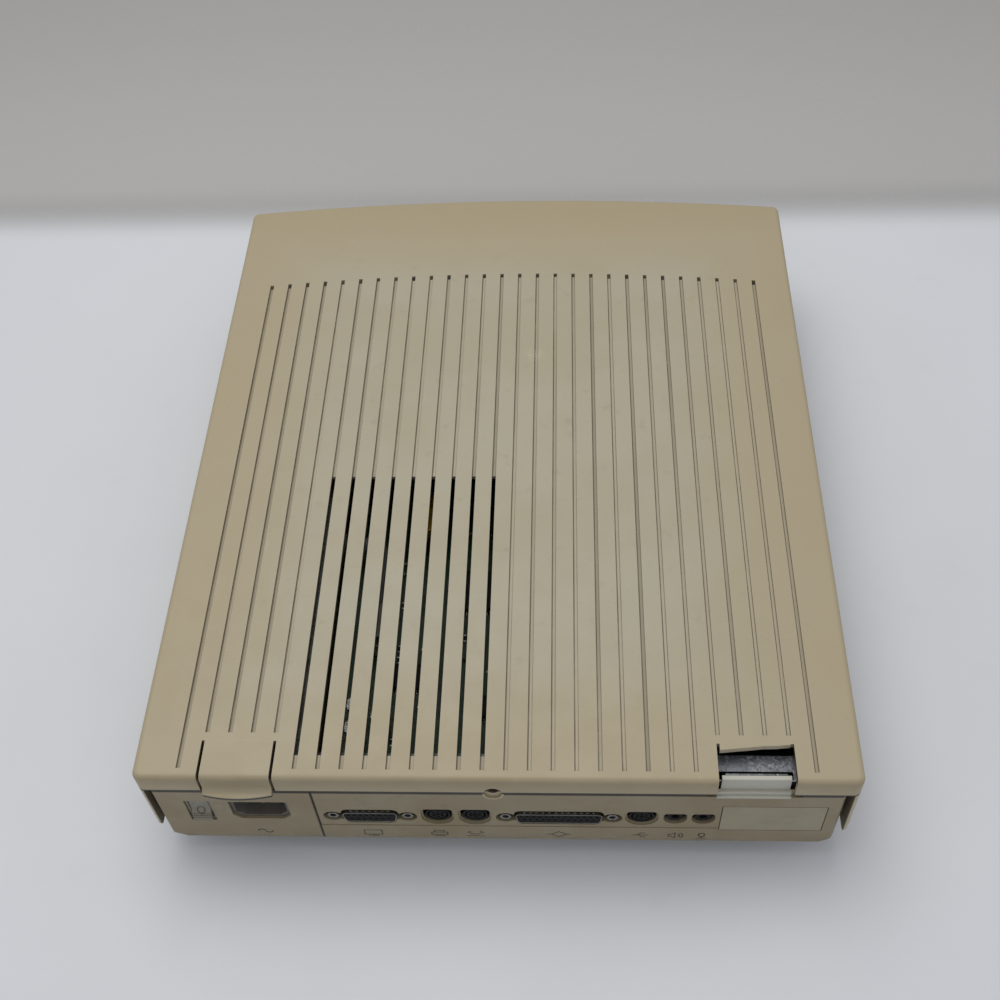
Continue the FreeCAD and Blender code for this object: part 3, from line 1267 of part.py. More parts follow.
def lamp_lens():
    """A clear bar behind the bezel window, with a flange that seats inside."""
    width = LAMP_WIDTH - 2 * LAMP_FIT
    height = LAMP_HEIGHT - 2 * LAMP_FIT
    y0 = front_y(LAMP_X, 0)
    y1 = front_y(LAMP_X, BASE_FRONT_INSET + CASE_WALL) + CUT_OVERRUN
    bar = around(LAMP_X, y0 + LAMP_DEPTH / 2, width, LAMP_DEPTH, LAMP_Z - height / 2, LAMP_Z + height / 2)
    half = LAMP_WIDTH / 2 + LAMP_FLANGE
    low_z = LAMP_Z - LAMP_HEIGHT / 2 - LAMP_FLANGE
    high_z = LAMP_Z + LAMP_HEIGHT / 2 + LAMP_FLANGE
    flange = block(LAMP_X - half, LAMP_X + half, y1, y1 + LAMP_FLANGE_THICK, low_z, high_z)
    return join([bar, flange])


def psu_case():
    """The supply's folded tray, with vent slots in both long walls."""
    y1 = PSU_CASE_REAR_Y
    z1 = PSU_CASE_TOP_Z
    wall = PSU_SHEET
    tray = block(PSU_CASE_X, PSU_CASE_RIGHT_X, PSU_CASE_FRONT_Y, y1, FLOOR_Z, z1)
    x0 = PSU_CASE_X + wall
    x1 = PSU_CASE_RIGHT_X - wall
    inside = block(x0, x1, PSU_CASE_FRONT_Y + wall, y1 - wall, FLOOR_Z + wall, z1 + CUT_OVERRUN)
    middle_z = (FLOOR_Z + z1) / 2
    low_z = middle_z - PSU_VENT_HEIGHT / 2
    high_z = middle_z + PSU_VENT_HEIGHT / 2
    cuts = [inside]
    for index in range(PSU_VENT_COUNT):
        y = PSU_CASE_FRONT_Y + PSU_VENT_PITCH * (index + 1)
        x_out = PSU_CASE_RIGHT_X + CUT_OVERRUN
        cuts.append(block(PSU_CASE_X - CUT_OVERRUN, x_out, y, y + PSU_VENT_WIDTH, low_z, high_z))
    rear_y = y1 + CUT_OVERRUN
    for x_low, x_high, z_low, z_high in (switch_opening(0), inlet_opening(0)):
        cuts.append(block(x_low, x_high, y1 - wall - CUT_OVERRUN, rear_y, z_low, z_high))
    gland = supply_gland_place()
    gland_x0 = PSU_CASE_X - CUT_OVERRUN
    gland_x1 = x0 + CUT_OVERRUN
    lead_hole = rod(SUPPLY_LEAD_R + TOUCH_GAP, V(gland_x0, gland.y, gland.z), V(gland_x1, gland.y, gland.z))
    return tray.cut(cuts).cut(lead_hole)


def psu_cover():
    """The supply's lid: a sheet with turned-down edges."""
    sheet = PSU_SHEET
    inset = sheet + PSU_COVER_EDGE_GAP
    z0 = PSU_CASE_TOP_Z
    low_z = z0 - PSU_COVER_SKIRT
    top = block(PSU_CASE_X, PSU_CASE_RIGHT_X, PSU_CASE_FRONT_Y, PSU_CASE_REAR_Y, z0, z0 + sheet)
    x0 = PSU_CASE_X + inset
    x1 = PSU_CASE_RIGHT_X - inset
    y0 = PSU_CASE_FRONT_Y + inset
    y1 = PSU_CASE_REAR_Y - inset
    skirt = block(x0, x1, y0, y1, low_z, z0)
    hollow = block(x0 + sheet, x1 - sheet, y0 + sheet, y1 - sheet, low_z, z0)
    return join([top, skirt.cut(hollow)])


def switch_opening(margin):
    """The window of the power switch: low and high places across and up."""
    half = SWITCH_WIDTH / 2 + margin
    low_z = HEIGHT - SWITCH_BOTTOM_DROP - margin
    high_z = HEIGHT - SWITCH_TOP_DROP + margin
    return (SWITCH_X - half, SWITCH_X + half, low_z, high_z)


def inlet_opening(margin):
    """The window of the power inlet: low and high places across and up."""
    low_z = HEIGHT - INLET_BOTTOM_DROP - margin
    high_z = HEIGHT - INLET_TOP_DROP + margin
    return (INLET_LEFT_X - margin, INLET_RIGHT_X + margin, low_z, high_z)


def inlet_bar(margin, y0, y1):
    """The inlet's outline pushed along Y: its two lower corners are cut off."""
    x0, x1, z0, z1 = inlet_opening(margin)
    corner = INLET_CORNER
    points = [
        V(x0, y0, z1),
        V(x0, y0, z0 + corner),
        V(x0 + corner, y0, z0),
        V(x1 - corner, y0, z0),
        V(x1, y0, z0 + corner),
        V(x1, y0, z1),
    ]
    return prism(points, V(0, y1 - y0, 0))


def psu_rear_panel():
    """The supply's own piece of the connector wall, with the +X catch bar on it."""
    y0 = BASE_INNER_REAR_Y
    y1 = BASE_REAR_Y
    panel = block(PSU_PANEL_X, BASE_HALF_WIDTH, y0, y1, SLAB_Z, BASE_TOP_Z)
    low = V(BASE_HALF_WIDTH - RUN_GAP, y1 - RUN_GAP, SLAB_Z)
    high = V(BASE_HALF_WIDTH + RUN_GAP, y1 + RUN_GAP, BASE_TOP_Z)
    panel = panel.makeFillet(CASE_WALL / 2, edges_along(panel, V(0, 0, 1), low, high))
    cuts = chamfer_cuts(BASE_HALF_WIDTH, y0 - CUT_OVERRUN, y1 + CUT_OVERRUN)
    cuts.append(inlet_bar(0, y0 - CUT_OVERRUN, y1 + CUT_OVERRUN))
    x0, x1, z0, z1 = switch_opening(0)
    cuts.append(block(x0, x1, y0 - CUT_OVERRUN, y1 + CUT_OVERRUN, z0, z1))
    bosses = []
    for x in (PSU_PANEL_X + PSU_BOSS_INSET, BASE_HALF_WIDTH - PSU_BOSS_INSET):
        z = SLAB_Z + PSU_BOSS_RISE
        bosses.append(rod(PSU_BOSS_R, V(x, PSU_CASE_REAR_Y, z), V(x, y0 + CASE_WALL / 2, z)))
    return join([panel.cut(cuts), catch_bar(LATCH_X)] + bosses)


def power_inlet():
    """The inlet housing: a deep cup with two cut corners, its rim just inside the panel."""
    y1 = BASE_REAR_Y - INLET_WALL
    y0 = y1 - INLET_DEPTH - INLET_BACK
    body = inlet_bar(-INLET_FIT, y0, y1)
    cavity = inlet_bar(-INLET_FIT - INLET_WALL, y0 + INLET_BACK, y1 + CUT_OVERRUN)
    slots = [blade(place, BLADE_FIT) for place in blade_places()]
    return body.cut([cavity] + slots)


def blade_places():
    """The three blades: two side by side and the lower one between them."""
    middle_x = (INLET_LEFT_X + INLET_RIGHT_X) / 2
    middle_z = HEIGHT - (INLET_TOP_DROP + INLET_BOTTOM_DROP) / 2
    return (
        (middle_x - BLADE_HALF_PITCH, middle_z + BLADE_RISE),
        (middle_x + BLADE_HALF_PITCH, middle_z + BLADE_RISE),
        (middle_x, middle_z - BLADE_RISE),
    )


def blade(place, margin):
    """One flat blade, made larger all round by a margin where it shapes its slot."""
    x, z = place
    y0 = BASE_REAR_Y - INLET_WALL - INLET_DEPTH - INLET_BACK - BLADE_TAIL
    y1 = BASE_REAR_Y - INLET_WALL - INLET_DEPTH + BLADE_LENGTH
    half = BLADE_THICK / 2 + margin
    half_height = BLADE_WIDTH / 2 + margin
    return block(x - half, x + half, y0, y1, z - half_height, z + half_height)


def inlet_blades():
    return group([blade(place, 0) for place in blade_places()])


def switch_frame():
    """The switch's frame: an open box with a bore across it for the rocker's pins."""
    x0, x1, z0, z1 = switch_opening(-SWITCH_FIT)
    y1 = BASE_REAR_Y - SWITCH_WALL
    y0 = y1 - SWITCH_DEPTH
    body = block(x0, x1, y0, y1, z0, z1)
    wall = SWITCH_WALL
    inside = block(x0 + wall, x1 - wall, y0 + wall, y1 + CUT_OVERRUN, z0 + wall, z1 - wall)
    pivot_y = BASE_REAR_Y - ROCKER_PIVOT_DEPTH
    bore_start = V(x0 - CUT_OVERRUN, pivot_y, SWITCH_Z)
    bore_end = V(x1 + CUT_OVERRUN, pivot_y, SWITCH_Z)
    return body.cut([inside, rod(ROCKER_PIN_R + RUN_GAP, bore_start, bore_end)])


def power_rocker():
    """The rocker: two faces that meet at its middle, pins at its sides and ridges at one end.
    It is drawn level and then turned to its stored tilt, upper end in."""
    half_width = SWITCH_WIDTH / 2 - SWITCH_FIT - SWITCH_WALL - ROCKER_GAP
    half_height = SWITCH_HEIGHT / 2 - SWITCH_FIT - SWITCH_WALL - ROCKER_END_GAP
    pivot_y = BASE_REAR_Y - ROCKER_PIVOT_DEPTH
    rise = half_height * math.tan(math.radians(ROCKER_TILT_DEG))
    face_y = BASE_REAR_Y
    back_y = pivot_y - ROCKER_DEPTH / 2
    x0 = SWITCH_X - half_width
    low_z = SWITCH_Z - half_height
    high_z = SWITCH_Z + half_height
    outline = [
        V(x0, back_y, SWITCH_Z - half_height / 2),
        V(x0, face_y - rise, low_z),
        V(x0, face_y, low_z),
        V(x0, face_y - rise, SWITCH_Z),
        V(x0, face_y, high_z),
        V(x0, face_y - rise, high_z),
        V(x0, back_y, SWITCH_Z + half_height / 2),
    ]
    body = prism(outline, V(2 * half_width, 0, 0))
    pin_out = half_width + ROCKER_GAP + SWITCH_WALL
    pin_end = V(SWITCH_X + pin_out, pivot_y, SWITCH_Z)
    pin = rod(ROCKER_PIN_R, V(SWITCH_X - pin_out, pivot_y, SWITCH_Z), pin_end)
    ridges = []
    for index in range(ROCKER_RIDGE_COUNT):
        z = low_z + ROCKER_RIDGE_PITCH * (index + 1)
        y = face_y - (z - low_z) * math.tan(math.radians(ROCKER_TILT_DEG))
        ridge = rod(ROCKER_RIDGE, V(SWITCH_X - half_width, y, z), V(SWITCH_X + half_width, y, z))
        ridges.append(ridge)
    whole = join([body, pin] + ridges)
    whole.rotate(V(SWITCH_X, pivot_y, SWITCH_Z), V(1, 0, 0), ROCKER_TILT_DEG)
    return whole


def psu_board():
    """The supply's board on its four posts."""
    z0 = FLOOR_Z + PSU_SHEET + PSU_BOARD_GAP
    x0 = PSU_CASE_X + PSU_SHEET + TOUCH_GAP
    x1 = PSU_CASE_RIGHT_X - PSU_SHEET - TOUCH_GAP
    y0 = PSU_CASE_FRONT_Y + PSU_SHEET + TOUCH_GAP
    y1 = BASE_REAR_Y - INLET_WALL - INLET_DEPTH - INLET_BACK - BLADE_TAIL - TOUCH_GAP
    plate = block(x0, x1, y0, y1, z0, z0 + BOARD_THICK)
    posts = []
    for x in (x0 + STANDOFF_R, x1 - STANDOFF_R):
        for y in (y0 + STANDOFF_R, y1 - STANDOFF_R):
            posts.append(rod(STANDOFF_R, V(x, y, FLOOR_Z + PSU_SHEET), V(x, y, z0)))
    return join([plate] + posts)


def psu_transformer():
    """The supply's main transformer: a wound bobbin between two core halves."""
    z0 = FLOOR_Z + PSU_SHEET + PSU_BOARD_GAP + BOARD_THICK
    x = (PSU_CASE_X + PSU_CASE_RIGHT_X) / 2
    y = (PSU_CASE_FRONT_Y + BASE_REAR_Y) / 2
    core = around(x, y, TRANSFORMER_SIZE, TRANSFORMER_SIZE / 2, z0, z0 + TRANSFORMER_HEIGHT)
    bobbin_width = TRANSFORMER_SIZE * BOBBIN_SHARE
    bobbin_top = z0 + TRANSFORMER_HEIGHT * BOBBIN_SHARE
    return join([core, around(x, y, bobbin_width, TRANSFORMER_SIZE, z0, bobbin_top)])


def logic_board():
    """The board, with its screw holes and a rear edge that meets the shield."""
    plate = block(BOARD_LEFT_X, BOARD_RIGHT_X, BOARD_FRONT_Y, BOARD_REAR_Y, BOARD_Z, BOARD_TOP_Z)
    low_z = BOARD_Z - CUT_OVERRUN
    high_z = BOARD_TOP_Z + CUT_OVERRUN
    holes = []
    for x in STANDOFF_XS:
        for y in STANDOFF_YS:
            holes.append(rod(SCREW_HOLE_R, V(x, y, low_z), V(x, y, high_z)))
            SCREWS.append(screw(x, y, BOARD_TOP_Z, V(0, 0, -1)))
    return plate.cut(holes)


def d_shell(x, width, pitch):
    """The plated shell of a D connector, with its flange behind the shield."""
    flange_y0 = SHIELD_FRONT_Y - D_FLANGE_THICK
    tip_y = SHIELD_REAR_Y + D_SHELL_REACH
    outer = d_bar(x, PORT_Z, width, D_SHELL_HEIGHT, D_SHELL_CORNER_R, flange_y0, tip_y)
    half = pitch / 2 + D_FLANGE_OVERHANG
    half_height = D_FLANGE_HEIGHT / 2
    flange = block(x - half, x + half, flange_y0, SHIELD_FRONT_Y, PORT_Z - half_height, PORT_Z + half_height)
    wall = D_SHELL_WALL
    inner_r = D_SHELL_CORNER_R - wall
    y0 = flange_y0 - CUT_OVERRUN
    y1 = tip_y + CUT_OVERRUN
    inside = d_bar(x, PORT_Z, width - 2 * wall, D_SHELL_HEIGHT - 2 * wall, inner_r, y0, y1)
    return join([outer, flange]).cut([inside] + ear_rods(x, pitch, JACK_HOLE_R, y0, y1))


def hexagon(x, y, z, radius):
    """The corners of an upright hexagon that faces along Y."""
    corners = []
    for side in range(HEX_SIDE_COUNT):
        angle = 2 * math.pi * side / HEX_SIDE_COUNT
        corners.append(V(x + radius * math.cos(angle), y, z + radius * math.sin(angle)))
    return corners


def contact_holes(x, long_row, y):
    """Two rows of contact holes, one more in the upper row."""
    holes = []
    for row, count in ((1, long_row), (-1, long_row - 1)):
        z = PORT_Z + row * CONTACT_ROW_PITCH / 2
        for index in range(count):
            hole_x = x + (index - (count - 1) / 2) * CONTACT_PITCH
            holes.append(prism(hexagon(hole_x, y, z, CONTACT_R), V(0, -CONTACT_DEPTH, 0)))
    return holes


def contact_block(x, width, pitch, long_row):
    """The moulded block of a D connector: its nose fills the shell, its body stands on the board."""
    wall = D_SHELL_WALL + D_BLOCK_SIDE_GAP
    tip_y = SHIELD_REAR_Y + D_SHELL_REACH - D_BLOCK_FRONT_GAP
    y1 = SHIELD_FRONT_Y - D_FLANGE_THICK
    nose_height = D_SHELL_HEIGHT - 2 * wall
    inner_r = D_SHELL_CORNER_R - wall
    nose = d_bar(x, PORT_Z, width - 2 * wall, nose_height, inner_r, y1 - D_BLOCK_GAP, tip_y)
    half = pitch / 2 - D_FLANGE_OVERHANG
    top_z = PORT_Z + D_FLANGE_HEIGHT / 2
    body = block(x - half, x + half, y1 - D_BLOCK_DEPTH, y1, BOARD_TOP_Z, top_z)
    return join([nose, body]).cut(contact_holes(x, long_row, tip_y))


def jackscrew(x):
    """A hexagonal jackscrew: threaded bore in front, stem through the shield behind."""
    y0 = SHIELD_REAR_Y
    head = prism(hexagon(x, y0, PORT_Z, JACK_R), V(0, JACK_LENGTH, 0))
    stem = rod(JACK_STEM_R, V(x, y0 - JACK_STEM_LENGTH, PORT_Z), V(x, y0, PORT_Z))
    tip_y = y0 + JACK_LENGTH
    bore = rod(JACK_BORE_R, V(x, tip_y - JACK_BORE_DEPTH, PORT_Z), V(x, tip_y + CUT_OVERRUN, PORT_Z))
    return join([head, stem]).cut(bore)


def jackscrews():
    screws = []
    for x, width, pitch in d_connectors():
        screws.append(jackscrew(x - pitch / 2))
        screws.append(jackscrew(x + pitch / 2))
    return group(screws)


def round_port(x):
    """A round socket: a body on the board, a nose with a ring groove, a key slot and contact holes."""
    body_y1 = SHIELD_FRONT_Y - TOUCH_GAP
    face_y = BASE_REAR_Y - PORT_FACE_SETBACK
    half = PORT_BODY_WIDTH / 2
    top_z = PORT_Z + PORT_NOSE_R
    body = block(x - half, x + half, body_y1 - PORT_BODY_DEPTH, body_y1, BOARD_TOP_Z, top_z)
    nose = rod(PORT_NOSE_R - TOUCH_GAP, V(x, body_y1 - TOUCH_GAP, PORT_Z), V(x, face_y, PORT_Z))
    ring_y0 = face_y - PORT_RING_DEPTH
    ring = rod(PORT_RING_OUTER_R, V(x, ring_y0, PORT_Z), V(x, face_y + CUT_OVERRUN, PORT_Z))
    core = rod(PORT_RING_INNER_R, V(x, ring_y0 - CUT_OVERRUN, PORT_Z), V(x, face_y + 2 * CUT_OVERRUN, PORT_Z))
    key_z = PORT_Z - PORT_KEY_HEIGHT / 2
    key = around(x, face_y, PORT_KEY_WIDTH, 2 * CONTACT_DEPTH, key_z, key_z + PORT_KEY_HEIGHT)
    hole_r = PORT_PIN_HOLE_R
    pins = []
    for index in range(PORT_PIN_COUNT):
        angle = 2 * math.pi * (index + 1 / 2) / PORT_PIN_COUNT
        pin_x = x + PORT_PIN_CIRCLE_R * math.cos(angle)
        pin_z = PORT_Z + PORT_PIN_CIRCLE_R * math.sin(angle)
        pins.append(around(pin_x, face_y, 2 * hole_r, 2 * CONTACT_DEPTH, pin_z - hole_r, pin_z + hole_r))
    return join([body, nose]).cut([ring.cut(core), key] + pins)


def audio_jack(x):
    """A jack: a body on the board and a round nose with its bore."""
    body_y1 = SHIELD_FRONT_Y - TOUCH_GAP
    face_y = BASE_REAR_Y - PORT_FACE_SETBACK
    half = AUDIO_BODY_WIDTH / 2
    top_z = PORT_Z + AUDIO_BODY_TOP
    body = block(x - half, x + half, body_y1 - AUDIO_BODY_DEPTH, body_y1, BOARD_TOP_Z, top_z)
    nose = rod(AUDIO_NOSE_R, V(x, body_y1 - TOUCH_GAP, PORT_Z), V(x, face_y, PORT_Z))
    bore = rod(AUDIO_BORE_R, V(x, face_y - AUDIO_BORE_DEPTH, PORT_Z), V(x, face_y + CUT_OVERRUN, PORT_Z))
    return join([body, nose]).cut(bore)


def on_board(shares):
    """The place across and along that two shares of the board's width and depth give."""
    return BOARD_LEFT_X + BOARD_WIDTH * shares[0], BOARD_FRONT_Y + BOARD_DEPTH * shares[1]


def chip(place, size, height):
    """A moulded chip package with sloped upper edges."""
    x, y = place
    width, depth = size
    body = around(x, y, width, depth, BOARD_TOP_Z, BOARD_TOP_Z + height)
    return body.makeChamfer(CHIP_CHAMFER, edges_at_height(body, BOARD_TOP_Z + height))


def support_chips():
    """The other large chips, one solid each."""
    table = zip(SUPPORT_CHIP_PLACE_SHARES, SUPPORT_CHIP_SIZES)
    return group([chip(on_board(shares), size, SUPPORT_CHIP_HEIGHT) for shares, size in table])


def program_chips():
    """A row of long chips, one solid each."""
    chips = []
    x, y = on_board(PROGRAM_CHIP_PLACE_SHARES)
    pitch = BOARD_WIDTH * PROGRAM_CHIP_PITCH_SHARE
    for index in range(PROGRAM_CHIP_COUNT):
        chips.append(chip((x + pitch * index, y), PROGRAM_CHIP_SIZE, PROGRAM_CHIP_HEIGHT))
    return group(chips)


def module_place(index):
    """The middle of a memory module, across and along."""
    x, y = on_board(MEMORY_SOCKET_PLACE_SHARES)
    return x, y + MEMORY_SOCKET_PITCH * index


def module_plate(index, margin):
    """A module's bare board, made larger by a margin where it shapes its slot."""
    x, y = module_place(index)
    z0 = BOARD_TOP_Z + MEMORY_SOCKET_HEIGHT - MODULE_SEAT_DEPTH - margin
    length = MODULE_LENGTH + 2 * margin
    return around(x, y, length, MODULE_THICK + 2 * margin, z0, z0 + MODULE_HEIGHT)


def memory_sockets():
    """Slotted sockets with an upright clip at each end."""
    sockets = []
    for index in range(MEMORY_SOCKET_COUNT):
        x, y = module_place(index)
        top_z = BOARD_TOP_Z + MEMORY_SOCKET_HEIGHT
        clip_z = BOARD_TOP_Z + MEMORY_CLIP_HEIGHT
        parts = [around(x, y, MEMORY_SOCKET_LENGTH, MEMORY_SOCKET_WIDTH, BOARD_TOP_Z, top_z)]
        for side in (-1, 1):
            clip_x = x + side * (MEMORY_SOCKET_LENGTH - MEMORY_CLIP_LENGTH) / 2
            parts.append(around(clip_x, y, MEMORY_CLIP_LENGTH, MEMORY_SOCKET_WIDTH, BOARD_TOP_Z, clip_z))
        sockets.append(join(parts).cut(module_plate(index, MODULE_FIT)))
    return group(sockets)


def memory_modules():
    """Small upright boards with a row of chips on one side."""
    modules = []
    pitch = MODULE_LENGTH / MODULE_CHIP_COUNT
    half = MODULE_CHIP_WIDTH / 2
    z0 = BOARD_TOP_Z + MEMORY_SOCKET_HEIGHT + TOUCH_GAP
    z1 = z0 + MODULE_CHIP_HEIGHT
    for index in range(MEMORY_SOCKET_COUNT):
        middle_x, y = module_place(index)
        y0 = y + MODULE_THICK / 2
        parts = [module_plate(index, 0)]
        for place in range(MODULE_CHIP_COUNT):
            x = middle_x + (place - (MODULE_CHIP_COUNT - 1) / 2) * pitch
            parts.append(block(x - half, x + half, y0, y0 + MODULE_CHIP_THICK, z0, z1))
        modules.append(join(parts))
    return group(modules)


def expansion_socket():
    """The long socket for an option card, with its slot."""
    x = BOARD_LEFT_X + EXPANSION_SOCKET_INSET + EXPANSION_SOCKET_LENGTH / 2
    y = BOARD_FRONT_Y + BOARD_DEPTH * EXPANSION_SOCKET_Y_SHARE
    top_z = BOARD_TOP_Z + EXPANSION_SOCKET_HEIGHT
    body = around(x, y, EXPANSION_SOCKET_LENGTH, EXPANSION_SOCKET_WIDTH, BOARD_TOP_Z, top_z)
    slot_length = EXPANSION_SOCKET_LENGTH - (EXPANSION_SOCKET_WIDTH - EXPANSION_SLOT_WIDTH)
    low_z = top_z - EXPANSION_SLOT_DEPTH
    return body.cut(around(x, y, slot_length, EXPANSION_SLOT_WIDTH, low_z, top_z + CUT_OVERRUN))


def battery_line():
    """The two end points of the battery's axis."""
    x, y = on_board(BATTERY_PLACE_SHARES)
    z = BOARD_TOP_Z + BATTERY_FLOOR + BATTERY_FIT + BATTERY_R
    return V(x, y - BATTERY_LENGTH / 2, z), V(x, y + BATTERY_LENGTH / 2, z)


def clock_battery():
    start, end = battery_line()
    body = rod(BATTERY_R, start, end)
    return body.makeFillet(BATTERY_FLOOR / 2, [e for e in body.Edges if e.BoundBox.YLength < RUN_GAP])


def battery_holder():
    """An open cradle with an end wall at each end."""
    start, end = battery_line()
    x, y = on_board(BATTERY_PLACE_SHARES)
    inner_half = BATTERY_R + BATTERY_FIT
    half = inner_half + HOLDER_WALL
    length = BATTERY_LENGTH + 2 * (HOLDER_END + BATTERY_FIT)
    body = around(x, y, 2 * half, length, BOARD_TOP_Z, start.z)
    inner_length = BATTERY_LENGTH + 2 * BATTERY_FIT
    bed = rod(inner_half, V(x, y - inner_length / 2, start.z), V(x, y + inner_length / 2, start.z))
    return body.cut(bed)


def board_capacitors():
    """Upright cans with a crease near the foot."""
    cans = []
    for shares in CAPACITOR_PLACE_SHARES:
        x, y = on_board(shares)
        z0 = BOARD_TOP_Z
        crease = z0 + CAPACITOR_CREASE_HEIGHT
        profile = [
            V(x, y, z0),
            V(x + CAPACITOR_R, y, z0),
            V(x + CAPACITOR_CREASE_R, y, crease),
            V(x + CAPACITOR_R, y, crease + CAPACITOR_CREASE_HEIGHT),
            V(x + CAPACITOR_R, y, z0 + CAPACITOR_HEIGHT),
            V(x, y, z0 + CAPACITOR_HEIGHT),
        ]
        face = Part.Face(Part.makePolygon(profile + [profile[0]]))
        cans.append(face.revolve(V(x, y, z0), V(0, 0, 1), 360))
    return group(cans)


def timing_crystal():
    """A flat can with rounded ends, lying on the board."""
    x, y = on_board(CRYSTAL_PLACE_SHARES)
    body = around(x, y, CRYSTAL_LENGTH, CRYSTAL_WIDTH, BOARD_TOP_Z, BOARD_TOP_Z + CRYSTAL_HEIGHT)
    upright = [e for e in body.Edges if e.BoundBox.ZLength > CRYSTAL_HEIGHT / 2]
    return body.makeFillet(CRYSTAL_WIDTH * CRYSTAL_END_SHARE, upright)


def header(x, y, width, depth):
    """A shrouded pin header: an open box on the board."""
    top_z = BOARD_TOP_Z + HEADER_HEIGHT
    body = around(x, y, width, depth, BOARD_TOP_Z, top_z)
    inner_width = width - 2 * HEADER_WALL
    inner_depth = depth - 2 * HEADER_WALL
    floor_z = top_z - HEADER_HEIGHT * HEADER_DEPTH_SHARE
    return body.cut(around(x, y, inner_width, inner_depth, floor_z, top_z + CUT_OVERRUN))


def board_headers():
    """The headers that the leads plug into, one solid each."""
    headers = []
    for x, y, width in (DISK_HEADER, HARD_DRIVE_HEADER, DRIVE_POWER_HEADER):
        headers.append(header(x, y, width, HEADER_WIDTH))
    x, y, width = SUPPLY_HEADER
    headers.append(header(x, y, width, SUPPLY_HEADER_LENGTH))
    return group(headers)


def header_plug(x, y, width, depth, height):
    """A plug that fills a header and stands above it."""
    gap = HEADER_WALL + RUN_GAP * 2
    z0 = BOARD_TOP_Z + HEADER_HEIGHT * (1 - HEADER_DEPTH_SHARE) + TOUCH_GAP
    z1 = BOARD_TOP_Z + HEADER_HEIGHT + height
    return around(x, y, width - 2 * gap, depth - 2 * gap, z0, z1)


def bent_path(points, radius):
    """Straight runs between points, joined by arcs of one radius, as a list of edges."""
    edges = []
    start = points[0]
    for before, corner, after in zip(points, points[1:], points[2:]):
        into = corner.sub(before).normalize()
        out = after.sub(corner).normalize()
        half_turn = math.acos(max(-1, min(1, into.dot(out)))) / 2
        reach = radius * math.tan(half_turn)
        arc_start = corner.sub(V(into).multiply(reach))
        arc_end = corner.add(V(out).multiply(reach))
        inward = V(out).sub(into).normalize()
        centre = corner.add(V(inward).multiply(radius / math.cos(half_turn)))
        middle = centre.sub(V(inward).multiply(radius))
        edges.append(Part.makeLine(start, arc_start))
        edges.append(Part.Arc(arc_start, middle, arc_end).toShape())
        start = arc_end
    edges.append(Part.makeLine(start, points[-1]))
    return edges


def lead(points, bend_r, radius):
    """A round lead along a bent path."""
    path = Part.Wire(bent_path(points, bend_r))
    section = Part.Wire(Part.Circle(points[0], points[1].sub(points[0]), radius).toShape())
    return path.makePipeShell([section], True, False)


def ribbon(points, bend_r, x0, x1):
    """A flat cable along a bent path in an upright plane along Y, as wide as x0 to x1."""
    path = Part.Wire(bent_path(points, bend_r))
    first = points[0]
    half = RIBBON_THICK / 2
    across = points[1].sub(first).normalize()
    side = V(0, -across.z, across.y).multiply(half)
    corners = [
        V(x0, first.y, first.z).add(side),
        V(x1, first.y, first.z).add(side),
        V(x1, first.y, first.z).sub(side),
        V(x0, first.y, first.z).sub(side),
    ]
    section = Part.makePolygon(corners + [corners[0]])
    return path.makePipeShell([section], True, False)


def ribbon_route(rear_y, rear_z, head):
    """From a drive's rear socket up, over and down to a plug on the board."""
    x, y, width = head
    top = BOARD_TOP_Z + HEADER_HEIGHT + PLUG_HEIGHT
    turn_z = max(top, rear_z) + RIBBON_RISE
    out_y = rear_y + RIBBON_BEND_R * BEND_CLEAR_SHARE
    return [V(x, rear_y, rear_z), V(x, out_y, rear_z), V(x, out_y, turn_z), V(x, y, turn_z), V(x, y, top)]


def supply_gland_place():
    """Where the output lead leaves the supply's inner wall."""
    x, y, width = SUPPLY_HEADER
    z = BOARD_TOP_Z + HEADER_HEIGHT + SUPPLY_PLUG_HEIGHT - SUPPLY_LEAD_DROP
    return V(PSU_CASE_X, y - SUPPLY_HEADER_LENGTH / 2 - SUPPLY_LEAD_BEND_R * 2, z)


def supply_lead():
    """The supply's output lead with its gland and board plug."""
    x, y, width = SUPPLY_HEADER
    gland = supply_gland_place()
    plug = header_plug(x, y, width, SUPPLY_HEADER_LENGTH, SUPPLY_PLUG_HEIGHT)
    half_plug = SUPPLY_HEADER_LENGTH / 2 - HEADER_WALL - 2 * RUN_GAP
    start = V(PSU_CASE_X + PSU_SHEET + TOUCH_GAP, gland.y, gland.z)
    points = [start, V(x, gland.y, gland.z), V(x, y - half_plug + SUPPLY_LEAD_R / 2, gland.z)]
    wire = lead(points, SUPPLY_LEAD_BEND_R, SUPPLY_LEAD_R)
    neck = rod(SUPPLY_LEAD_R, points[2], V(x, y, gland.z))
    gland_end = V(PSU_CASE_X - SUPPLY_GLAND_LENGTH, gland.y, gland.z)
    sleeve = rod(SUPPLY_GLAND_R, V(PSU_CASE_X, gland.y, gland.z), gland_end)
    return join([plug, wire, neck, sleeve])


def disk_ribbon():
    """Flat cable from the disk drive to the board, with both plugs."""
    x, y, width = DISK_HEADER
    points = ribbon_route(DRIVE_REAR_Y, DRIVE_FLOOR_Z + DISK_SOCKET_HEIGHT / 2, DISK_HEADER)
    half = width / 2 - HEADER_WALL - PLUG_WALL
    cable = ribbon(points, RIBBON_BEND_R, x - half, x + half)
    plug = header_plug(x, y, width, HEADER_WIDTH, PLUG_HEIGHT)
    return join([cable, plug])


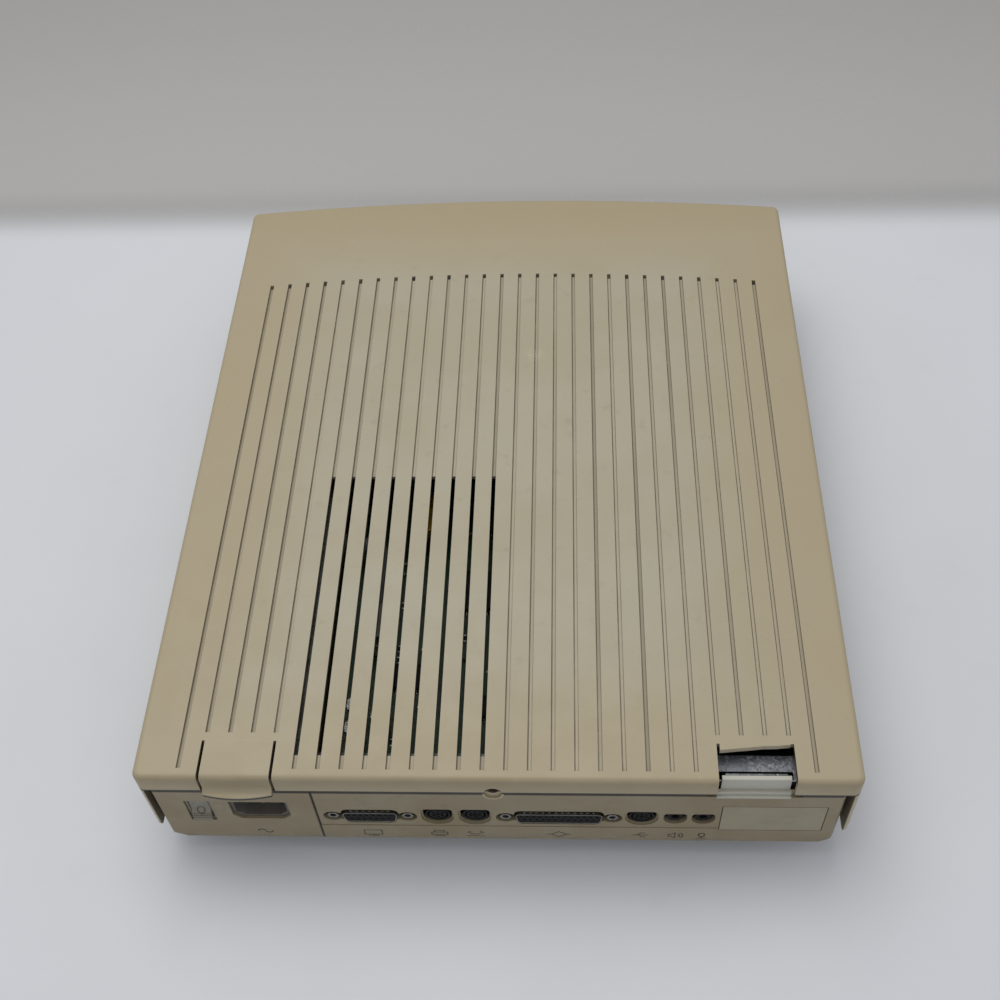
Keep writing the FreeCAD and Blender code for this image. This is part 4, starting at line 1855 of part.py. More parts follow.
def hard_ribbon():
    """Flat cable from the hard drive to the board, with both plugs."""
    x, y, width = HARD_DRIVE_HEADER
    rear_y = HARD_REAR_Y - HARD_PORT_DEPTH / 2
    points = ribbon_route(rear_y, HARD_BODY_Z + HARD_PORT_HEIGHT / 2, HARD_DRIVE_HEADER)
    half = width / 2 - HEADER_WALL - PLUG_WALL
    cable = ribbon(points, RIBBON_BEND_R, x - half, x + half)
    plug = header_plug(x, y, width, HEADER_WIDTH, PLUG_HEIGHT)
    return join([cable, plug])


def drive_power_lead():
    """Four wires in one sleeve from the board to the hard drive's power socket."""
    x, y, width = DRIVE_POWER_HEADER
    top = BOARD_TOP_Z + HEADER_HEIGHT + PLUG_HEIGHT
    rear_y = HARD_REAR_Y - HARD_PORT_DEPTH / 2
    rear_z = HARD_BODY_Z + HARD_PORT_HEIGHT / 2
    reach = LEAD_BEND_R * BEND_CLEAR_SHARE
    turn_z = top + reach
    out_y = rear_y + reach
    points = [V(x, rear_y, rear_z), V(x, out_y, rear_z), V(x, out_y, turn_z), V(x, y, turn_z), V(x, y, top)]
    wire = lead(points, LEAD_BEND_R, LEAD_R)
    plug = header_plug(x, y, width, HEADER_WIDTH, PLUG_HEIGHT)
    return join([wire, plug])


def fan_frame():
    """Square fan housing with a round bore, four screw holes and three struts to the motor cup."""
    y0 = FAN_FRONT_Y
    y1 = FAN_REAR_Y
    half = FAN_SIZE / 2
    body = block(-half, half, y0, y1, FAN_BOTTOM_Z, FAN_BOTTOM_Z + FAN_SIZE)
    along = [e for e in body.Edges if e.BoundBox.YLength > FAN_THICK / 2]
    body = body.makeFillet(FAN_CORNER_R, along)
    bore = rod(FAN_BORE_R, V(0, y0 - CUT_OVERRUN, FAN_Z), V(0, y1 + CUT_OVERRUN, FAN_Z))
    holes = [bore]
    for x in (-FAN_SCREW_PITCH / 2, FAN_SCREW_PITCH / 2):
        for z in (FAN_Z - FAN_SCREW_PITCH / 2, FAN_Z + FAN_SCREW_PITCH / 2):
            holes.append(rod(SCREW_HOLE_R, V(x, y0 - CUT_OVERRUN, z), V(x, y1 + CUT_OVERRUN, z)))
    body = body.cut(holes)
    strut_y0 = y1 - FAN_STRUT_THICK
    cup = rod(FAN_MOTOR_R, V(0, strut_y0, FAN_Z), V(0, y1, FAN_Z))
    pin = rod(FAN_PIN_R, V(0, y0 + FAN_STRUT_THICK, FAN_Z), V(0, y1, FAN_Z))
    parts = [body, cup, pin]
    half_strut = FAN_STRUT_WIDTH / 2
    for index in range(FAN_STRUT_COUNT):
        strut = block(-half_strut, half_strut, strut_y0, y1, FAN_Z, FAN_Z + FAN_BORE_R + RUN_GAP)
        strut.rotate(V(0, 0, FAN_Z), V(0, 1, 0), 360 * index / FAN_STRUT_COUNT)
        parts.append(strut)
    return join(parts)


def fan_rotor():
    """Hub with seven slanted blades; the blades' tips run just inside the housing's bore."""
    y0 = FAN_FRONT_Y + FAN_STRUT_THICK / 2
    y1 = y0 + FAN_HUB_THICK
    hub = rod(FAN_HUB_R, V(0, y0, FAN_Z), V(0, y1, FAN_Z))
    bore_y0 = FAN_FRONT_Y + FAN_STRUT_THICK - TOUCH_GAP
    bore = rod(FAN_PIN_R + RUN_GAP, V(0, bore_y0, FAN_Z), V(0, y1 + CUT_OVERRUN, FAN_Z))
    tip_r = FAN_BORE_R - FAN_TIP_GAP
    middle_y = (y0 + y1) / 2
    blades = []
    low_z = FAN_Z + FAN_HUB_R * FAN_BLADE_ROOT_SHARE
    for index in range(FAN_BLADE_COUNT):
        plate = around(0, middle_y, FAN_BLADE_WIDTH, FAN_BLADE_THICK, low_z, FAN_Z + tip_r)
        plate.rotate(V(0, middle_y, FAN_Z), V(0, 0, 1), FAN_BLADE_PITCH_DEG)
        plate.rotate(V(0, middle_y, FAN_Z), V(0, 1, 0), 360 * index / FAN_BLADE_COUNT)
        blades.append(plate)
    disc = rod(tip_r, V(0, y0, FAN_Z), V(0, y1, FAN_Z))
    return join([hub] + blades).common(disc).cut(bore)


def centre_bracket():
    """Folded sheet that holds the fan upright between the drives, with a round window before it."""
    y1 = FAN_FRONT_Y
    y0 = y1 - BRACKET_SHEET
    half = FAN_SIZE / 2
    upright = block(-half, half, y0, y1, FLOOR_Z, FAN_BOTTOM_Z + FAN_SIZE)
    foot = block(-half, half, y1 - BRACKET_FOOT, y1, FLOOR_Z, FLOOR_Z + BRACKET_SHEET)
    sill_z = FAN_BOTTOM_Z
    sill = block(-half, half, y1, FAN_REAR_Y, sill_z - BRACKET_SHEET, sill_z)
    hole = rod(BRACKET_WINDOW_R, V(0, y0 - CUT_OVERRUN, FAN_Z), V(0, y1 + CUT_OVERRUN, FAN_Z))
    holes = [hole]
    for x in (-FAN_SCREW_PITCH / 2, FAN_SCREW_PITCH / 2):
        for z in (FAN_Z - FAN_SCREW_PITCH / 2, FAN_Z + FAN_SCREW_PITCH / 2):
            holes.append(rod(SCREW_HOLE_R, V(x, y0 - CUT_OVERRUN, z), V(x, y1 + CUT_OVERRUN, z)))
            SCREWS.append(screw(x, y0, z, V(0, 1, 0)))
    return join([upright, foot, sill]).cut(holes)


def speaker_frame():
    """Round basket, rim down on the floor, with the magnet on its back."""
    z0 = FLOOR_Z
    rim_z = z0 + SPEAKER_RIM_THICK
    neck_z = rim_z + SPEAKER_BASKET_HEIGHT
    top_z = neck_z + SPEAKER_MAGNET_HEIGHT
    inner = SPEAKER_R - SPEAKER_RIM
    wall = SPEAKER_WALL
    y = SPEAKER_Y
    profile = [
        V(inner, y, z0),
        V(SPEAKER_R, y, z0),
        V(SPEAKER_R, y, rim_z),
        V(inner + wall, y, rim_z),
        V(SPEAKER_NECK_R + wall, y, neck_z),
        V(SPEAKER_MAGNET_R, y, neck_z),
        V(SPEAKER_MAGNET_R, y, top_z),
        V(0, y, top_z),
        V(0, y, neck_z),
        V(SPEAKER_NECK_R, y, neck_z),
        V(inner, y, rim_z),
    ]
    face = Part.Face(Part.makePolygon(profile + [profile[0]]))
    return face.revolve(V(0, y, z0), V(0, 0, 1), 360)


def speaker_cone():
    """Paper cone inside the basket, its dome at the middle."""
    z0 = FLOOR_Z + SPEAKER_RIM_THICK / 2
    thick = SPEAKER_CONE_THICK
    inner = SPEAKER_R - SPEAKER_RIM - TOUCH_GAP
    neck_z = FLOOR_Z + SPEAKER_RIM_THICK + SPEAKER_BASKET_HEIGHT - TOUCH_GAP - thick
    neck = SPEAKER_NECK_R - SPEAKER_WALL
    y = SPEAKER_Y
    profile = [
        V(0, y, neck_z),
        V(0, y, neck_z - thick),
        V(neck, y, neck_z - thick),
        V(inner, y, z0 - thick),
        V(inner, y, z0),
        V(neck, y, neck_z),
    ]
    face = Part.Face(Part.makePolygon(profile + [profile[0]]))
    return face.revolve(V(0, y, z0), V(0, 0, 1), 360)


def disk_chassis():
    """The disk drive's folded tray, with its rails, spindle boss, screw bearings and guide rod."""
    x = DISK_SLOT_X
    half = DRIVE_WIDTH / 2
    z1 = DRIVE_TOP_Z - COVER_SHEET
    floor = block(x - half, x + half, DRIVE_FRONT_Y, DRIVE_REAR_Y, DRIVE_BOTTOM_Z, DRIVE_FLOOR_Z)
    parts = [floor]
    for side in (-1, 1):
        wall_x = sorted((x + side * half, x + side * (half - DRIVE_SHEET)))
        parts.append(block(wall_x[0], wall_x[1], DRIVE_FRONT_Y, DRIVE_REAR_Y, DRIVE_BOTTOM_Z, z1))
        rail_x = x + side * (SLIDER_OUTER - SLIDER_STRIP / 2)
        rail_x0 = rail_x - RAIL_HALF_WIDTH
        rail_x1 = rail_x + RAIL_HALF_WIDTH
        rail_y1 = SLIDER_REAR_Y + SLIDER_TRAVEL
        rail_z = SLIDER_BOTTOM_Z - RAIL_GAP
        parts.append(block(rail_x0, rail_x1, SLIDER_FRONT_Y, rail_y1, DRIVE_BOTTOM_Z, rail_z))
    boss_z = DRIVE_FLOOR_Z + SPINDLE_BOSS_HEIGHT
    parts.append(rod(SPINDLE_BOSS_R, V(x, SPINDLE_Y, DRIVE_BOTTOM_Z), V(x, SPINDLE_Y, boss_z)))
    low_z = DRIVE_BOTTOM_Z - CUT_OVERRUN
    cuts = [rod(SPINDLE_SHAFT_R + RUN_GAP, V(x, SPINDLE_Y, low_z), V(x, SPINDLE_Y, boss_z + CUT_OVERRUN))]
    top_z = HEAD_AXIS_Z + BEARING_TOP
    front_y0 = LEAD_FRONT_Y - BEARING_THICK
    rear_y1 = LEAD_REAR_Y + BEARING_THICK
    for offset in (-HEAD_SIDE_OFFSET, HEAD_SIDE_OFFSET):
        bearing_x0 = x + offset - BEARING_HALF_WIDTH
        bearing_x1 = x + offset + BEARING_HALF_WIDTH
        parts.append(block(bearing_x0, bearing_x1, front_y0, LEAD_FRONT_Y, DRIVE_BOTTOM_Z, top_z))
        parts.append(block(bearing_x0, bearing_x1, LEAD_REAR_Y, rear_y1, DRIVE_BOTTOM_Z, top_z))
    for pin_x, pin_y in drive_corners(x):
        hole_end = V(pin_x, pin_y, DRIVE_FLOOR_Z + CUT_OVERRUN)
        cuts.append(rod(SCREW_HOLE_R, V(pin_x, pin_y, low_z), hole_end))
    bore_x = x + HEAD_SIDE_OFFSET
    bore_start = V(bore_x, front_y0 - CUT_OVERRUN, HEAD_AXIS_Z)
    bore_end = V(bore_x, rear_y1 + CUT_OVERRUN, HEAD_AXIS_Z)
    cuts.append(rod(LEAD_JOURNAL_R + RUN_GAP, bore_start, bore_end))
    rod_x = x - HEAD_SIDE_OFFSET
    parts.append(rod(GUIDE_ROD_R, V(rod_x, front_y0, HEAD_AXIS_Z), V(rod_x, rear_y1, HEAD_AXIS_Z)))
    socket_half = DISK_SOCKET_WIDTH / 2
    socket_x = DISK_HEADER[0]
    socket_x0 = max(socket_x - socket_half, x - half)
    socket = block(
        socket_x0,
        socket_x + socket_half,
        DRIVE_REAR_Y - DISK_SOCKET_HEIGHT / 2,
        DRIVE_REAR_Y,
        DRIVE_FLOOR_Z,
        DRIVE_FLOOR_Z + DISK_SOCKET_HEIGHT,
    )
    parts.append(socket)
    return join(parts).cut(cuts)


def disk_cover():
    """The disk drive's flat cover, with a long window over the head carriage."""
    x = DISK_SLOT_X
    half = DRIVE_WIDTH / 2
    z0 = DRIVE_TOP_Z - COVER_SHEET
    plate = block(x - half, x + half, DRIVE_FRONT_Y, DRIVE_REAR_Y, z0, DRIVE_TOP_Z)
    opening_half = HEAD_BODY_HALF_WIDTH
    y0 = LEAD_FRONT_Y
    y1 = LEAD_REAR_Y
    opening = block(x - opening_half, x + opening_half, y0, y1, z0 - CUT_OVERRUN, DRIVE_TOP_Z + CUT_OVERRUN)
    return plate.cut(opening)


def disk_tray():
    """The tray that a disk slides into: a folded channel with four side pins."""
    x = DISK_SLOT_X
    half = TRAY_HALF_WIDTH
    sheet = TRAY_SHEET
    y0 = TRAY_FRONT_Y
    y1 = TRAY_REAR_Y
    plate = block(x - half, x + half, y0, y1, TRAY_BOTTOM_Z, TRAY_BOTTOM_Z + sheet)
    hub = rod(TRAY_HUB_WINDOW_R, V(x, SPINDLE_Y, TRAY_BOTTOM_Z - CUT_OVERRUN), V(x, SPINDLE_Y, TRAY_TOP_Z))
    notch_half = TRAY_NOTCH_HALF_WIDTH
    notch_z0 = TRAY_BOTTOM_Z - CUT_OVERRUN
    notch_z1 = TRAY_BOTTOM_Z + sheet + CUT_OVERRUN
    notch = block(x - notch_half, x + notch_half, TRAY_NOTCH_Y, y1 + CUT_OVERRUN, notch_z0, notch_z1)
    parts = [plate.cut([hub, notch])]
    for side in (-1, 1):
        wall = sorted((x + side * half, x + side * (half - sheet)))
        lip = sorted((x + side * half, x + side * (half - TRAY_LIP)))
        parts.append(block(wall[0], wall[1], y0, y1, TRAY_BOTTOM_Z, TRAY_TOP_Z))
        parts.append(block(lip[0], lip[1], y0, y1, TRAY_TOP_Z - sheet, TRAY_TOP_Z))
        for y in TRAY_PIN_YS:
            pin_x = x + side * (half - sheet / 2)
            tip_x = x + side * (half + TRAY_PIN_OUT)
            parts.append(rod(TRAY_PIN_R, V(pin_x, y, TRAY_PIN_Z), V(tip_x, y, TRAY_PIN_Z)))
    return join(parts)


def slider_slot(side, y):
    """The sloped slot that a tray pin runs in: it lowers the pin as the slider moves back."""
    x = DISK_SLOT_X
    x0 = x + side * (SLIDER_INNER - CUT_OVERRUN / 2)
    x1 = x + side * (SLIDER_OUTER + CUT_OVERRUN / 2)
    radius = TRAY_PIN_R + SLIDER_SLOT_GAP
    z = TRAY_PIN_Z
    slope_y = SLIDER_TRAVEL
    slope_z = TRAY_DROP
    length = math.hypot(slope_y, slope_z)
    off_y = radius * slope_z / length
    off_z = radius * slope_y / length
    points = [
        V(x0, y - off_y, z + off_z),
        V(x0, y + off_y, z - off_z),
        V(x0, y - slope_y + off_y, z - slope_z - off_z),
        V(x0, y - slope_y - off_y, z - slope_z + off_z),
    ]
    body = prism(points, V(x1 - x0, 0, 0))
    upper = rod(radius, V(x0, y, z), V(x1, y, z))
    lower = rod(radius, V(x0, y - slope_y, z - slope_z), V(x1, y - slope_y, z - slope_z))
    return join([body, upper, lower])


def eject_slider():
    """The sliding frame round the tray, with four sloped slots."""
    x = DISK_SLOT_X
    sheet = SLIDER_SHEET
    z0 = SLIDER_BOTTOM_Z
    y0 = SLIDER_FRONT_Y
    y1 = SLIDER_REAR_Y
    parts = [block(x - SLIDER_OUTER, x + SLIDER_OUTER, y0, y0 + SLIDER_FRONT_STRIP, z0, z0 + sheet)]
    cuts = []
    for side in (-1, 1):
        strip = sorted((x + side * SLIDER_OUTER, x + side * (SLIDER_OUTER - SLIDER_STRIP)))
        wall = sorted((x + side * SLIDER_OUTER, x + side * SLIDER_INNER))
        parts.append(block(strip[0], strip[1], y0, y1, z0, z0 + sheet))
        parts.append(block(wall[0], wall[1], y0, y1, z0, SLIDER_TOP_Z))
        for y in TRAY_PIN_YS:
            cuts.append(slider_slot(side, y))
    return join(parts).cut(cuts)


def disk_spindle():
    """Shaft, flat rotor and hub with its drive pin."""
    x = DISK_SLOT_X
    y = SPINDLE_Y
    z0 = DRIVE_FLOOR_Z + SPINDLE_BOSS_HEIGHT + TOUCH_GAP
    z1 = z0 + SPINDLE_ROTOR_THICK
    z2 = z1 + SPINDLE_HUB_THICK
    shaft = rod(SPINDLE_SHAFT_R, V(x, y, z0 - SPINDLE_SHAFT_DROP), V(x, y, z2))
    rotor = rod(SPINDLE_ROTOR_R, V(x, y, z0), V(x, y, z1))
    hub = rod(SPINDLE_HUB_R, V(x, y, z1), V(x, y, z2))
    pin_x = x + SPINDLE_PIN_OFFSET
    pin = rod(SPINDLE_PIN_R, V(pin_x, y, z1), V(pin_x, y, z2 + SPINDLE_PIN_HEIGHT))
    return join([shaft, rotor, hub, pin])


def head_carriage():
    """The head carriage: a body on the lead screw and guide rod, with a lower and an upper head arm."""
    x = DISK_SLOT_X
    half = HEAD_BODY_HALF_WIDTH
    body = block(x - half, x + half, HEAD_BODY_FRONT_Y, HEAD_BODY_REAR_Y, HEAD_BODY_BOTTOM_Z, HEAD_BODY_TOP_Z)
    arm_half = HEAD_ARM_HALF_WIDTH
    tip_y = HEAD_BODY_FRONT_Y - HEAD_ARM_REACH
    lower_z = HEAD_LOWER_ARM_Z
    post_y0 = HEAD_BODY_REAR_Y - HEAD_UPPER_POST_DEPTH
    lower = block(x - arm_half, x + arm_half, tip_y, HEAD_BODY_REAR_Y, lower_z, lower_z + HEAD_ARM_THICK)
    post = block(x - arm_half, x + arm_half, post_y0, HEAD_BODY_REAR_Y, HEAD_BODY_TOP_Z, HEAD_UPPER_ARM_Z)
    upper_z = HEAD_UPPER_ARM_Z
    upper = block(x - arm_half, x + arm_half, tip_y, HEAD_BODY_REAR_Y, upper_z, upper_z + HEAD_ARM_THICK)
    button_y = tip_y + HEAD_BUTTON_R
    button = rod(HEAD_BUTTON_R, V(x, button_y, upper_z - HEAD_BUTTON_THICK), V(x, button_y, upper_z))
    y0 = HEAD_BODY_FRONT_Y - CUT_OVERRUN
    y1 = HEAD_BODY_REAR_Y + CUT_OVERRUN
    screw_x = x + HEAD_SIDE_OFFSET
    rod_x = x - HEAD_SIDE_OFFSET
    bores = [
        rod(LEAD_SCREW_R + RUN_GAP, V(screw_x, y0, HEAD_AXIS_Z), V(screw_x, y1, HEAD_AXIS_Z)),
        rod(GUIDE_ROD_R + RUN_GAP, V(rod_x, y0, HEAD_AXIS_Z), V(rod_x, y1, HEAD_AXIS_Z)),
    ]
    return join([body, lower, post, upper, button]).cut(bores)


def lead_screw():
    """The screw between its two bearings, a plain rod with thinner ends."""
    x = DISK_SLOT_X + HEAD_SIDE_OFFSET
    z = HEAD_AXIS_Z
    gap = TOUCH_GAP
    body = rod(LEAD_SCREW_R, V(x, LEAD_FRONT_Y + gap, z), V(x, LEAD_REAR_Y - gap, z))
    front = V(x, LEAD_FRONT_Y - BEARING_THICK, z)
    rear = V(x, LEAD_REAR_Y + BEARING_THICK + LEAD_JOURNAL, z)
    return join([body, rod(LEAD_JOURNAL_R, front, rear)])


def head_motor():
    """The stepping motor behind the rear bearing, with a bore for the screw's journal."""
    x = DISK_SLOT_X + HEAD_SIDE_OFFSET
    z = HEAD_AXIS_Z
    y0 = LEAD_REAR_Y + BEARING_THICK
    can = rod(MOTOR_R - MOTOR_FLANGE, V(x, y0, z), V(x, y0 + MOTOR_LENGTH, z))
    low_z = z - MOTOR_R + MOTOR_FLANGE
    flange = block(x - MOTOR_R, x + MOTOR_R, y0, y0 + MOTOR_FLANGE, low_z, z + MOTOR_R)
    bore_end = y0 + LEAD_JOURNAL + TOUCH_GAP
    bore = rod(LEAD_JOURNAL_R + RUN_GAP, V(x, y0 - CUT_OVERRUN, z), V(x, bore_end, z))
    return join([can, flange]).cut(bore)


def hard_screw_places():
    """Seats of the screws that hold the hard drive in its sled: x, y, z and side."""
    out = HARD_WIDTH / 2 + SLED_MARGIN + SLED_SHEET
    z = HARD_BODY_Z + HARD_SCREW_RISE
    ends = (HARD_FRONT_Y + HARD_SCREW_INSET, HARD_REAR_Y - HARD_SCREW_INSET)
    return [(HARD_X + side * out, y, z, side) for side in (-1, 1) for y in ends]


def hard_drive_sled():
    """The sled under the hard drive: a floor with turned-up sides, a round window and screw holes."""
    half = HARD_WIDTH / 2 + SLED_MARGIN + SLED_SHEET
    y0 = HARD_FRONT_Y
    y1 = HARD_REAR_Y
    z0 = DRIVE_BOTTOM_Z
    floor = block(HARD_X - half, HARD_X + half, y0, y1, z0, z0 + SLED_SHEET)
    parts = [floor]
    for side in (-1, 1):
        wall = sorted((HARD_X + side * half, HARD_X + side * (half - SLED_SHEET)))
        parts.append(block(wall[0], wall[1], y0, y1, z0, z0 + SLED_WALL_HEIGHT))
    middle_y = (y0 + y1) / 2
    low_z = z0 - CUT_OVERRUN
    high_z = z0 + SLED_SHEET + CUT_OVERRUN
    holes = [rod(SLED_WINDOW_R, V(HARD_X, middle_y, low_z), V(HARD_X, middle_y, high_z))]
    for x, y in drive_corners(HARD_X):
        holes.append(rod(SCREW_HOLE_R, V(x, y, low_z), V(x, y, high_z)))
    for x, y, z, side in hard_screw_places():
        inner_x = x - side * (SLED_SHEET + CUT_OVERRUN)
        holes.append(rod(SCREW_HOLE_R, V(x + side * CUT_OVERRUN, y, z), V(inner_x, y, z)))
        SCREWS.append(screw(x, y, z, V(-side, 0, 0)))
    return join(parts).cut(holes)


def hard_drive_board():
    """The circuit board under the hard drive, flat against its casting."""
    half = HARD_WIDTH / 2 - HARD_BOARD_INSET
    y0 = HARD_FRONT_Y + HARD_BOARD_INSET
    y1 = HARD_REAR_Y - HARD_PORT_DEPTH - TOUCH_GAP
    z1 = HARD_BODY_Z
    z0 = z1 - HARD_BOARD_THICK
    return block(HARD_X - half, HARD_X + half, y0, y1, z0, z1)


def hard_drive_body():
    """The sealed casting: ribbed sides, a raised lid with a round hub, sockets at the rear."""
    half = HARD_WIDTH / 2
    y0 = HARD_FRONT_Y
    y1 = HARD_REAR_Y
    z0 = HARD_BODY_Z
    z1 = z0 + HARD_BODY_HEIGHT - HARD_LID_THICK
    casting = block(HARD_X - half, HARD_X + half, y0, y1, z0, z1)
    upright = [e for e in casting.Edges if e.BoundBox.ZLength > (z1 - z0) / 2]
    casting = casting.makeFillet(HARD_CORNER_R, upright)
    inset = HARD_LID_INSET
    lid_top = z1 + HARD_LID_THICK
    lid_y1 = y1 - HARD_LID_REAR_INSET
    lid = block(HARD_X - half + inset, HARD_X + half - inset, y0 + inset, lid_y1, z1, lid_top)
    lid = lid.makeFillet(HARD_CORNER_R, [e for e in lid.Edges if e.BoundBox.ZLength > HARD_LID_THICK / 2])
    hub_y = y0 + HARD_WIDTH / 2
    hub = rod(HARD_HUB_R, V(HARD_X, hub_y, z1), V(HARD_X, hub_y, lid_top + HARD_LID_THICK / 2))
    cuts = []
    pitch = (y1 - y0) / (HARD_RIB_COUNT + 1)
    pocket = HARD_LID_INSET / 2
    pocket_length = pitch * HARD_RIB_GAP_SHARE
    for index in range(HARD_RIB_COUNT):
        y = y0 + pitch * (index + 1)
        for x in (HARD_X - half, HARD_X + half):
            cuts.append(around(x, y, 2 * pocket, pocket_length, z0 + SLED_WALL_HEIGHT, z1 - pocket))
    rear_y = y1 - HARD_PORT_DEPTH
    out_y = y1 + CUT_OVERRUN
    low_z = z0 - CUT_OVERRUN
    high_z = z0 + HARD_PORT_HEIGHT
    port_x = HARD_DRIVE_HEADER[0]
    port_half = HARD_DRIVE_HEADER[2] / 2 - HARD_SOCKET_MARGIN
    cuts.append(block(port_x - port_half, port_x + port_half, rear_y, out_y, low_z, high_z))
    power_x = DRIVE_POWER_HEADER[0]
    power_half = HARD_POWER_WIDTH / 2
    cuts.append(block(power_x - power_half, power_x + power_half, rear_y, out_y, low_z, high_z))
    for x, y, z, side in hard_screw_places():
        tip_x = x - side * (SCREW_LENGTH + RUN_GAP)
        cuts.append(rod(SCREW_R + RUN_GAP, V(x, y, z), V(tip_x, y, z)))
    return join([casting, lid, hub]).cut(cuts)


def machine_screws():
    return group(SCREWS)


def save(name, shape):
    """Write one sub-part, after checking that it is sound."""
    count = len(shape.Solids)
    if not shape.isValid() or count == 0:
        raise ValueError(name + " isn't a sound solid")
    shape.exportStep("parts/" + name + ".step")
    print(name, count, round(shape.Volume / 1000, 2))


save("base_shell", base_shell())
save("lid_shell", lid_shell())
save("latch_tab", latch_tab())
save("rubber_feet", rubber_feet())
save("expansion_cover", expansion_cover())
save("rear_shield", rear_shield())
save("lamp_lens", lamp_lens())
save("psu_case", psu_case())
save("psu_cover", psu_cover())
save("psu_rear_panel", psu_rear_panel())
save("power_inlet", power_inlet())
save("inlet_blades", inlet_blades())
save("switch_frame", switch_frame())
save("power_rocker", power_rocker())
save("psu_board", psu_board())
save("psu_transformer", psu_transformer())
save("supply_lead", supply_lead())
save("logic_board", logic_board())
save("video_shell", d_shell(VIDEO_X, VIDEO_SHELL_WIDTH, VIDEO_SCREW_PITCH))
save("video_contact_block", contact_block(VIDEO_X, VIDEO_SHELL_WIDTH, VIDEO_SCREW_PITCH, VIDEO_LONG_ROW_COUNT))
save("wide_shell", d_shell(WIDE_X, WIDE_SHELL_WIDTH, WIDE_SCREW_PITCH))
save("wide_contact_block", contact_block(WIDE_X, WIDE_SHELL_WIDTH, WIDE_SCREW_PITCH, WIDE_LONG_ROW_COUNT))
save("jackscrews", jackscrews())
save("printer_port", round_port(PRINTER_X))
save("modem_port", round_port(MODEM_X))
save("keyboard_port", round_port(KEYBOARD_X))
save("audio_out_jack", audio_jack(AUDIO_OUT_X))
save("audio_in_jack", audio_jack(AUDIO_IN_X))
save("processor", chip(on_board(PROCESSOR_PLACE_SHARES), PROCESSOR_SIZE, PROCESSOR_HEIGHT))
save("support_chips", support_chips())
save("program_chips", program_chips())
save("memory_sockets", memory_sockets())
save("memory_modules", memory_modules())
save("expansion_socket", expansion_socket())
save("clock_battery", clock_battery())
save("battery_holder", battery_holder())
save("board_capacitors", board_capacitors())
save("timing_crystal", timing_crystal())
save("board_headers", board_headers())
save("fan_frame", fan_frame())
save("fan_rotor", fan_rotor())
save("centre_bracket", centre_bracket())
save("speaker_frame", speaker_frame())
save("speaker_cone", speaker_cone())
save("disk_chassis", disk_chassis())
save("disk_cover", disk_cover())
save("disk_tray", disk_tray())
save("eject_slider", eject_slider())
save("disk_spindle", disk_spindle())
save("head_carriage", head_carriage())
save("lead_screw", lead_screw())
save("head_motor", head_motor())
save("disk_ribbon", disk_ribbon())
save("hard_drive_body", hard_drive_body())
save("hard_drive_board", hard_drive_board())
save("hard_drive_sled", hard_drive_sled())
save("hard_drive_ribbon", hard_ribbon())
save("drive_power_lead", drive_power_lead())
save("machine_screws", machine_screws())
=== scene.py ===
"""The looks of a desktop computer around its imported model: aged plastics, bare metals, marks and small fittings.

Sizes inside the finishes are millimetres. Places and sizes of the pieces are metres, in the frame of the model:
the connector wall faces +Y, the lid's top faces +Z, and the feet stand on z = 0.
"""

import logging
import math
import random
from dataclasses import dataclass
from enum import Enum, auto
from functools import reduce
from typing import Callable, Sequence

import bmesh
import bpy
from mathutils import Euler, Matrix, Vector


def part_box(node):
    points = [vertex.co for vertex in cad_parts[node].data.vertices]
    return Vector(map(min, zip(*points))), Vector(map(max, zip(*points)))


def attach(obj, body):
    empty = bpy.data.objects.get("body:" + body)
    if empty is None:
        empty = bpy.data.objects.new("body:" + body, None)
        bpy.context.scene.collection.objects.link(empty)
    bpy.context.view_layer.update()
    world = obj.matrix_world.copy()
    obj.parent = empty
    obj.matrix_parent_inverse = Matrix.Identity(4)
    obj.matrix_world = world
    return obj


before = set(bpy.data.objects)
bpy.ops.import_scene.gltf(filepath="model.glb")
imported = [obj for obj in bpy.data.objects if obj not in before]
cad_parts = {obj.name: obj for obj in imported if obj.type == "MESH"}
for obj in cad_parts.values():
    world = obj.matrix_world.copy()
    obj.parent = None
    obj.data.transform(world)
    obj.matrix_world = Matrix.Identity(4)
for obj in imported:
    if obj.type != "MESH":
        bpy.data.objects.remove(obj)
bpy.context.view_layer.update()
LOG = logging.getLogger("dressing")
MM = 0.001
Socket = bpy.types.NodeSocket
Obj = bpy.types.Object


# Colours

def linear(code: str) -> tuple:
    """Turns a screen colour into the linear one that shaders take.

    Args:
        code: six hexadecimal digits after a hash.

    Returns:
        Red, green, blue and an alpha of one.
    """
    parts = [int(code[i : i + 2], 16) / 255 for i in (1, 3, 5)]
    return tuple(c / 12.92 if c <= 0.04045 else ((c + 0.055) / 1.055) ** 2.4 for c in parts) + (1.0,)


class Pattern(Enum):
    """What a surface shows besides its grain, patches, grime and painted shade in creases, and wear."""

    PLAIN = auto()
    LID = auto()
    WALL = auto()
    SPANGLE = auto()
    BRUSHED = auto()
    TURNED = auto()
    CAST = auto()
    TRACES = auto()
    MODULE = auto()
    RIBBON = auto()
    CONE = auto()
    CANS = auto()
    STACKED = auto()
    FLOOR = auto()


@dataclass(frozen=True)
class Finish:
    """One real material, its colours in sRGB and its pattern sizes in millimetres."""

    name: str
    base: str
    tone: str
    dirt_and_shade: str
    rough: tuple = (0.42, 0.58)
    metal: float = 0.0
    mottle: float = 30.0
    grain: float = 0.6
    relief: float = 0.012
    grime_and_shade: float = 0.45
    wear: float = 0.22
    edge: float = 0.5
    pattern: Pattern = Pattern.PLAIN
    pitch: float = 1.27
    accent: str = "#B8962F"
    sockets: tuple = ()


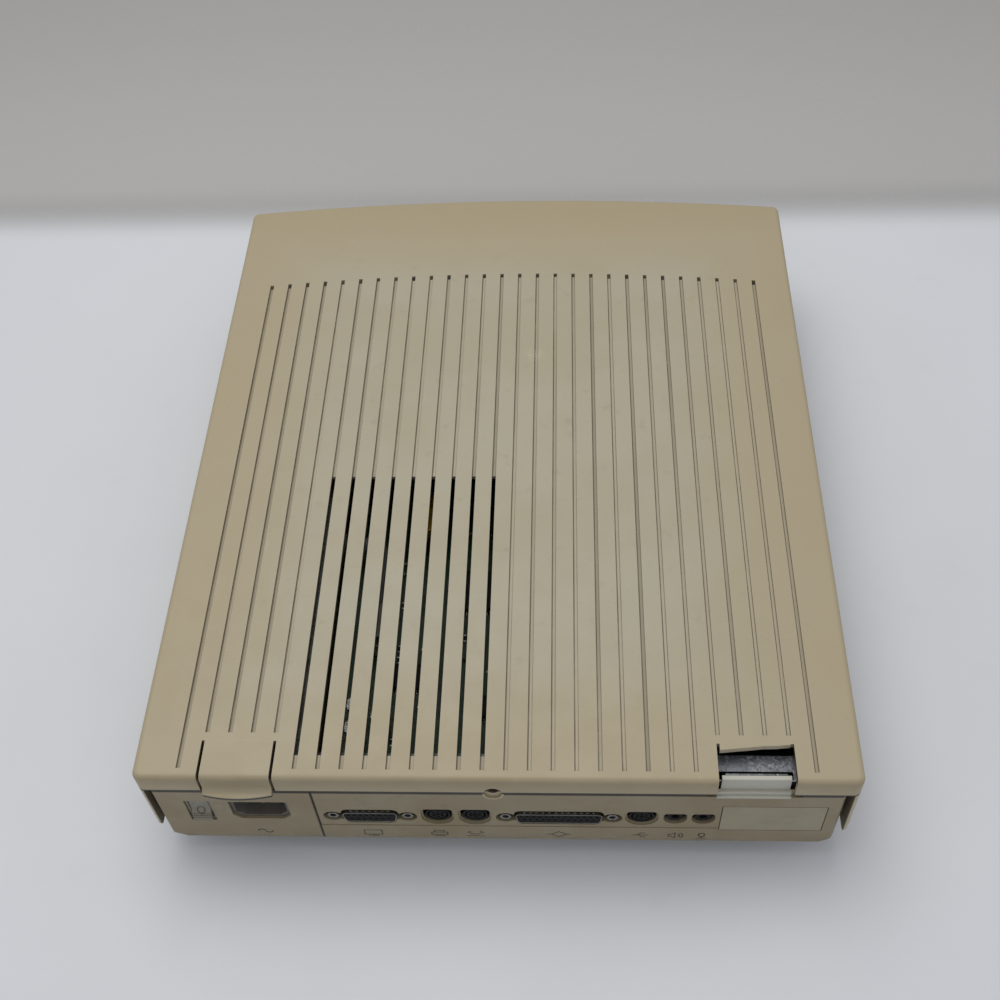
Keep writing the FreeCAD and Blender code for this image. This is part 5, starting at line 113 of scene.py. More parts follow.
def add_node(
    tree: bpy.types.NodeTree, kind: str, ins: dict | None = None, out: int | str = 0, **settings
) -> Socket | None:
    """Adds a shader node with its settings, values and links.

    Args:
        tree: where it goes.
        kind: the node's type, without its prefix.
        ins: values or sockets for its inputs.
        out: the output that is handed back.
        settings: the node's own options.

    Returns:
        The chosen output, or None where the node has none.
    """
    node = tree.nodes.new("ShaderNode" + kind)
    for key, value in settings.items():
        setattr(node, key, value)
    for key, value in (ins or {}).items():
        if isinstance(value, Socket):
            tree.links.new(value, node.inputs[key])
        else:
            node.inputs[key].default_value = value
    return node.outputs[out] if len(node.outputs) else None


class Graph:
    """One material's node tree, with the colour, roughness and reliefs that its patterns build up."""

    def __init__(self, finish: Finish) -> None:
        """Makes the material and its place in millimetres.

        Args:
            finish: the finish that is made.
        """
        self.finish = finish
        self.material = bpy.data.materials.new(finish.name)
        self.material.use_nodes = True
        self.tree = self.material.node_tree
        self.tree.nodes.clear()
        spot = self.add("TexCoord", out="Object")
        self.place = self.add("VectorMath", {0: spot, 1: (1 / MM,) * 3}, operation="MULTIPLY")
        self.x, self.y, self.z = self.add("SeparateXYZ", {0: self.place}).node.outputs
        self.wide = self.math("ABSOLUTE", self.x)
        self.normal = self.add("NewGeometry", out="Normal")
        self.colour: Socket | tuple = linear(finish.base)
        self.rough: Socket | float = finish.rough[0]
        self.relief: list[tuple[Socket, float]] = []

    def add(self, kind: str, ins: dict | None = None, out: int | str = 0, **settings) -> Socket:
        """Adds a node to this tree, as add_node does."""
        return add_node(self.tree, kind, ins, out, **settings)

    def math(self, operation: str, a: Socket | float, b: Socket | float = 0.0) -> Socket:
        """One sum of two values."""
        return self.add("Math", {0: a, 1: b}, operation=operation)

    def rise(self, value: Socket, low: float, high: float, start: float = 0.0, end: float = 1.0) -> Socket:
        """A smooth step from start to end while the value goes from low to high."""
        ins = {0: value, 1: low, 2: high, 3: start, 4: end}
        return self.add("MapRange", ins, interpolation_type="SMOOTHSTEP")

    def mix(self, share: Socket | float, a: Socket | tuple, b: Socket | tuple) -> Socket:
        """One colour turning into another by a share."""
        return self.add("Mix", {0: share, 6: a, 7: b}, out=2, data_type="RGBA")

    def noise(self, size: float, seed: float = 0.0, detail: float = 3.0, stretch: Sequence = (1, 1, 1)) -> Socket:
        """Soft clouds about so many millimetres across, 0 to 1."""
        scale = tuple(s / size for s in stretch)
        where = self.add("VectorMath", {0: self.place, 1: scale, 2: (seed,) * 3}, operation="MULTIPLY_ADD")
        return self.add("TexNoise", {"Vector": where, "Scale": 1.0, "Detail": detail, "Roughness": 0.55})

    def cells(self, size: float, seed: float = 0.0, out: str = "Distance", scatter: float = 1.0) -> Socket:
        """Scattered cells about so many millimetres across."""
        scale = (1 / size,) * 3
        where = self.add("VectorMath", {0: self.place, 1: scale, 2: (seed,) * 3}, operation="MULTIPLY_ADD")
        return self.add("TexVoronoi", {"Vector": where, "Scale": 1.0, "Randomness": scatter}, out=out)

    def stripes(self, along: Socket, pitch: float, share: float, soft: float = 0.12) -> Socket:
        """Lines that repeat at a pitch, 1 on a line and 0 between."""
        turn = self.math("FRACT", self.math("DIVIDE", along, pitch))
        off = self.math("ABSOLUTE", self.math("SUBTRACT", turn, 0.5))
        return self.rise(off, share / 2 + soft / 2, share / 2 - soft / 2)

    def both(self, *masks: Socket) -> Socket:
        """Where all the masks hold."""
        return reduce(lambda a, b: self.math("MULTIPLY", a, b), masks)

    def either(self, *masks: Socket) -> Socket:
        """Where any of the masks holds."""
        return reduce(lambda a, b: self.math("MAXIMUM", a, b), masks)

    def near(self, spot: tuple, start: float, end: float) -> Socket:
        """A round mask about a spot, that turns from 0 to 1 between two distances."""
        away = self.add("VectorMath", {0: self.place, 1: spot}, out="Value", operation="DISTANCE")
        return self.rise(away, start, end)

    def tint(self, mask: Socket, code: str, share: float = 1.0) -> None:
        """Turns the colour to another one where a mask holds.

        Args:
            mask: where.
            code: the other colour.
            share: how much of it shows at most.
        """
        share_mask = mask if share == 1.0 else self.math("MULTIPLY", mask, share)
        self.colour = self.mix(share_mask, self.colour, linear(code))

    def roughen(self, by: Socket) -> None:
        """Adds to the roughness."""
        self.rough = self.math("ADD", self.rough, by)

    def within(self, value: Socket, low: float, high: float, soft: float = 0.2) -> Socket:
        """A band of values with soft ends."""
        return self.both(self.rise(value, low - soft, low + soft), self.rise(value, high + soft, high - soft))

    def facing(self, axis: tuple, low: float = 0.7, high: float = 0.95) -> Socket:
        """Where the surface faces along an axis."""
        dot = self.add("VectorMath", {0: self.normal, 1: axis}, out="Value", operation="DOT_PRODUCT")
        return self.rise(dot, low, high)

    def edges(self, radius: float) -> Socket:
        """Where the surface turns sharply within a radius."""
        soft = self.add("Bevel", {"Radius": radius * MM}, samples=4)
        dot = self.add("VectorMath", {0: soft, 1: self.normal}, out="Value", operation="DOT_PRODUCT")
        return self.rise(dot, 0.985, 0.86)

    def creases(self, reach: float) -> Socket:
        """Where other surfaces stand close around."""
        open_sky = self.add("AmbientOcclusion", {"Distance": reach * MM}, out="AO", samples=4)
        return self.rise(open_sky, 0.75, 0.2)

    def close(self) -> bpy.types.Material:
        """Joins the shader, its bumps and its plain values.

        Returns:
            The finished material.
        """
        ins = {"Base Color": self.colour, "Roughness": self.rough, "Metallic": self.finish.metal}
        normal = {}
        for height, depth in self.relief:
            bump = self.add("Bump", {"Height": height, "Distance": depth * MM, "Strength": 1.0, **normal})
            normal = {"Normal": bump}
        shader = self.add("BsdfPrincipled", {**ins, **normal, **dict(self.finish.sockets)})
        self.add("OutputMaterial", {"Surface": shader})
        return self.material


# Places that more than one finish or piece needs, in millimetres
LID_TOP = 73.7
SEAM = 61.75
REAR_Y = 186.5
GROOVE_PITCH = 10.0
GROOVE_COUNT = 28
GROOVE_FLOOR = 72.7
GROOVE_FRONT = (-125.6, 10.1, 155.0)
STUB = (-125.6, -94.4)
EYE = (0.7, 62.3)
PANEL_SPLIT = (79.2, 80.5)
MODULE_Y, MODULE_PITCH, MODULE_FINGERS = 10.0, 16.0, 37.6


class Recipes:
    """The patterns by their name in Pattern, each a change to a graph's colour, roughness and reliefs."""

    @staticmethod
    def lid(g: Graph) -> None:
        """Yellowed at the rim and the front, greyer amid the grooves, with dirt and painted shadow along the
        groove floors, painted shade on groove and slot walls, along the seam, in the skirt gaps and in the eye's
        hole.
        """
        aged = g.either(g.rise(g.wide, 70, 152), g.rise(g.y, -105, -165), g.rise(g.y, 95, 178, 0, 0.8))
        aged = g.math("MULTIPLY", aged, g.rise(g.noise(70, 3.0), 0.25, 0.75, 0.82, 1.0))
        g.tint(aged, "#A5977A")
        front = g.both(g.rise(g.y, -150, -186), g.facing((0, 0, 1), -0.2, 0.4))
        g.tint(front, "#9A8A68", 0.3)
        turn = g.math("FRACT", g.math("DIVIDE", g.x, GROOVE_PITCH))
        off = g.math("MULTIPLY", g.math("SUBTRACT", turn, 0.5), GROOVE_PITCH)
        floor = g.both(g.within(g.z, GROOVE_FLOOR - 0.8, GROOVE_FLOOR + 0.4, 0.08), g.facing((0, 0, 1)))
        along = g.noise(11, 23.0, 1.0, (1, 0.03, 1))
        shade = g.mix(g.rise(along, 0.35, 0.65), linear("#8C8370"), linear("#BEB49D"))
        g.colour = g.mix(g.math("MULTIPLY", floor, 0.6), g.colour, shade)
        # Dark lines along both sides of each groove floor, stronger on one side, in patches: settled dirt and
        # painted shadow of the groove walls.
        dirt_and_shadow_patches = g.rise(g.noise(16, 17.0), 0.2, 0.6, 0.55, 1.0)
        lines = g.either(g.within(off, 0.38, 1.1, 0.1), g.math("MULTIPLY", g.within(off, -1.1, -0.72, 0.1), 0.7))
        g.tint(g.both(floor, lines, dirt_and_shadow_patches), "#54482F", 0.8)
        # Painted shade on the groove walls.
        groove_wall_shade = g.both(g.rise(g.math("ABSOLUTE", g.add("SeparateXYZ", {0: g.normal})), 0.6, 0.8),
                       g.rise(g.z, LID_TOP - 0.05, LID_TOP - 0.25), g.rise(g.z, 70.0, 70.4),
                       g.rise(g.wide, 139, 138), g.rise(g.y, 186, 185))
        g.tint(groove_wall_shade, "#4B402E", 0.8)
        # Dark brown painted shade on the slot walls below the groove floors, where the slots look into the dark
        # inside.
        slot = g.both(groove_wall_shade, g.rise(g.z, GROOVE_FLOOR, GROOVE_FLOOR - 0.3))
        g.tint(slot, "#463A26")
        rear = g.both(g.rise(g.y, 183.0, 186.4), g.rise(g.z, 62, 72))
        g.tint(g.math("MULTIPLY", rear, g.rise(g.noise(24, 7.0), 0.3, 0.7, 0.2, 0.38)), "#7A6848")
        behind = g.both(g.rise(g.y, 180, 182), g.facing((0, 1, 0), -0.3, 0.3))
        g.tint(g.both(behind, g.rise(g.z, SEAM - 0.7, SEAM - 1.1, 0, 0.5)), "#B5A98C")
        # Painted shadow: a dark band on the lid's rear faces along the seam to the base.
        seam_shadow = g.both(behind, g.within(g.z, SEAM - 0.55, SEAM + 0.95, 0.12))
        g.tint(seam_shadow, "#1E180F", 0.95)
        # Painted shade on the side skirts' lowest edge near the rear, where the gap to the base looks dark.
        skirt_gap_shade = g.both(g.within(g.wide, 151.0, 152.4, 0.15), g.rise(g.y, 171, 184), g.rise(g.z, SEAM + 1.0, SEAM))
        g.tint(skirt_gap_shade, "#2A2318", 0.75)
        # Painted shade inside the hole of the security eye.
        g.tint(g.near((EYE[0], REAR_Y - 2.0, EYE[1]), 2.9, 2.3), "#1C160E", 0.9)
        snapped = g.both(g.within(g.x, *STUB), g.rise(g.y, 165.6, 167.2), g.facing((0, 1, 0), 0.2, 0.6))
        g.tint(snapped, "#D3C6AC", 0.85)
        g.relief.append((g.both(snapped, g.noise(0.9, 5.0)), 0.35))
        hair = g.rise(g.noise(5.0, 11.0, 1.0, (9, 0.5, 3)), 0.74, 0.79)
        scuffs = g.both(hair, g.rise(g.noise(42, 1.0), 0.5, 0.66), g.facing((0, 0, 1)))
        g.tint(scuffs, "#CFC6B0", 0.3)
        flakes = g.rise(g.noise(0.9, 2.0, 1.0, (1, 3, 1)), 0.55, 0.62)
        bruise = g.both(g.near((-14.0, -62.0, LID_TOP), 6.5, 2.0), flakes)
        g.tint(bruise, "#CBC3B2", 0.6)
        g.relief.append((g.noise(26, 9.0), 0.02))

    @staticmethod
    def wall(g: Graph) -> None:
        """Base plastic: a greyer tone holding painted shade of the connector wall, lighter towards the front,
        darker in patches towards the foot, rubbed corners, a clean catch, and painted shadow under the lid's seam,
        in the panel split and in the eye's recess.
        """
        # Darker in patches towards the foot.
        foot = g.both(g.rise(g.z, 24, 15), g.rise(g.noise(7, 4.0), 0.35, 0.65))
        g.tint(foot, "#6F695C", 0.35)
        # Lighter towards the front, back to the plastic's own tone; the darker colour behind holds painted shade
        # of the connector wall.
        g.tint(g.rise(g.y, 120, -140), "#A0967D")
        rubbed = g.both(g.rise(g.wide, 147.5, 150.5), g.rise(g.noise(3, 8.0), 0.45, 0.65))
        g.tint(rubbed, "#B9B3A4", 0.18)
        at_catch = g.both(g.within(g.x, STUB[0], STUB[1], 0.4), g.rise(g.y, 180.6, 181.0))
        clean = g.both(at_catch, g.rise(g.z, 57.6, 58.2))
        g.tint(clean, "#BDBDB3", 0.8)
        outer = g.rise(g.y, 184.6, 185.4)
        # Painted shadow: a dark band on the outer wall just under the lid's skirt, left out at the catch.
        seam_shadow = g.both(g.rise(g.z, SEAM - 2.8, SEAM - 2.2), outer, g.math("SUBTRACT", 1.0, at_catch))
        g.tint(seam_shadow, "#1A150E", 0.95)
        # Painted shadow in the split between the base and the supply's rear panel.
        split_shadow = g.both(g.within(g.x, *PANEL_SPLIT, 0.15), outer)
        g.tint(split_shadow, "#241E15", 0.8)
        # Painted shade inside the security eye's recess.
        g.tint(g.near((EYE[0], REAR_Y - 4.0, EYE[1]), 3.4, 2.6), "#17120B")

    @staticmethod
    def spangle(g: Graph) -> None:
        """Zinc crystals, each its own grey, with white bloom and dark flecks."""
        crystal = g.add("SeparateColor", {0: g.cells(6.5, 1.0, "Color")})
        g.tint(g.rise(crystal, 0.1, 0.9, 0.0, 0.75), g.finish.tone)
        bloom = g.both(g.rise(g.noise(1.3, 6.0, 5.0), 0.5, 0.64), g.rise(g.noise(9, 2.0), 0.36, 0.56))
        g.tint(bloom, "#DADAD8", 0.6)
        fleck = g.rise(g.noise(0.9, 12.0, 4.0), 0.56, 0.68)
        g.tint(fleck, g.finish.dirt_and_shade, 0.65)
        g.roughen(g.math("MULTIPLY", g.either(bloom, fleck), 0.25))
        g.relief += [(crystal, 0.006), (bloom, 0.02)]

    @staticmethod
    def brushed(g: Graph) -> None:
        """Rolled sheet: long fine lines, a cloud of white and the odd scratch."""
        lines = g.noise(2.4, 3.0, 4.0, (0.05, 3.0, 3.0))
        g.roughen(g.rise(lines, 0.3, 0.7, -0.07, 0.08))
        g.tint(g.rise(lines, 0.45, 0.75, 0.0, 0.3), g.finish.tone)
        scratch = g.rise(g.noise(6, 9.0, 1.0, (8, 0.4, 0.4)), 0.73, 0.77)
        g.tint(scratch, "#E6E6E4", 0.5)
        g.relief.append((lines, 0.004))

    @staticmethod
    def turned(g: Graph) -> None:
        """Machined steel: close tool lines and a thin brown film."""
        tool = g.noise(1.5, 2.0, 2.0, (6, 0.4, 6))
        g.roughen(g.rise(tool, 0.35, 0.65, -0.05, 0.07))
        film = g.rise(g.noise(6, 5.0), 0.55, 0.75)
        g.tint(film, "#8C7A60", 0.35)
        g.relief.append((tool, 0.003))

    @staticmethod
    def cast(g: Graph) -> None:
        """Die-cast skin: pebbled, with flow marks."""
        pebble = g.noise(0.9, 1.0, 4.0)
        flow = g.noise(18, 3.0, 5.0, (1, 2.5, 1))
        g.tint(g.rise(flow, 0.35, 0.7, 0.0, 0.5), g.finish.tone)
        g.relief += [(pebble, 0.05), (flow, 0.03)]

    @staticmethod
    def traces(g: Graph) -> None:
        """A laminate board: copper runs under a green mask, pads on a grid, tan cut edges."""
        zone = g.add("SeparateColor", {0: g.cells(17, 3.0, "Color", 0.85)})
        runs_x = g.both(g.stripes(g.x, g.finish.pitch, 0.42), g.rise(zone, 0.48, 0.5))
        runs_y = g.both(g.stripes(g.y, g.finish.pitch, 0.42), g.rise(zone, 0.5, 0.48))
        used = g.rise(g.noise(13, 6.0, 1.0), 0.42, 0.46)
        runs = g.both(g.either(runs_x, runs_y), used)
        g.tint(runs, g.finish.tone, 0.6)
        near = g.cells(2 * g.finish.pitch, 0.5, "Distance", 0.0)
        pad = g.both(g.rise(near, 0.2, 0.16), g.rise(g.noise(9, 15.0, 1.0), 0.54, 0.57), g.rise(near, 0.05, 0.08))
        g.tint(pad, "#C9C6BC")
        side = g.rise(g.math("ABSOLUTE", g.add("SeparateXYZ", {0: g.normal}, out=2)), 0.5, 0.3)
        g.tint(side, "#A08A4E")
        g.relief += [(runs, 0.03), (pad, 0.06)]

    @staticmethod
    def module(g: Graph) -> None:
        """Upright memory boards: green laminate, black chips that stand proud, gold fingers along the foot."""
        Recipes.traces(g)
        turn = g.math("FRACT", g.math("DIVIDE", g.math("SUBTRACT", g.y, MODULE_Y), MODULE_PITCH))
        ahead = g.math("MULTIPLY", g.math("SUBTRACT", turn, 0.5), MODULE_PITCH)
        chips = g.rise(ahead, 0.7, 0.8)
        g.tint(chips, "#1D1D1F")
        gold = g.both(g.rise(g.z, MODULE_FINGERS + 0.2, MODULE_FINGERS), g.stripes(g.x, 2.54, 0.7))
        g.tint(gold, g.finish.accent)

    @staticmethod
    def ribbon(g: Graph) -> None:
        """A flat cable: one ridge per wire and a red first wire."""
        wires = g.stripes(g.x, g.finish.pitch, 0.72, 0.4)
        g.tint(g.rise(wires, 0.7, 0.1, 0.0, 0.55), g.finish.dirt_and_shade)
        first = g.either(g.within(g.x, 54.7, 56.5), g.within(g.x, -49.4, -47.4))
        g.tint(first, "#8E2B25", 0.85)
        g.relief.append((wires, 0.25))

    @staticmethod
    def cone(g: Graph) -> None:
        """Pressed paper: fibres and rings round the axis."""
        flat = g.add("VectorMath", {0: g.place, 1: (1, 1, 0)}, operation="MULTIPLY")
        radius = g.add("VectorMath", {0: flat, 1: (0, -105.0, 0)}, out="Value", operation="DISTANCE")
        rings = g.both(g.stripes(radius, 1.6, 0.5, 0.8), g.rise(radius, 15.5, 16.5))
        fibre = g.noise(1.6, 1.0, 5.0, (1, 3, 1))
        g.tint(g.rise(fibre, 0.5, 0.75, 0.0, 0.5), g.finish.tone)
        g.relief += [(rings, 0.3), (fibre, 0.05)]

    @staticmethod
    def cans(g: Graph) -> None:
        """Metal cans on a black foot."""
        foot = g.rise(g.z, 31.6, 31.4)
        g.tint(foot, "#17171A")
        brush = g.noise(0.8, 4.0, 2.0, (6, 6, 0.4))
        g.roughen(g.rise(brush, 0.3, 0.7, -0.05, 0.06))

    @staticmethod
    def stacked(g: Graph) -> None:
        """A core of thin iron plates with a taped winding across its middle."""
        plates = g.stripes(g.y, 0.6, 0.75, 0.3)
        g.tint(g.rise(plates, 0.6, 0.1, 0.0, 0.6), "#0C0C0D")
        tape = g.within(g.x, 107.0, 122.0, 0.1)
        g.tint(tape, g.finish.accent)
        g.relief.append((plates, 0.12))

    @staticmethod
    def floor(g: Graph) -> None:
        """A pale sheet that turns greyer beyond the object in painted shade, standing in for a backdrop, with a
        soft painted shadow line where floor and backdrop would meet.
        """
        g.tint(g.rise(g.y, -242, -284), "#AFADAB")
        g.tint(g.within(g.y, -288, -262, 13), "#8A898A", 0.3)
        g.tint(g.rise(g.y, -320, -560), g.finish.accent)


def dress(f: Finish) -> bpy.types.Material:
    """Makes a finish's material: patches, pattern, grime and painted shade in creases, wear along edges and grain.

    Args:
        f: the finish.

    Returns:
        The material.
    """
    g = Graph(f)
    g.tint(g.rise(g.noise(f.mottle, 1.3), 0.35, 0.66), f.tone)
    g.tint(g.rise(g.noise(f.mottle / 6, 4.7, 4.0), 0.58, 0.8, 0.0, 0.28), f.dirt_and_shade)
    g.rough = g.rise(g.noise(f.mottle / 3, 8.1, 4.0), 0.3, 0.7, *f.rough)
    if f.pattern is not Pattern.PLAIN:
        getattr(Recipes, f.pattern.name.lower())(g)
    grain = g.noise(f.grain, 2.9, 2.0)
    g.tint(g.rise(g.noise(f.grain * 2.2, 6.3, 2.0), 0.6, 0.78, 0.0, 0.2), f.dirt_and_shade)
    # Grime and painted shade in creases: the occlusion mask darkens where surfaces stand close and shade falls.
    if f.grime_and_shade:
        crease_grime_and_shade = g.math("MULTIPLY", g.creases(5.0), f.grime_and_shade)
        g.tint(crease_grime_and_shade, f.dirt_and_shade)
        g.roughen(g.math("MULTIPLY", crease_grime_and_shade, 0.12))
    if f.wear:
        worn = g.both(g.edges(f.edge), g.rise(g.noise(3.5, 13.0), 0.3, 0.7, 0.25, 1.0))
        pale = g.add("HueSaturation", {"Saturation": 0.75, "Value": 1.45, "Color": g.colour})
        g.colour = g.mix(g.math("MULTIPLY", worn, f.wear), g.colour, pale)
    g.relief.append((grain, f.relief))
    return g.close()


FINISHES = {
    # Moulded ABS, yellowed by light: a dull skin with a fine spark texture.
    "lid": Finish("lid_abs_yellowed", "#A7A08B", "#A49B83", "#857A62", pattern=Pattern.LID, grime_and_shade=0.5,
                  mottle=60.0),
    # The base's colour: the plastic's own greyer tone, darkened by painted shade of the connector wall.
    "base": Finish("base_abs_aged_painted_shade", "#8E836A", "#897C61", "#5C523F", pattern=Pattern.WALL, mottle=45.0),
    "cover": Finish("cover_abs_aged", "#989078", "#928972", "#645D4E", mottle=22.0),
    # Moulded rubber: dark, without shine, dusty.
    "rubber": Finish("foot_rubber_dusty", "#2B2A29", "#353331", "#5E5950", (0.7, 0.85), grain=0.9, relief=0.03),
    # Hot-dipped steel: a patchwork of zinc crystals with a broken shine.
    "galvanised": Finish("sheet_galvanised", "#5E6164", "#80838A", "#262628", (0.42, 0.58), 0.8, 12.0,
                         pattern=Pattern.SPANGLE, grime_and_shade=0.35, wear=0.3, relief=0.004),
    # Rolled zinc-plated steel: a soft streaked mirror.
    "zinc": Finish("sheet_zinc_rolled", "#A3A4A2", "#B9BAB8", "#5E5C57", (0.3, 0.44), 0.9, 26.0,
                   pattern=Pattern.BRUSHED, grime_and_shade=0.3, wear=0.3, relief=0.003),
    # Pressed, tin-plated steel: dull silver with tool lines.
    "plated": Finish("shell_tin_plated", "#84847F", "#96958F", "#4A463E", (0.2, 0.34), 0.95, 5.0,
                     pattern=Pattern.TURNED, grime_and_shade=0.4, wear=0.25, relief=0.004),
    # Black nylon and ABS: half-dull, pale at the rims.
    "black": Finish("moulding_black", "#1B1B1C", "#232324", "#4A4640", (0.38, 0.52), grain=0.45,
                    mottle=9.0, wear=0.5),
    "port": Finish("moulding_port_black", "#101011", "#151516", "#2A2824", (0.6, 0.75), grain=0.4, mottle=5.0,
                   wear=0.15, grime_and_shade=0.2, sockets=(("Specular IOR Level", 0.25),)),
    # Thermoset of the mains inlet: warm grey, rubbed pale at its rims.
    "inlet": Finish("moulding_inlet_grey", "#5C5952", "#65615A", "#332F29", (0.45, 0.6), grain=0.4, mottle=8.0,
                    wear=0.7, edge=0.7),
    # White nylon: waxy, lets a little light in.
    "white": Finish("moulding_white_nylon", "#CFCBBD", "#C5BFAD", "#8B836F", (0.4, 0.55), grain=0.5, mottle=10.0,
                    sockets=(("Subsurface Weight", 0.08), ("Subsurface Radius", (0.002, 0.0015, 0.001)))),
    # Chip resin: matt black with a sandy grain.
    "resin": Finish("chip_resin", "#1E1E20", "#262628", "#45423C", (0.55, 0.7), grain=0.3, mottle=6.0,
                    relief=0.02),
    # Glass laminate under a green mask: smooth, with copper runs showing through.
    "board": Finish("board_green_mask", "#183D28", "#275A36", "#33301F", (0.28, 0.4), mottle=35.0,
                    pattern=Pattern.TRACES, grime_and_shade=0.3, relief=0.004),
    "module": Finish("module_green_mask", "#1F5234", "#33724A", "#3B3A2A", (0.24, 0.36), mottle=20.0,
                     pattern=Pattern.MODULE, grime_and_shade=0.3, relief=0.004),
    # Paper laminate: plain brown, slightly shiny.
    "laminate": Finish("board_brown_laminate", "#9A7B45", "#A98A52", "#54432A", (0.4, 0.5), mottle=18.0),
    # Vinyl insulation: smooth and grey, and ribbed where wires lie side by side.
    "cable": Finish("cable_grey_vinyl", "#8C8D8C", "#969795", "#55534E", (0.4, 0.5), mottle=9.0, relief=0.01),
    "flat_cable": Finish("cable_flat_grey", "#9A9B99", "#A3A4A2", "#5B5954", (0.35, 0.46), mottle=14.0,
                         pattern=Pattern.RIBBON, relief=0.006),
    # Shrunk film round the clock cell: glossy yellow.
    "sleeve": Finish("cell_shrink_sleeve", "#C19A2A", "#B58E24", "#4C4128", (0.2, 0.3), mottle=8.0, grain=1.2,
                     sockets=(("Coat Weight", 0.4), ("Coat Roughness", 0.12))),
    # Drawn aluminium on rubber feet: bright with fine lines.
    "cans": Finish("can_drawn_aluminium", "#B4B5B6", "#C4C5C6", "#6D6B66", (0.28, 0.4), 0.85, 6.0,
                   pattern=Pattern.CANS, relief=0.004),
    # Die-cast aluminium: pebbled, blotched grey.
    "cast": Finish("aluminium_die_cast", "#9B9C9D", "#ADAEAF", "#5D5B57", (0.42, 0.58), 0.8, 16.0,
                   pattern=Pattern.CAST, wear=0.3),
    # Stamped iron plates with a taped winding: dark fine ribs.
    "core": Finish("core_iron_plates", "#2A2A2B", "#363535", "#17140F", (0.5, 0.65), 0.3, 6.0,
                   pattern=Pattern.STACKED, accent="#B79A3C"),
    # Pressed pulp: fibrous, no shine.
    "paper": Finish("cone_pressed_paper", "#2A2927", "#3A3835", "#57534B", (0.8, 0.92), grain=0.5, mottle=8.0,
                    pattern=Pattern.CONE, relief=0.03, sockets=(("Sheen Weight", 0.2),)),
    # Green acrylic: clear and glossy.
    "lens": Finish("lens_green_acrylic", "#3F8F45", "#378040", "#24502A", (0.12, 0.2), grain=1.5, mottle=4.0,
                   relief=0.002, sockets=(("Transmission Weight", 0.5), ("Coat Weight", 0.3))),
    # Machined steel: bright tool lines under a thin film.
    "steel": Finish("steel_machined", "#A2A2A1", "#B2B2B0", "#5C564B", (0.22, 0.36), 0.95, 5.0,
                    pattern=Pattern.TURNED, wear=0.3, relief=0.003),
    # Moulded switch plastic: warm grey, worn pale where fingers press.
    "grey": Finish("moulding_warm_grey", "#857F72", "#7C7669", "#453F35", (0.42, 0.55), mottle=7.0, wear=0.45),
    # Sunk pictograms: the wall's own plastic in shade.
    "mark": Finish("mark_engraved_shade", "#4C4739", "#443F33", "#3B372E", (0.6, 0.72), mottle=3.0, grain=0.3,
                   wear=0.0),
    # Painted shade in the groove ends: dull, brown to black.
    "sink": Finish("groove_end_painted_shade", "#17130D", "#4F4634", "#221C13", (0.7, 0.85), mottle=13.0, grain=0.4,
                   wear=0.0),
    # Dulled nickel on the hex posts: grey, soft shine.
    "jack": Finish("jackscrew_dulled", "#85847F", "#94938D", "#48443C", (0.3, 0.42), 0.9, 3.0,
                   pattern=Pattern.TURNED, wear=0.35, relief=0.003),
    # Painted shade for the inside of a recess: near black.
    "hollow": Finish("recess_painted_shade", "#0E0D0C", "#14120F", "#1F1B16", (0.75, 0.9), mottle=2.0, grain=0.4,
                     wear=0.0),
    # Tinned leads and gilt contacts: small and bright.
    "tin": Finish("lead_tinned", "#B9B9B4", "#C7C6C0", "#7C776B", (0.25, 0.36), 0.9, 2.0, wear=0.2, relief=0.004),
    "gold": Finish("contact_gilt", "#B99A45", "#C6A755", "#6E5A2C", (0.22, 0.32), 0.95, 2.0, wear=0.2,
                   relief=0.003),
    # Fired ceramic chips: matt tan.
    "ceramic": Finish("chip_ceramic_tan", "#A98C66", "#9C8059", "#5B4A33", (0.4, 0.5), mottle=2.0, grain=0.3),
    # Pale card under and behind the object: no shine; its greyer far part and the line before it are painted
    # shade.
    "floor": Finish("table_pale_card", "#D4D6DA", "#D2D4D8", "#CBCDD1", (0.55, 0.65), grain=0.8, mottle=160.0,
                    relief=0.004, grime_and_shade=0.0, wear=0.0, pattern=Pattern.FLOOR, accent="#A8A5A2"),
}

NODE_FINISH = {
    "lid": ("lid_shell", "latch_tab"),
    "base": ("base_shell", "psu_rear_panel"),
    "cover": ("expansion_cover",),
    "rubber": ("rubber_feet",),
    "galvanised": ("rear_shield", "centre_bracket", "hard_drive_sled"),
    "zinc": ("psu_case", "psu_cover", "disk_chassis", "disk_cover", "disk_tray", "eject_slider"),
    "plated": ("video_shell", "wide_shell"),
    "black": ("battery_holder", "fan_frame", "fan_rotor"),
    "port": ("video_contact_block", "wide_contact_block", "printer_port", "modem_port", "keyboard_port",
             "audio_out_jack", "audio_in_jack"),
    "inlet": ("power_inlet",),
    "white": ("memory_sockets", "expansion_socket", "board_headers"),
    "resin": ("processor", "support_chips", "program_chips"),
    "board": ("logic_board", "hard_drive_board"),
    "module": ("memory_modules",),
    "laminate": ("psu_board",),
    "cable": ("supply_lead", "drive_power_lead"),
    "flat_cable": ("disk_ribbon", "hard_drive_ribbon"),
    "sleeve": ("clock_battery",),
    "cans": ("board_capacitors", "timing_crystal"),
    "cast": ("head_carriage", "hard_drive_body"),
    "core": ("psu_transformer",),
    "paper": ("speaker_cone",),
    "lens": ("lamp_lens",),
    "jack": ("jackscrews",),
    "steel": ("inlet_blades", "speaker_frame", "disk_spindle", "lead_screw", "head_motor", "machine_screws"),
    "grey": ("switch_frame", "power_rocker"),
}


# Modelling by operators

def alone(obj: Obj) -> None:
    """Selects one object and nothing else."""
    bpy.ops.object.select_all(action="DESELECT")
    obj.select_set(True)
    bpy.context.view_layer.objects.active = obj


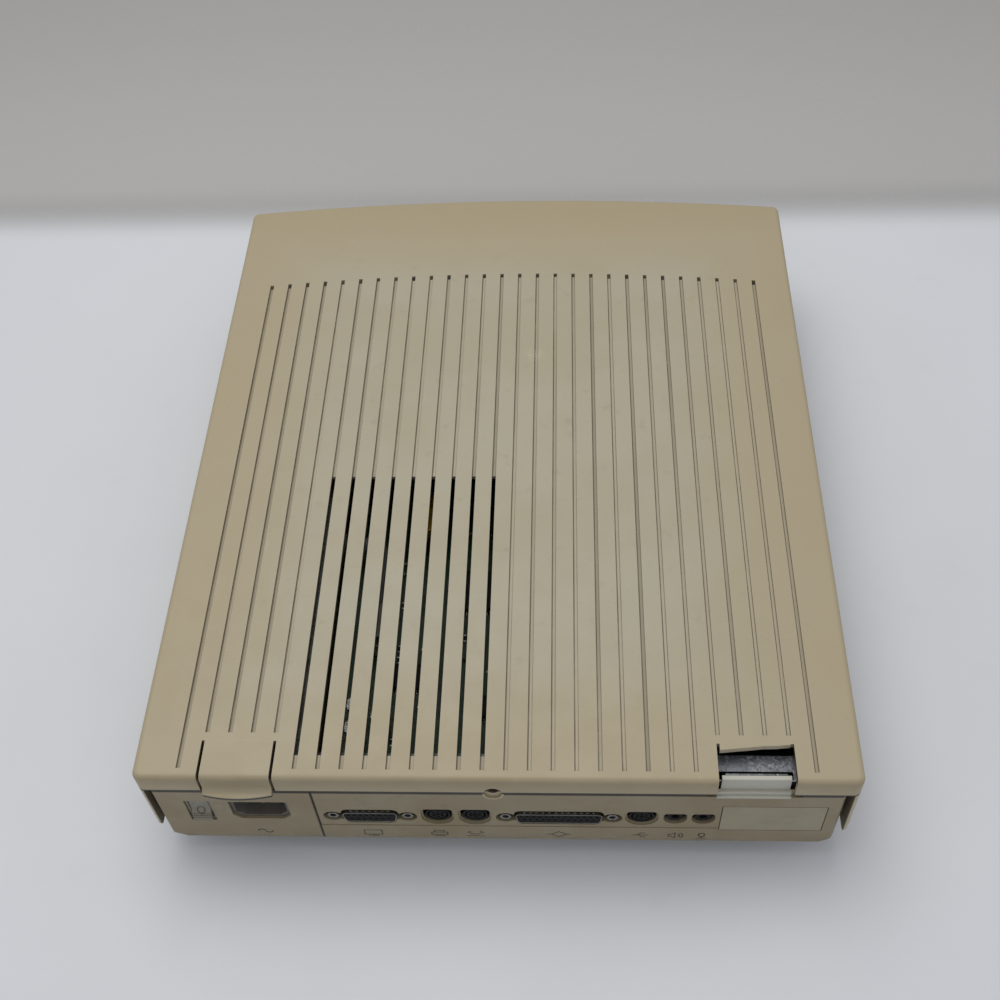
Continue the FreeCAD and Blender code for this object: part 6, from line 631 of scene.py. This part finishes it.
def start(kind: str, name: str, **args) -> Obj:
    """Adds a primitive as the start of a piece.

    Args:
        kind: plane, cube, circle, cylinder, torus or uv_sphere.
        name: the piece's name.
        args: the primitive's size and place.

    Returns:
        The new object, its place and size taken into its mesh.
    """
    bpy.ops.object.select_all(action="DESELECT")
    scale = args.pop("scale", None)
    getattr(bpy.ops.mesh, f"primitive_{kind}_add")(**args)
    obj = bpy.context.object
    obj.name = obj.data.name = name
    if scale:
        obj.scale = scale
    bpy.ops.object.transform_apply(location=True, rotation=True, scale=True)
    return obj


def block(kind: str, name: str, size: Sequence, turn: Matrix) -> Obj:
    """Starts a unit plane or cube, stretched to a size and then moved.

    Args:
        kind: plane or cube.
        name: the piece's name.
        size: its lengths along x, y and z in metres, or 1 along a plane's normal.
        turn: where it goes.

    Returns:
        The new object.
    """
    obj = start(kind, name, size=1.0, location=(0, 0, 0))
    obj.data.transform(turn @ Matrix.Diagonal((*size, 1)))
    return obj


class Edit:
    """Edit mode on one piece, its elements picked by place or normal."""

    def __init__(self, obj: Obj, mode: str = "FACE") -> None:
        self.obj, self.mode = obj, mode

    def __enter__(self) -> "Edit":
        alone(self.obj)
        bpy.ops.object.mode_set(mode="EDIT")
        bpy.ops.mesh.select_mode(type=self.mode)
        return self

    def __exit__(self, *_) -> None:
        bpy.ops.object.mode_set(mode="OBJECT")

    def pick(self, test: Callable) -> int:
        """Selects the elements that pass a test.

        Args:
            test: takes an element and says whether it is wanted.

        Returns:
            How many were picked.
        """
        bpy.ops.mesh.select_all(action="DESELECT")
        mesh = bmesh.from_edit_mesh(self.obj.data)
        mesh.normal_update()
        items = {"FACE": mesh.faces, "EDGE": mesh.edges, "VERT": mesh.verts}[self.mode]
        wanted = [item for item in items if test(item)]
        for item in wanted:
            item.select_set(True)
        bmesh.update_edit_mesh(self.obj.data)
        return len(wanted)

    def everything(self) -> None:
        """Selects all there is."""
        bpy.ops.mesh.select_all(action="SELECT")

    def towards(self, axis: int, sign: int = 1) -> None:
        """Selects the faces that look along x, y or z, given as 0, 1 or 2, or against it."""
        self.pick(lambda face: face.normal[axis] * sign > 0.9)

    def extrude(self, by: Sequence) -> None:
        """Pushes the picked faces out along a vector."""
        bpy.ops.mesh.extrude_region_move(TRANSFORM_OT_translate={"value": tuple(by)})

    def inset(self, width: float, depth: float = 0.0) -> None:
        """Insets the picked faces."""
        bpy.ops.mesh.inset(thickness=width, depth=depth)

    def plate(self, thick: float, rim: float, depth: float = 0.0, axis: int = 2) -> None:
        """Turns a flat start into a thin plate along an axis, and insets its face.

        Args:
            thick: the plate's thickness in metres.
            rim: the inset's width.
            depth: how far the inset face rises.
            axis: 0, 1 or 2 for x, y or z.
        """
        self.everything()
        self.extrude([thick if k == axis else 0.0 for k in range(3)])
        self.towards(axis)
        self.inset(rim, depth)


def soften(obj: Obj, width: float, segments: int = 2, angle: float = 35.0) -> None:
    """Rounds the sharp edges of a piece and applies that.

    Args:
        obj: the piece.
        width: the rounding in metres.
        segments: steps across it.
        angle: the least turn, in degrees, that counts as sharp.
    """
    alone(obj)
    bevel = obj.modifiers.new("Bevel", "BEVEL")
    bevel.width, bevel.segments, bevel.limit_method = width, segments, "ANGLE"
    bevel.angle_limit = math.radians(angle)
    bpy.ops.object.modifier_apply(modifier=bevel.name)
    bpy.ops.object.shade_smooth_by_angle(angle=math.radians(40))


def copies(obj: Obj, turns: Sequence[Matrix], name: str) -> Obj:
    """Copies a piece to many places, each copy with its own mesh, and joins them.

    Args:
        obj: the piece that is copied and then removed.
        turns: where each copy goes.
        name: the joined piece's name.

    Returns:
        The joined piece.
    """
    twins = []
    for turn in turns:
        twin = obj.copy()
        twin.data = obj.data.copy()
        twin.data.transform(turn)
        bpy.context.collection.objects.link(twin)
        twins.append(twin)
    bpy.data.objects.remove(obj)
    return merge(twins, name)


def merge(pieces: Sequence[Obj], name: str) -> Obj:
    """Joins pieces into one and names it."""
    bpy.ops.object.select_all(action="DESELECT")
    for piece in pieces:
        piece.select_set(True)
    bpy.context.view_layer.objects.active = pieces[0]
    if len(pieces) > 1:
        bpy.ops.object.join()
    pieces[0].name = pieces[0].data.name = name
    return pieces[0]


def islands(node: str) -> list[tuple[Vector, Vector]]:
    """The separate solids of a CAD node.

    Args:
        node: the node's name.

    Returns:
        The low and the high corner of each, in metres, from low x to high x.
    """
    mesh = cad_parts[node].data
    owner = list(range(len(mesh.vertices)))
    spots = {}
    for v in mesh.vertices:
        spots.setdefault(tuple(round(c, 6) for c in v.co), v.index)

    def root(i: int) -> int:
        while owner[i] != i:
            owner[i] = owner[owner[i]]
            i = owner[i]
        return i

    for v in mesh.vertices:
        owner[root(v.index)] = root(spots[tuple(round(c, 6) for c in v.co)])
    for edge in mesh.edges:
        owner[root(edge.vertices[0])] = root(edge.vertices[1])
    found = {}
    for v in mesh.vertices:
        found.setdefault(root(v.index), []).append(v.co)
    boxes = [
        (Vector([min(c[k] for c in cs) for k in range(3)]), Vector([max(c[k] for c in cs) for k in range(3)]))
        for cs in found.values()
    ]
    return sorted(boxes, key=lambda b: (round(b[0].x, 4), round(b[0].y, 4)))


def land(node: str, x: float, z: float) -> tuple[Vector, Vector]:
    """Where a line from behind meets a CAD node, and the surface's normal there."""
    hit, spot, normal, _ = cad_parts[node].ray_cast(Vector((x, 0.4, z)), Vector((0, -1, 0)))
    if not hit:
        raise ValueError(f"nothing of {node} at x {x}, z {z}")
    return spot, normal


class Kit:
    """Keeps the finished materials and puts pieces on their bodies."""

    def __init__(self) -> None:
        self.made: dict[str, bpy.types.Material] = {}
        self.count = 0

    def material(self, key: str) -> bpy.types.Material:
        """The material of a finish, made at first use."""
        if key not in self.made:
            self.made[key] = dress(FINISHES[key])
        return self.made[key]

    def clad(self) -> None:
        """Gives each carried-over CAD node its finish."""
        for key, nodes in NODE_FINISH.items():
            for node in nodes:
                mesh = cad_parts[node].data
                mesh.materials.clear()
                mesh.materials.append(self.material(key))
                LOG.info("node %s in %s", node, FINISHES[key].name)

    def place(self, obj: Obj, body: str, key: str, slot: str) -> None:
        """Finishes a new piece.

        Args:
            obj: the piece.
            body: the CAD body that it moves with.
            key: its finish.
            slot: the record's material slot, not used.
        """
        obj.data.materials.clear()
        obj.data.materials.append(self.material(key))
        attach(obj, body)
        self.count += 1
        LOG.info("piece %s on %s, %d faces", obj.name, body, len(obj.data.polygons))


# The marks on the connector wall

@dataclass(frozen=True)
class Stroke:
    """A straight pen line between two points, in millimetres from the mark's middle, as seen from behind."""

    x0: float
    z0: float
    x1: float
    z1: float


def loop(points: Sequence[tuple]) -> tuple:
    """A closed outline of pen lines."""
    return tuple(Stroke(*a, *b) for a, b in zip(points, tuple(points[1:]) + (points[0],)))


def arc(radius: float, first: float, last: float, steps: int, x: float = 0.0, z: float = 0.0) -> tuple:
    """A round pen line as short straight ones, angles in degrees."""
    angles = [math.radians(first + (last - first) * i / steps) for i in range(steps + 1)]
    points = [(x + radius * math.cos(a), z + radius * math.sin(a)) for a in angles]
    return tuple(Stroke(*a, *b) for a, b in zip(points, points[1:]))


MARKS = {
    "mark_display": (56.7, 20.6, loop(((-4, -1.9), (4, -1.9), (4, 2.6), (-4, 2.6)))
                     + (Stroke(-2.2, -3.0, 2.2, -3.0), Stroke(0, -3.0, 0, -1.9))),
    "mark_printer": (26.6, 20.6, loop(((-3.6, -1.6), (3.6, -1.6), (3.6, 1.0), (-3.6, 1.0)))
                     + (Stroke(-2.2, 1.0, -2.2, 2.8), Stroke(-2.2, 2.8, 2.2, 2.8), Stroke(2.2, 2.8, 2.2, 1.0),
                        Stroke(-2.4, -2.8, 2.4, -2.8))),
    "mark_handset": (10.3, 20.6, arc(3.1, 200, 340, 7, 0, 2.2)
                     + (Stroke(-3.6, 1.1, -2.2, 2.3), Stroke(3.6, 1.1, 2.2, 2.3), Stroke(-3.9, -2.6, 3.9, -2.6))),
    "mark_diamond": (-27.2, 20.6, loop(((-3.4, 0), (0, -2.7), (3.4, 0), (0, 2.7)))
                     + (Stroke(-5.2, 0, -3.4, 0), Stroke(3.4, 0, 5.2, 0))),
    "mark_plug": (-63.6, 20.6, (Stroke(-3.4, 0, 3.4, 0), Stroke(-1.6, 0, 0.2, 2.3), Stroke(0.2, 2.3, 1.8, 2.3),
                                Stroke(-0.8, 0, 0.8, -2.3), Stroke(0.8, -2.3, 2.2, -2.3))),
    "mark_speaker": (-78.6, 20.6, loop(((-2.6, -1.0), (-1.4, -1.0), (0.4, -2.6), (0.4, 2.6), (-1.4, 1.0),
                                        (-2.6, 1.0)))
                     + arc(1.9, -50, 50, 4, 0.6) + arc(3.3, -50, 50, 5, 0.6)),
    "mark_microphone": (-90.8, 20.6, arc(1.3, 0, 180, 6, 0, 1.2) + arc(1.3, 180, 360, 6, 0, 0.2)
                        + (Stroke(-1.3, 0.2, -1.3, 1.2), Stroke(1.3, 0.2, 1.3, 1.2), Stroke(0, -1.2, 0, -2.8),
                           Stroke(-1.6, -2.8, 1.6, -2.8))),
    "mark_mains": (106.0, 20.8, arc(1.7, 180, 20, 7, -1.65, -0.1) + arc(1.7, 200, 360, 7, 1.55, 0.1)),
}


@dataclass
class WallMarks:
    """Thin moulded signs below the ports."""

    kit: Kit
    pen: float = 0.5 * MM
    proud: float = 0.05 * MM

    def stroke(self, line: Stroke, x: float, y: float, z: float) -> Obj:
        """One pen line as a thin bar with rounded rims on the wall."""
        dx, dz = -(line.x1 - line.x0) * MM, (line.z1 - line.z0) * MM
        long = math.hypot(dx, dz) + self.pen
        middle = Vector((x - (line.x0 + line.x1) / 2 * MM, y, z + (line.z0 + line.z1) / 2 * MM))
        lean = Matrix.Rotation(-math.atan2(dz, dx), 4, "Y") @ Matrix.Rotation(-math.pi / 2, 4, "X")
        bar = block("plane", "stroke", (long, self.pen, 1), Matrix.Translation(middle) @ lean)
        with Edit(bar) as edit:
            edit.plate(self.proud, self.pen * 0.2, axis=1)
        return bar

    def build(self) -> None:
        """Makes every sign."""
        for name, (x, z, lines) in MARKS.items():
            node = "psu_rear_panel" if name == "mark_mains" else "base_shell"
            spot, _ = land(node, x * MM, z * MM)
            bars = [self.stroke(line, x * MM, spot.y, z * MM) for line in lines]
            self.kit.place(merge(bars, name), "base", "mark", "grey_beige_plastic")


@dataclass
class SwitchMark:
    """The ring mark on the rocker."""

    kit: Kit
    half_width: float = 1.9 * MM
    half_height: float = 2.4 * MM
    line: float = 0.5 * MM
    proud: float = 0.05 * MM
    x: float = 131.6 * MM
    z: float = 40.4 * MM

    def build(self) -> None:
        """Makes the ring and lays it on the rocker's curved face."""
        ring = start("circle", "rocker_ring", vertices=40, radius=self.half_width, fill_type="NGON",
                     rotation=(-math.pi / 2, 0, 0))
        with Edit(ring) as edit:
            edit.everything()
            bpy.ops.transform.resize(value=(1, 1, self.half_height / self.half_width))
            edit.inset(self.line)
            edit.pick(lambda f: len(f.verts) > 4)
            bpy.ops.mesh.delete(type="FACE")
            edit.everything()
            edit.extrude((0, self.proud, 0))
        for v in ring.data.vertices:
            spot, _ = land("power_rocker", self.x + v.co.x, self.z + v.co.z)
            v.co = Vector((spot.x, spot.y + v.co.y + 0.01 * MM, spot.z))
        self.kit.place(ring, "rocker", "mark", "grey_moulding")


@dataclass
class GroovePits:
    """A thin dark plate at the front end of every groove of the lid: painted shade where the groove ends."""

    kit: Kit
    half_width: float = 0.9 * MM
    lift: float = 0.02 * MM

    def build(self) -> None:
        """Makes the dark plates and lays them on the groove floors."""
        dice = random.Random(5)
        pits = []
        start_y, bow, half = GROOVE_FRONT
        for index in range(GROOVE_COUNT):
            x = GROOVE_PITCH * ((GROOVE_COUNT - 1) / 2 - index)
            y = start_y + bow * (x / half) ** 2
            long = dice.uniform(1.7, 2.9) * MM
            pit = start("circle", "pit", vertices=20, radius=self.half_width, fill_type="NGON",
                        location=(x * MM, y * MM + self.half_width, GROOVE_FLOOR * MM))
            with Edit(pit) as edit:
                edit.plate(self.lift, self.half_width * 0.25, self.lift / 2)
            middle = y * MM + self.half_width
            for v in pit.data.vertices:
                if v.co.y > middle:
                    v.co.y += long - 2 * self.half_width
            pits.append(pit)
        self.kit.place(merge(pits, "groove_sinks"), "lid", "sink", "grey_beige_plastic")


@dataclass
class Contacts:
    """Gilt sockets in the two D connectors and a row of dimples on each shell."""

    kit: Kit
    pitch: float = 2.77 * MM
    row_pitch: float = 2.84 * MM
    port_z: float = 37.0 * MM
    tip: float = 186.3 * MM
    sunk: float = 1.4 * MM
    dimple_rise: float = 4.2 * MM

    def socket(self) -> Obj:
        """One tube that lines a contact hole, open towards +Y."""
        tube = start("cylinder", "socket", vertices=12, radius=0.5 * MM, depth=2.0 * MM, end_fill_type="NGON",
                     rotation=(math.pi / 2, 0, 0))
        with Edit(tube) as edit:
            edit.towards(1)
            edit.inset(0.14 * MM)
            edit.extrude((0, -1.6 * MM, 0))
        return tube

    def dimple(self) -> Obj:
        """One shallow pressed boss that faces +Z."""
        boss = start("circle", "dimple", vertices=12, radius=0.65 * MM, fill_type="NGON")
        with Edit(boss) as edit:
            edit.plate(0.1 * MM, 0.2 * MM, 0.08 * MM)
        soften(boss, 0.04 * MM, 2)
        return boss

    def build(self) -> None:
        """Puts sockets and dimples in both connectors."""
        for name, x, long_row in (("video", 56.3 * MM, 8), ("wide", -27.3 * MM, 13)):
            turns = []
            for row, count in ((0.5, long_row), (-0.5, long_row - 1)):
                z = self.port_z + row * self.row_pitch
                for i in range(count):
                    spot = (x + (i - (count - 1) / 2) * self.pitch, self.tip - self.sunk, z)
                    turns.append(Matrix.Translation(spot))
            self.kit.place(copies(self.socket(), turns, f"{name}_sockets"), "base", "gold", "machined_steel")
            y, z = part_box(f"{name}_shell")[1][1] - self.sunk, self.port_z + self.dimple_rise
            spots = [Matrix.Translation((x + (i - (long_row - 2) / 2) * self.pitch, y, z))
                     for i in range(long_row - 1)]
            dimples = copies(self.dimple(), spots, f"{name}_shell_dimples")
            self.kit.place(dimples, "base", "plated", "machined_steel")


@dataclass
class EjectorMarks:
    """Round ejector marks under the lid, as left by the mould."""

    kit: Kit
    under: float = 70.7 * MM
    radius: float = 4.0 * MM
    columns: tuple = (-130, -70, 70, 130)
    rows: tuple = (-150, -95, -40, 15)

    def build(self) -> None:
        """Lays shallow rings on the lid's underside."""
        ring = start("circle", "ejector", vertices=28, radius=self.radius, fill_type="NGON",
                     rotation=(math.pi, 0, 0))
        with Edit(ring) as edit:
            edit.everything()
            edit.inset(0.45 * MM)
            edit.pick(lambda f: len(f.verts) > 4)
            edit.inset(0.2 * MM, -0.06 * MM)
            edit.pick(lambda f: len(f.verts) == 4)
            edit.extrude((0, 0, -0.08 * MM))
        spots = [Matrix.Translation((x * MM, y * MM, self.under))
                 for x in self.columns for y in self.rows]
        self.kit.place(copies(ring, spots, "lid_ejector_marks"), "lid", "lid", "grey_beige_plastic")


@dataclass
class PinOneDots:
    """The round dimple beside the first leg of each chip."""

    kit: Kit

    def build(self) -> None:
        """Puts one dot in a corner of each chip's top."""
        turns = []
        for node in ("processor", "support_chips", "program_chips"):
            for low, high in islands(node):
                inset = min(high.x - low.x, high.y - low.y) * 0.17
                turns.append(Matrix.Translation((low.x + inset, high.y - inset, high.z)))
        dot = start("circle", "dot", vertices=20, radius=0.75 * MM, fill_type="NGON")
        with Edit(dot) as edit:
            edit.plate(0.03 * MM, 0.18 * MM, -0.02 * MM)
        self.kit.place(copies(dot, turns, "chip_dots"), "base", "black", "chip_resin")


# Fittings on the logic board

@dataclass
class Legs:
    """Tinned legs that carry a chip's body on the board."""

    kit: Kit
    node: str
    pitch: float
    sides: str
    reach: float = 1.3 * MM
    width: float = 0.5 * MM
    thick: float = 0.2 * MM
    board: float = 29.8 * MM

    def leg(self, height: float) -> Obj:
        """One leg that leaves a wall at x = 0 towards +X, bends down and ends in a flat foot."""
        top = self.board + height
        out = self.reach * 0.35
        leg = block("cube", "leg", (out, self.width, self.thick), Matrix.Translation((out / 2, 0, top)))
        with Edit(leg) as edit:
            edit.towards(0)
            edit.extrude((self.reach * 0.3, 0, -height + self.thick / 2))
            edit.extrude((self.reach * 0.35, 0, 0))
        soften(leg, self.thick * 0.2, 1)
        return leg

    def build(self) -> None:
        """Puts legs along the sides of each chip of the node."""
        for index, (low, high) in enumerate(islands(self.node)):
            middle = (low + high) / 2
            turns = []
            for side in self.sides:
                across, along = (0, 1) if side in "+-" else (1, 0)
                sign = 1 if side in "+^" else -1
                room = (high[along] - low[along]) - 2.2 * MM
                count = int(room / self.pitch) + 1
                for i in range(count):
                    shift = (i - (count - 1) / 2) * self.pitch
                    angle = (0 if sign > 0 else math.pi) if across == 0 else sign * math.pi / 2
                    spot = Vector((0, 0, 0))
                    spot[across] = high[across] if sign > 0 else low[across]
                    spot[along] = middle[along] + shift
                    turns.append(Matrix.Translation(spot) @ Matrix.Rotation(angle, 4, "Z"))
            height = (high.z - low.z) * 0.42
            legs = copies(self.leg(height), turns, f"{self.node}_legs_{index}")
            self.kit.place(legs, "base", "tin", "machined_steel")


@dataclass
class SmallParts:
    """Chip resistors and chip capacitors in the board's free places."""

    kit: Kit
    board: float = 29.8 * MM
    keep: float = 2.2 * MM
    low: float = 3.0 * MM
    grid: float = 6.35 * MM
    columns: range = range(-22, 12)
    rows: range = range(-1, 28)
    filled: float = 0.36
    pale: float = 0.45

    def blocked(self) -> list:
        """Boxes of all that stands on the board."""
        names = [
            "processor", "support_chips", "program_chips", "memory_sockets", "memory_modules", "expansion_socket",
            "battery_holder", "board_capacitors", "timing_crystal", "board_headers", "video_contact_block",
            "wide_contact_block", "printer_port", "modem_port", "keyboard_port", "audio_out_jack", "audio_in_jack",
            "supply_lead", "disk_ribbon", "hard_drive_ribbon", "drive_power_lead", "machine_screws", "fan_frame",
            "centre_bracket", "disk_chassis", "hard_drive_sled", "psu_case", "rear_shield", "video_shell",
            "wide_shell",
        ]
        return [box for name in names for box in islands(name)]

    def free(self, spot: Vector, boxes: list) -> bool:
        """Whether nothing stands at a place."""
        for low, high in boxes:
            near = all(low[k] - self.keep < spot[k] < high[k] + self.keep for k in range(2))
            if near and low.z < self.board + self.low:
                return False
        return True

    def part(self, size: tuple, name: str) -> Obj:
        """One chip part, with end caps as steps in its outline."""
        body = block("cube", name, size, Matrix.Translation((0, 0, self.board + size[2] / 2)))
        with Edit(body) as edit:
            edit.pick(lambda f: abs(f.normal.x) > 0.9)
            edit.inset(0.08 * MM, 0.04 * MM)
        soften(body, 0.06 * MM, 2)
        return body

    def cap(self, size: tuple) -> Obj:
        """The tinned ends of one chip part."""
        ends = []
        for sign in (-1, 1):
            at = Matrix.Translation((sign * size[0] / 2, 0, self.board + size[2] / 2))
            end = block("cube", "end", (size[0] * 0.24, size[1] * 1.04, size[2] * 1.06), at)
            with Edit(end) as edit:
                edit.towards(2, -1)
                bpy.ops.transform.resize(value=(1.25, 1.15, 1))
            soften(end, 0.08 * MM, 2)
            ends.append(end)
        return merge(ends, "part_ends")

    def build(self) -> None:
        """Scatters the parts in rows on the free places."""
        boxes = self.blocked()
        dice = random.Random(11)
        spots = {"resin": [], "ceramic": []}
        for i in self.columns:
            for j in self.rows:
                spot = Vector((i * self.grid, j * self.grid, 0))
                if dice.random() < self.filled and self.free(spot, boxes):
                    turn = Matrix.Rotation(math.pi / 2 * dice.randrange(2), 4, "Z")
                    key = "ceramic" if dice.random() < self.pale else "resin"
                    spots[key].append(Matrix.Translation(spot) @ turn)
        for key, size in (("resin", (3.2 * MM, 1.6 * MM, 0.6 * MM)), ("ceramic", (2.0 * MM, 1.3 * MM, 1.0 * MM))):
            parts = copies(self.part(size, key), spots[key], f"chip_parts_{key}")
            self.kit.place(parts, "base", key, "chip_resin")
            ends = copies(self.cap(size), spots[key], f"chip_part_ends_{key}")
            self.kit.place(ends, "base", "tin", "machined_steel")


@dataclass
class ScrewDrives:
    """Flat near-black crosses on the heads of the machine screws: painted shade of cross recesses."""

    kit: Kit
    arm: float = 0.72
    wide: float = 0.2
    lift: float = 0.02 * MM

    def cross(self, radius: float) -> Obj:
        """One cross that faces +Z at the origin."""
        arms = []
        for turn in (0, math.pi / 2):
            size = (2 * radius * self.arm, 2 * radius * self.wide, 1)
            bar = block("plane", "arm", size, Matrix.Rotation(turn, 4, "Z"))
            with Edit(bar) as edit:
                edit.plate(self.lift, radius * 0.05)
            arms.append(bar)
        return merge(arms, "cross")

    def build(self) -> None:
        """Puts a cross on the open end of every screw that stands upright."""
        turns = []
        radius = None
        for low, high in islands("machine_screws"):
            size = high - low
            if abs(size.x - size.y) < 0.2 * MM:
                radius = radius or size.x / 2
                angle = 0.6 * len(turns)
                spot = Vector(((low.x + high.x) / 2, (low.y + high.y) / 2, high.z + 0.005 * MM))
                turns.append(Matrix.Translation(spot) @ Matrix.Rotation(angle, 4, "Z"))
        if turns:
            recess_shades = copies(self.cross(radius), turns, "screw_recess_shades")
            self.kit.place(recess_shades, "base", "hollow", "machined_steel")


@dataclass
class Studio:
    """Table, light and camera."""

    kit: Kit
    table_size: float = 24.0
    rim: float = 10 * MM
    sky: float = 0.57
    eye: tuple = (-0.03149, 0.43516, 0.58146)
    tilt: tuple = (38.1446, 2.4107, -178.3325)
    lens: float = 47.564

    def table(self) -> None:
        """A wide pale sheet with a turned-down rim."""
        sheet = start("plane", "table_sheet", size=self.table_size, location=(0, 0, 0))
        with Edit(sheet, "EDGE") as edit:
            edit.everything()
            edit.extrude((0, 0, -self.rim))
        sheet.data.materials.append(self.kit.material("floor"))

    def lamp(self, name: str, where: tuple, aim: tuple, size: float, power: float, tint: str = "#FFFFFF") -> None:
        """One soft box."""
        data = bpy.data.lights.new(name, "AREA")
        data.size, data.energy = size, power
        data.color = linear(tint)[:3]
        lamp = bpy.data.objects.new(name, data)
        bpy.context.collection.objects.link(lamp)
        lamp.location = where
        lamp.rotation_euler = (Vector(aim) - Vector(where)).to_track_quat("-Z", "Y").to_euler()

    def light(self) -> None:
        """A large soft box over the front, a weak one behind and a plain sky."""
        self.lamp("overhead", (0.16, -0.16, 1.2), (0, 0, 0), 0.9, 6.9, "#FFFDF8")
        self.lamp("fill", (-0.6, 1.3, 0.9), (0, 0.1, 0.03), 1.2, 1.2, "#F4F8FF")
        world = bpy.data.worlds.new("studio")
        bpy.context.scene.world = world
        world.use_nodes = True
        tree = world.node_tree
        tree.nodes.clear()
        rays = add_node(tree, "LightPath").node.outputs
        shone = add_node(tree, "Math", {0: rays["Is Glossy Ray"], 1: rays["Is Transmission Ray"]},
                         operation="MAXIMUM")
        seen = add_node(tree, "Math", {0: rays["Is Camera Ray"], 1: shone}, operation="MAXIMUM")
        sky = add_node(tree, "Background", {"Color": linear("#F2F5FA"), "Strength": self.sky})
        back = add_node(tree, "Background", {"Color": linear("#BFC0C3"), "Strength": 1.0})
        blend = add_node(tree, "MixShader", {0: seen, 1: sky, 2: back})
        add_node(tree, "OutputWorld", {"Surface": blend})

    def camera(self) -> None:
        """The photograph's view, from above and behind the connector wall."""
        data = bpy.data.cameras.new("view")
        data.lens, data.sensor_width = self.lens, 36.0
        data.clip_start, data.clip_end = 0.02, 20.0
        camera = bpy.data.objects.new("view", data)
        bpy.context.collection.objects.link(camera)
        camera.location = self.eye
        camera.rotation_euler = Euler([math.radians(a) for a in self.tilt])
        bpy.context.scene.camera = camera

    def build(self) -> None:
        """Sets the stage."""
        self.table()
        self.light()
        self.camera()
        bpy.context.scene.view_settings.view_transform = "Standard"


def main() -> None:
    """Clads the CAD nodes, adds the new pieces and sets the stage."""
    logging.basicConfig(level=logging.INFO, format="%(message)s")
    kit = Kit()
    kit.clad()
    WallMarks(kit).build()
    SwitchMark(kit).build()
    Legs(kit, "processor", 1.27 * MM, "+-^v", reach=1.1 * MM).build()
    Legs(kit, "support_chips", 1.27 * MM, "+-^v", reach=1.1 * MM).build()
    Legs(kit, "program_chips", 2.54 * MM, "+-", reach=1.0 * MM, width=0.9 * MM).build()
    SmallParts(kit).build()
    ScrewDrives(kit).build()
    GroovePits(kit).build()
    Contacts(kit).build()
    EjectorMarks(kit).build()
    PinOneDots(kit).build()
    Studio(kit).build()
    LOG.info("%d new pieces", kit.count)


if __name__ == "__main__":
    main()
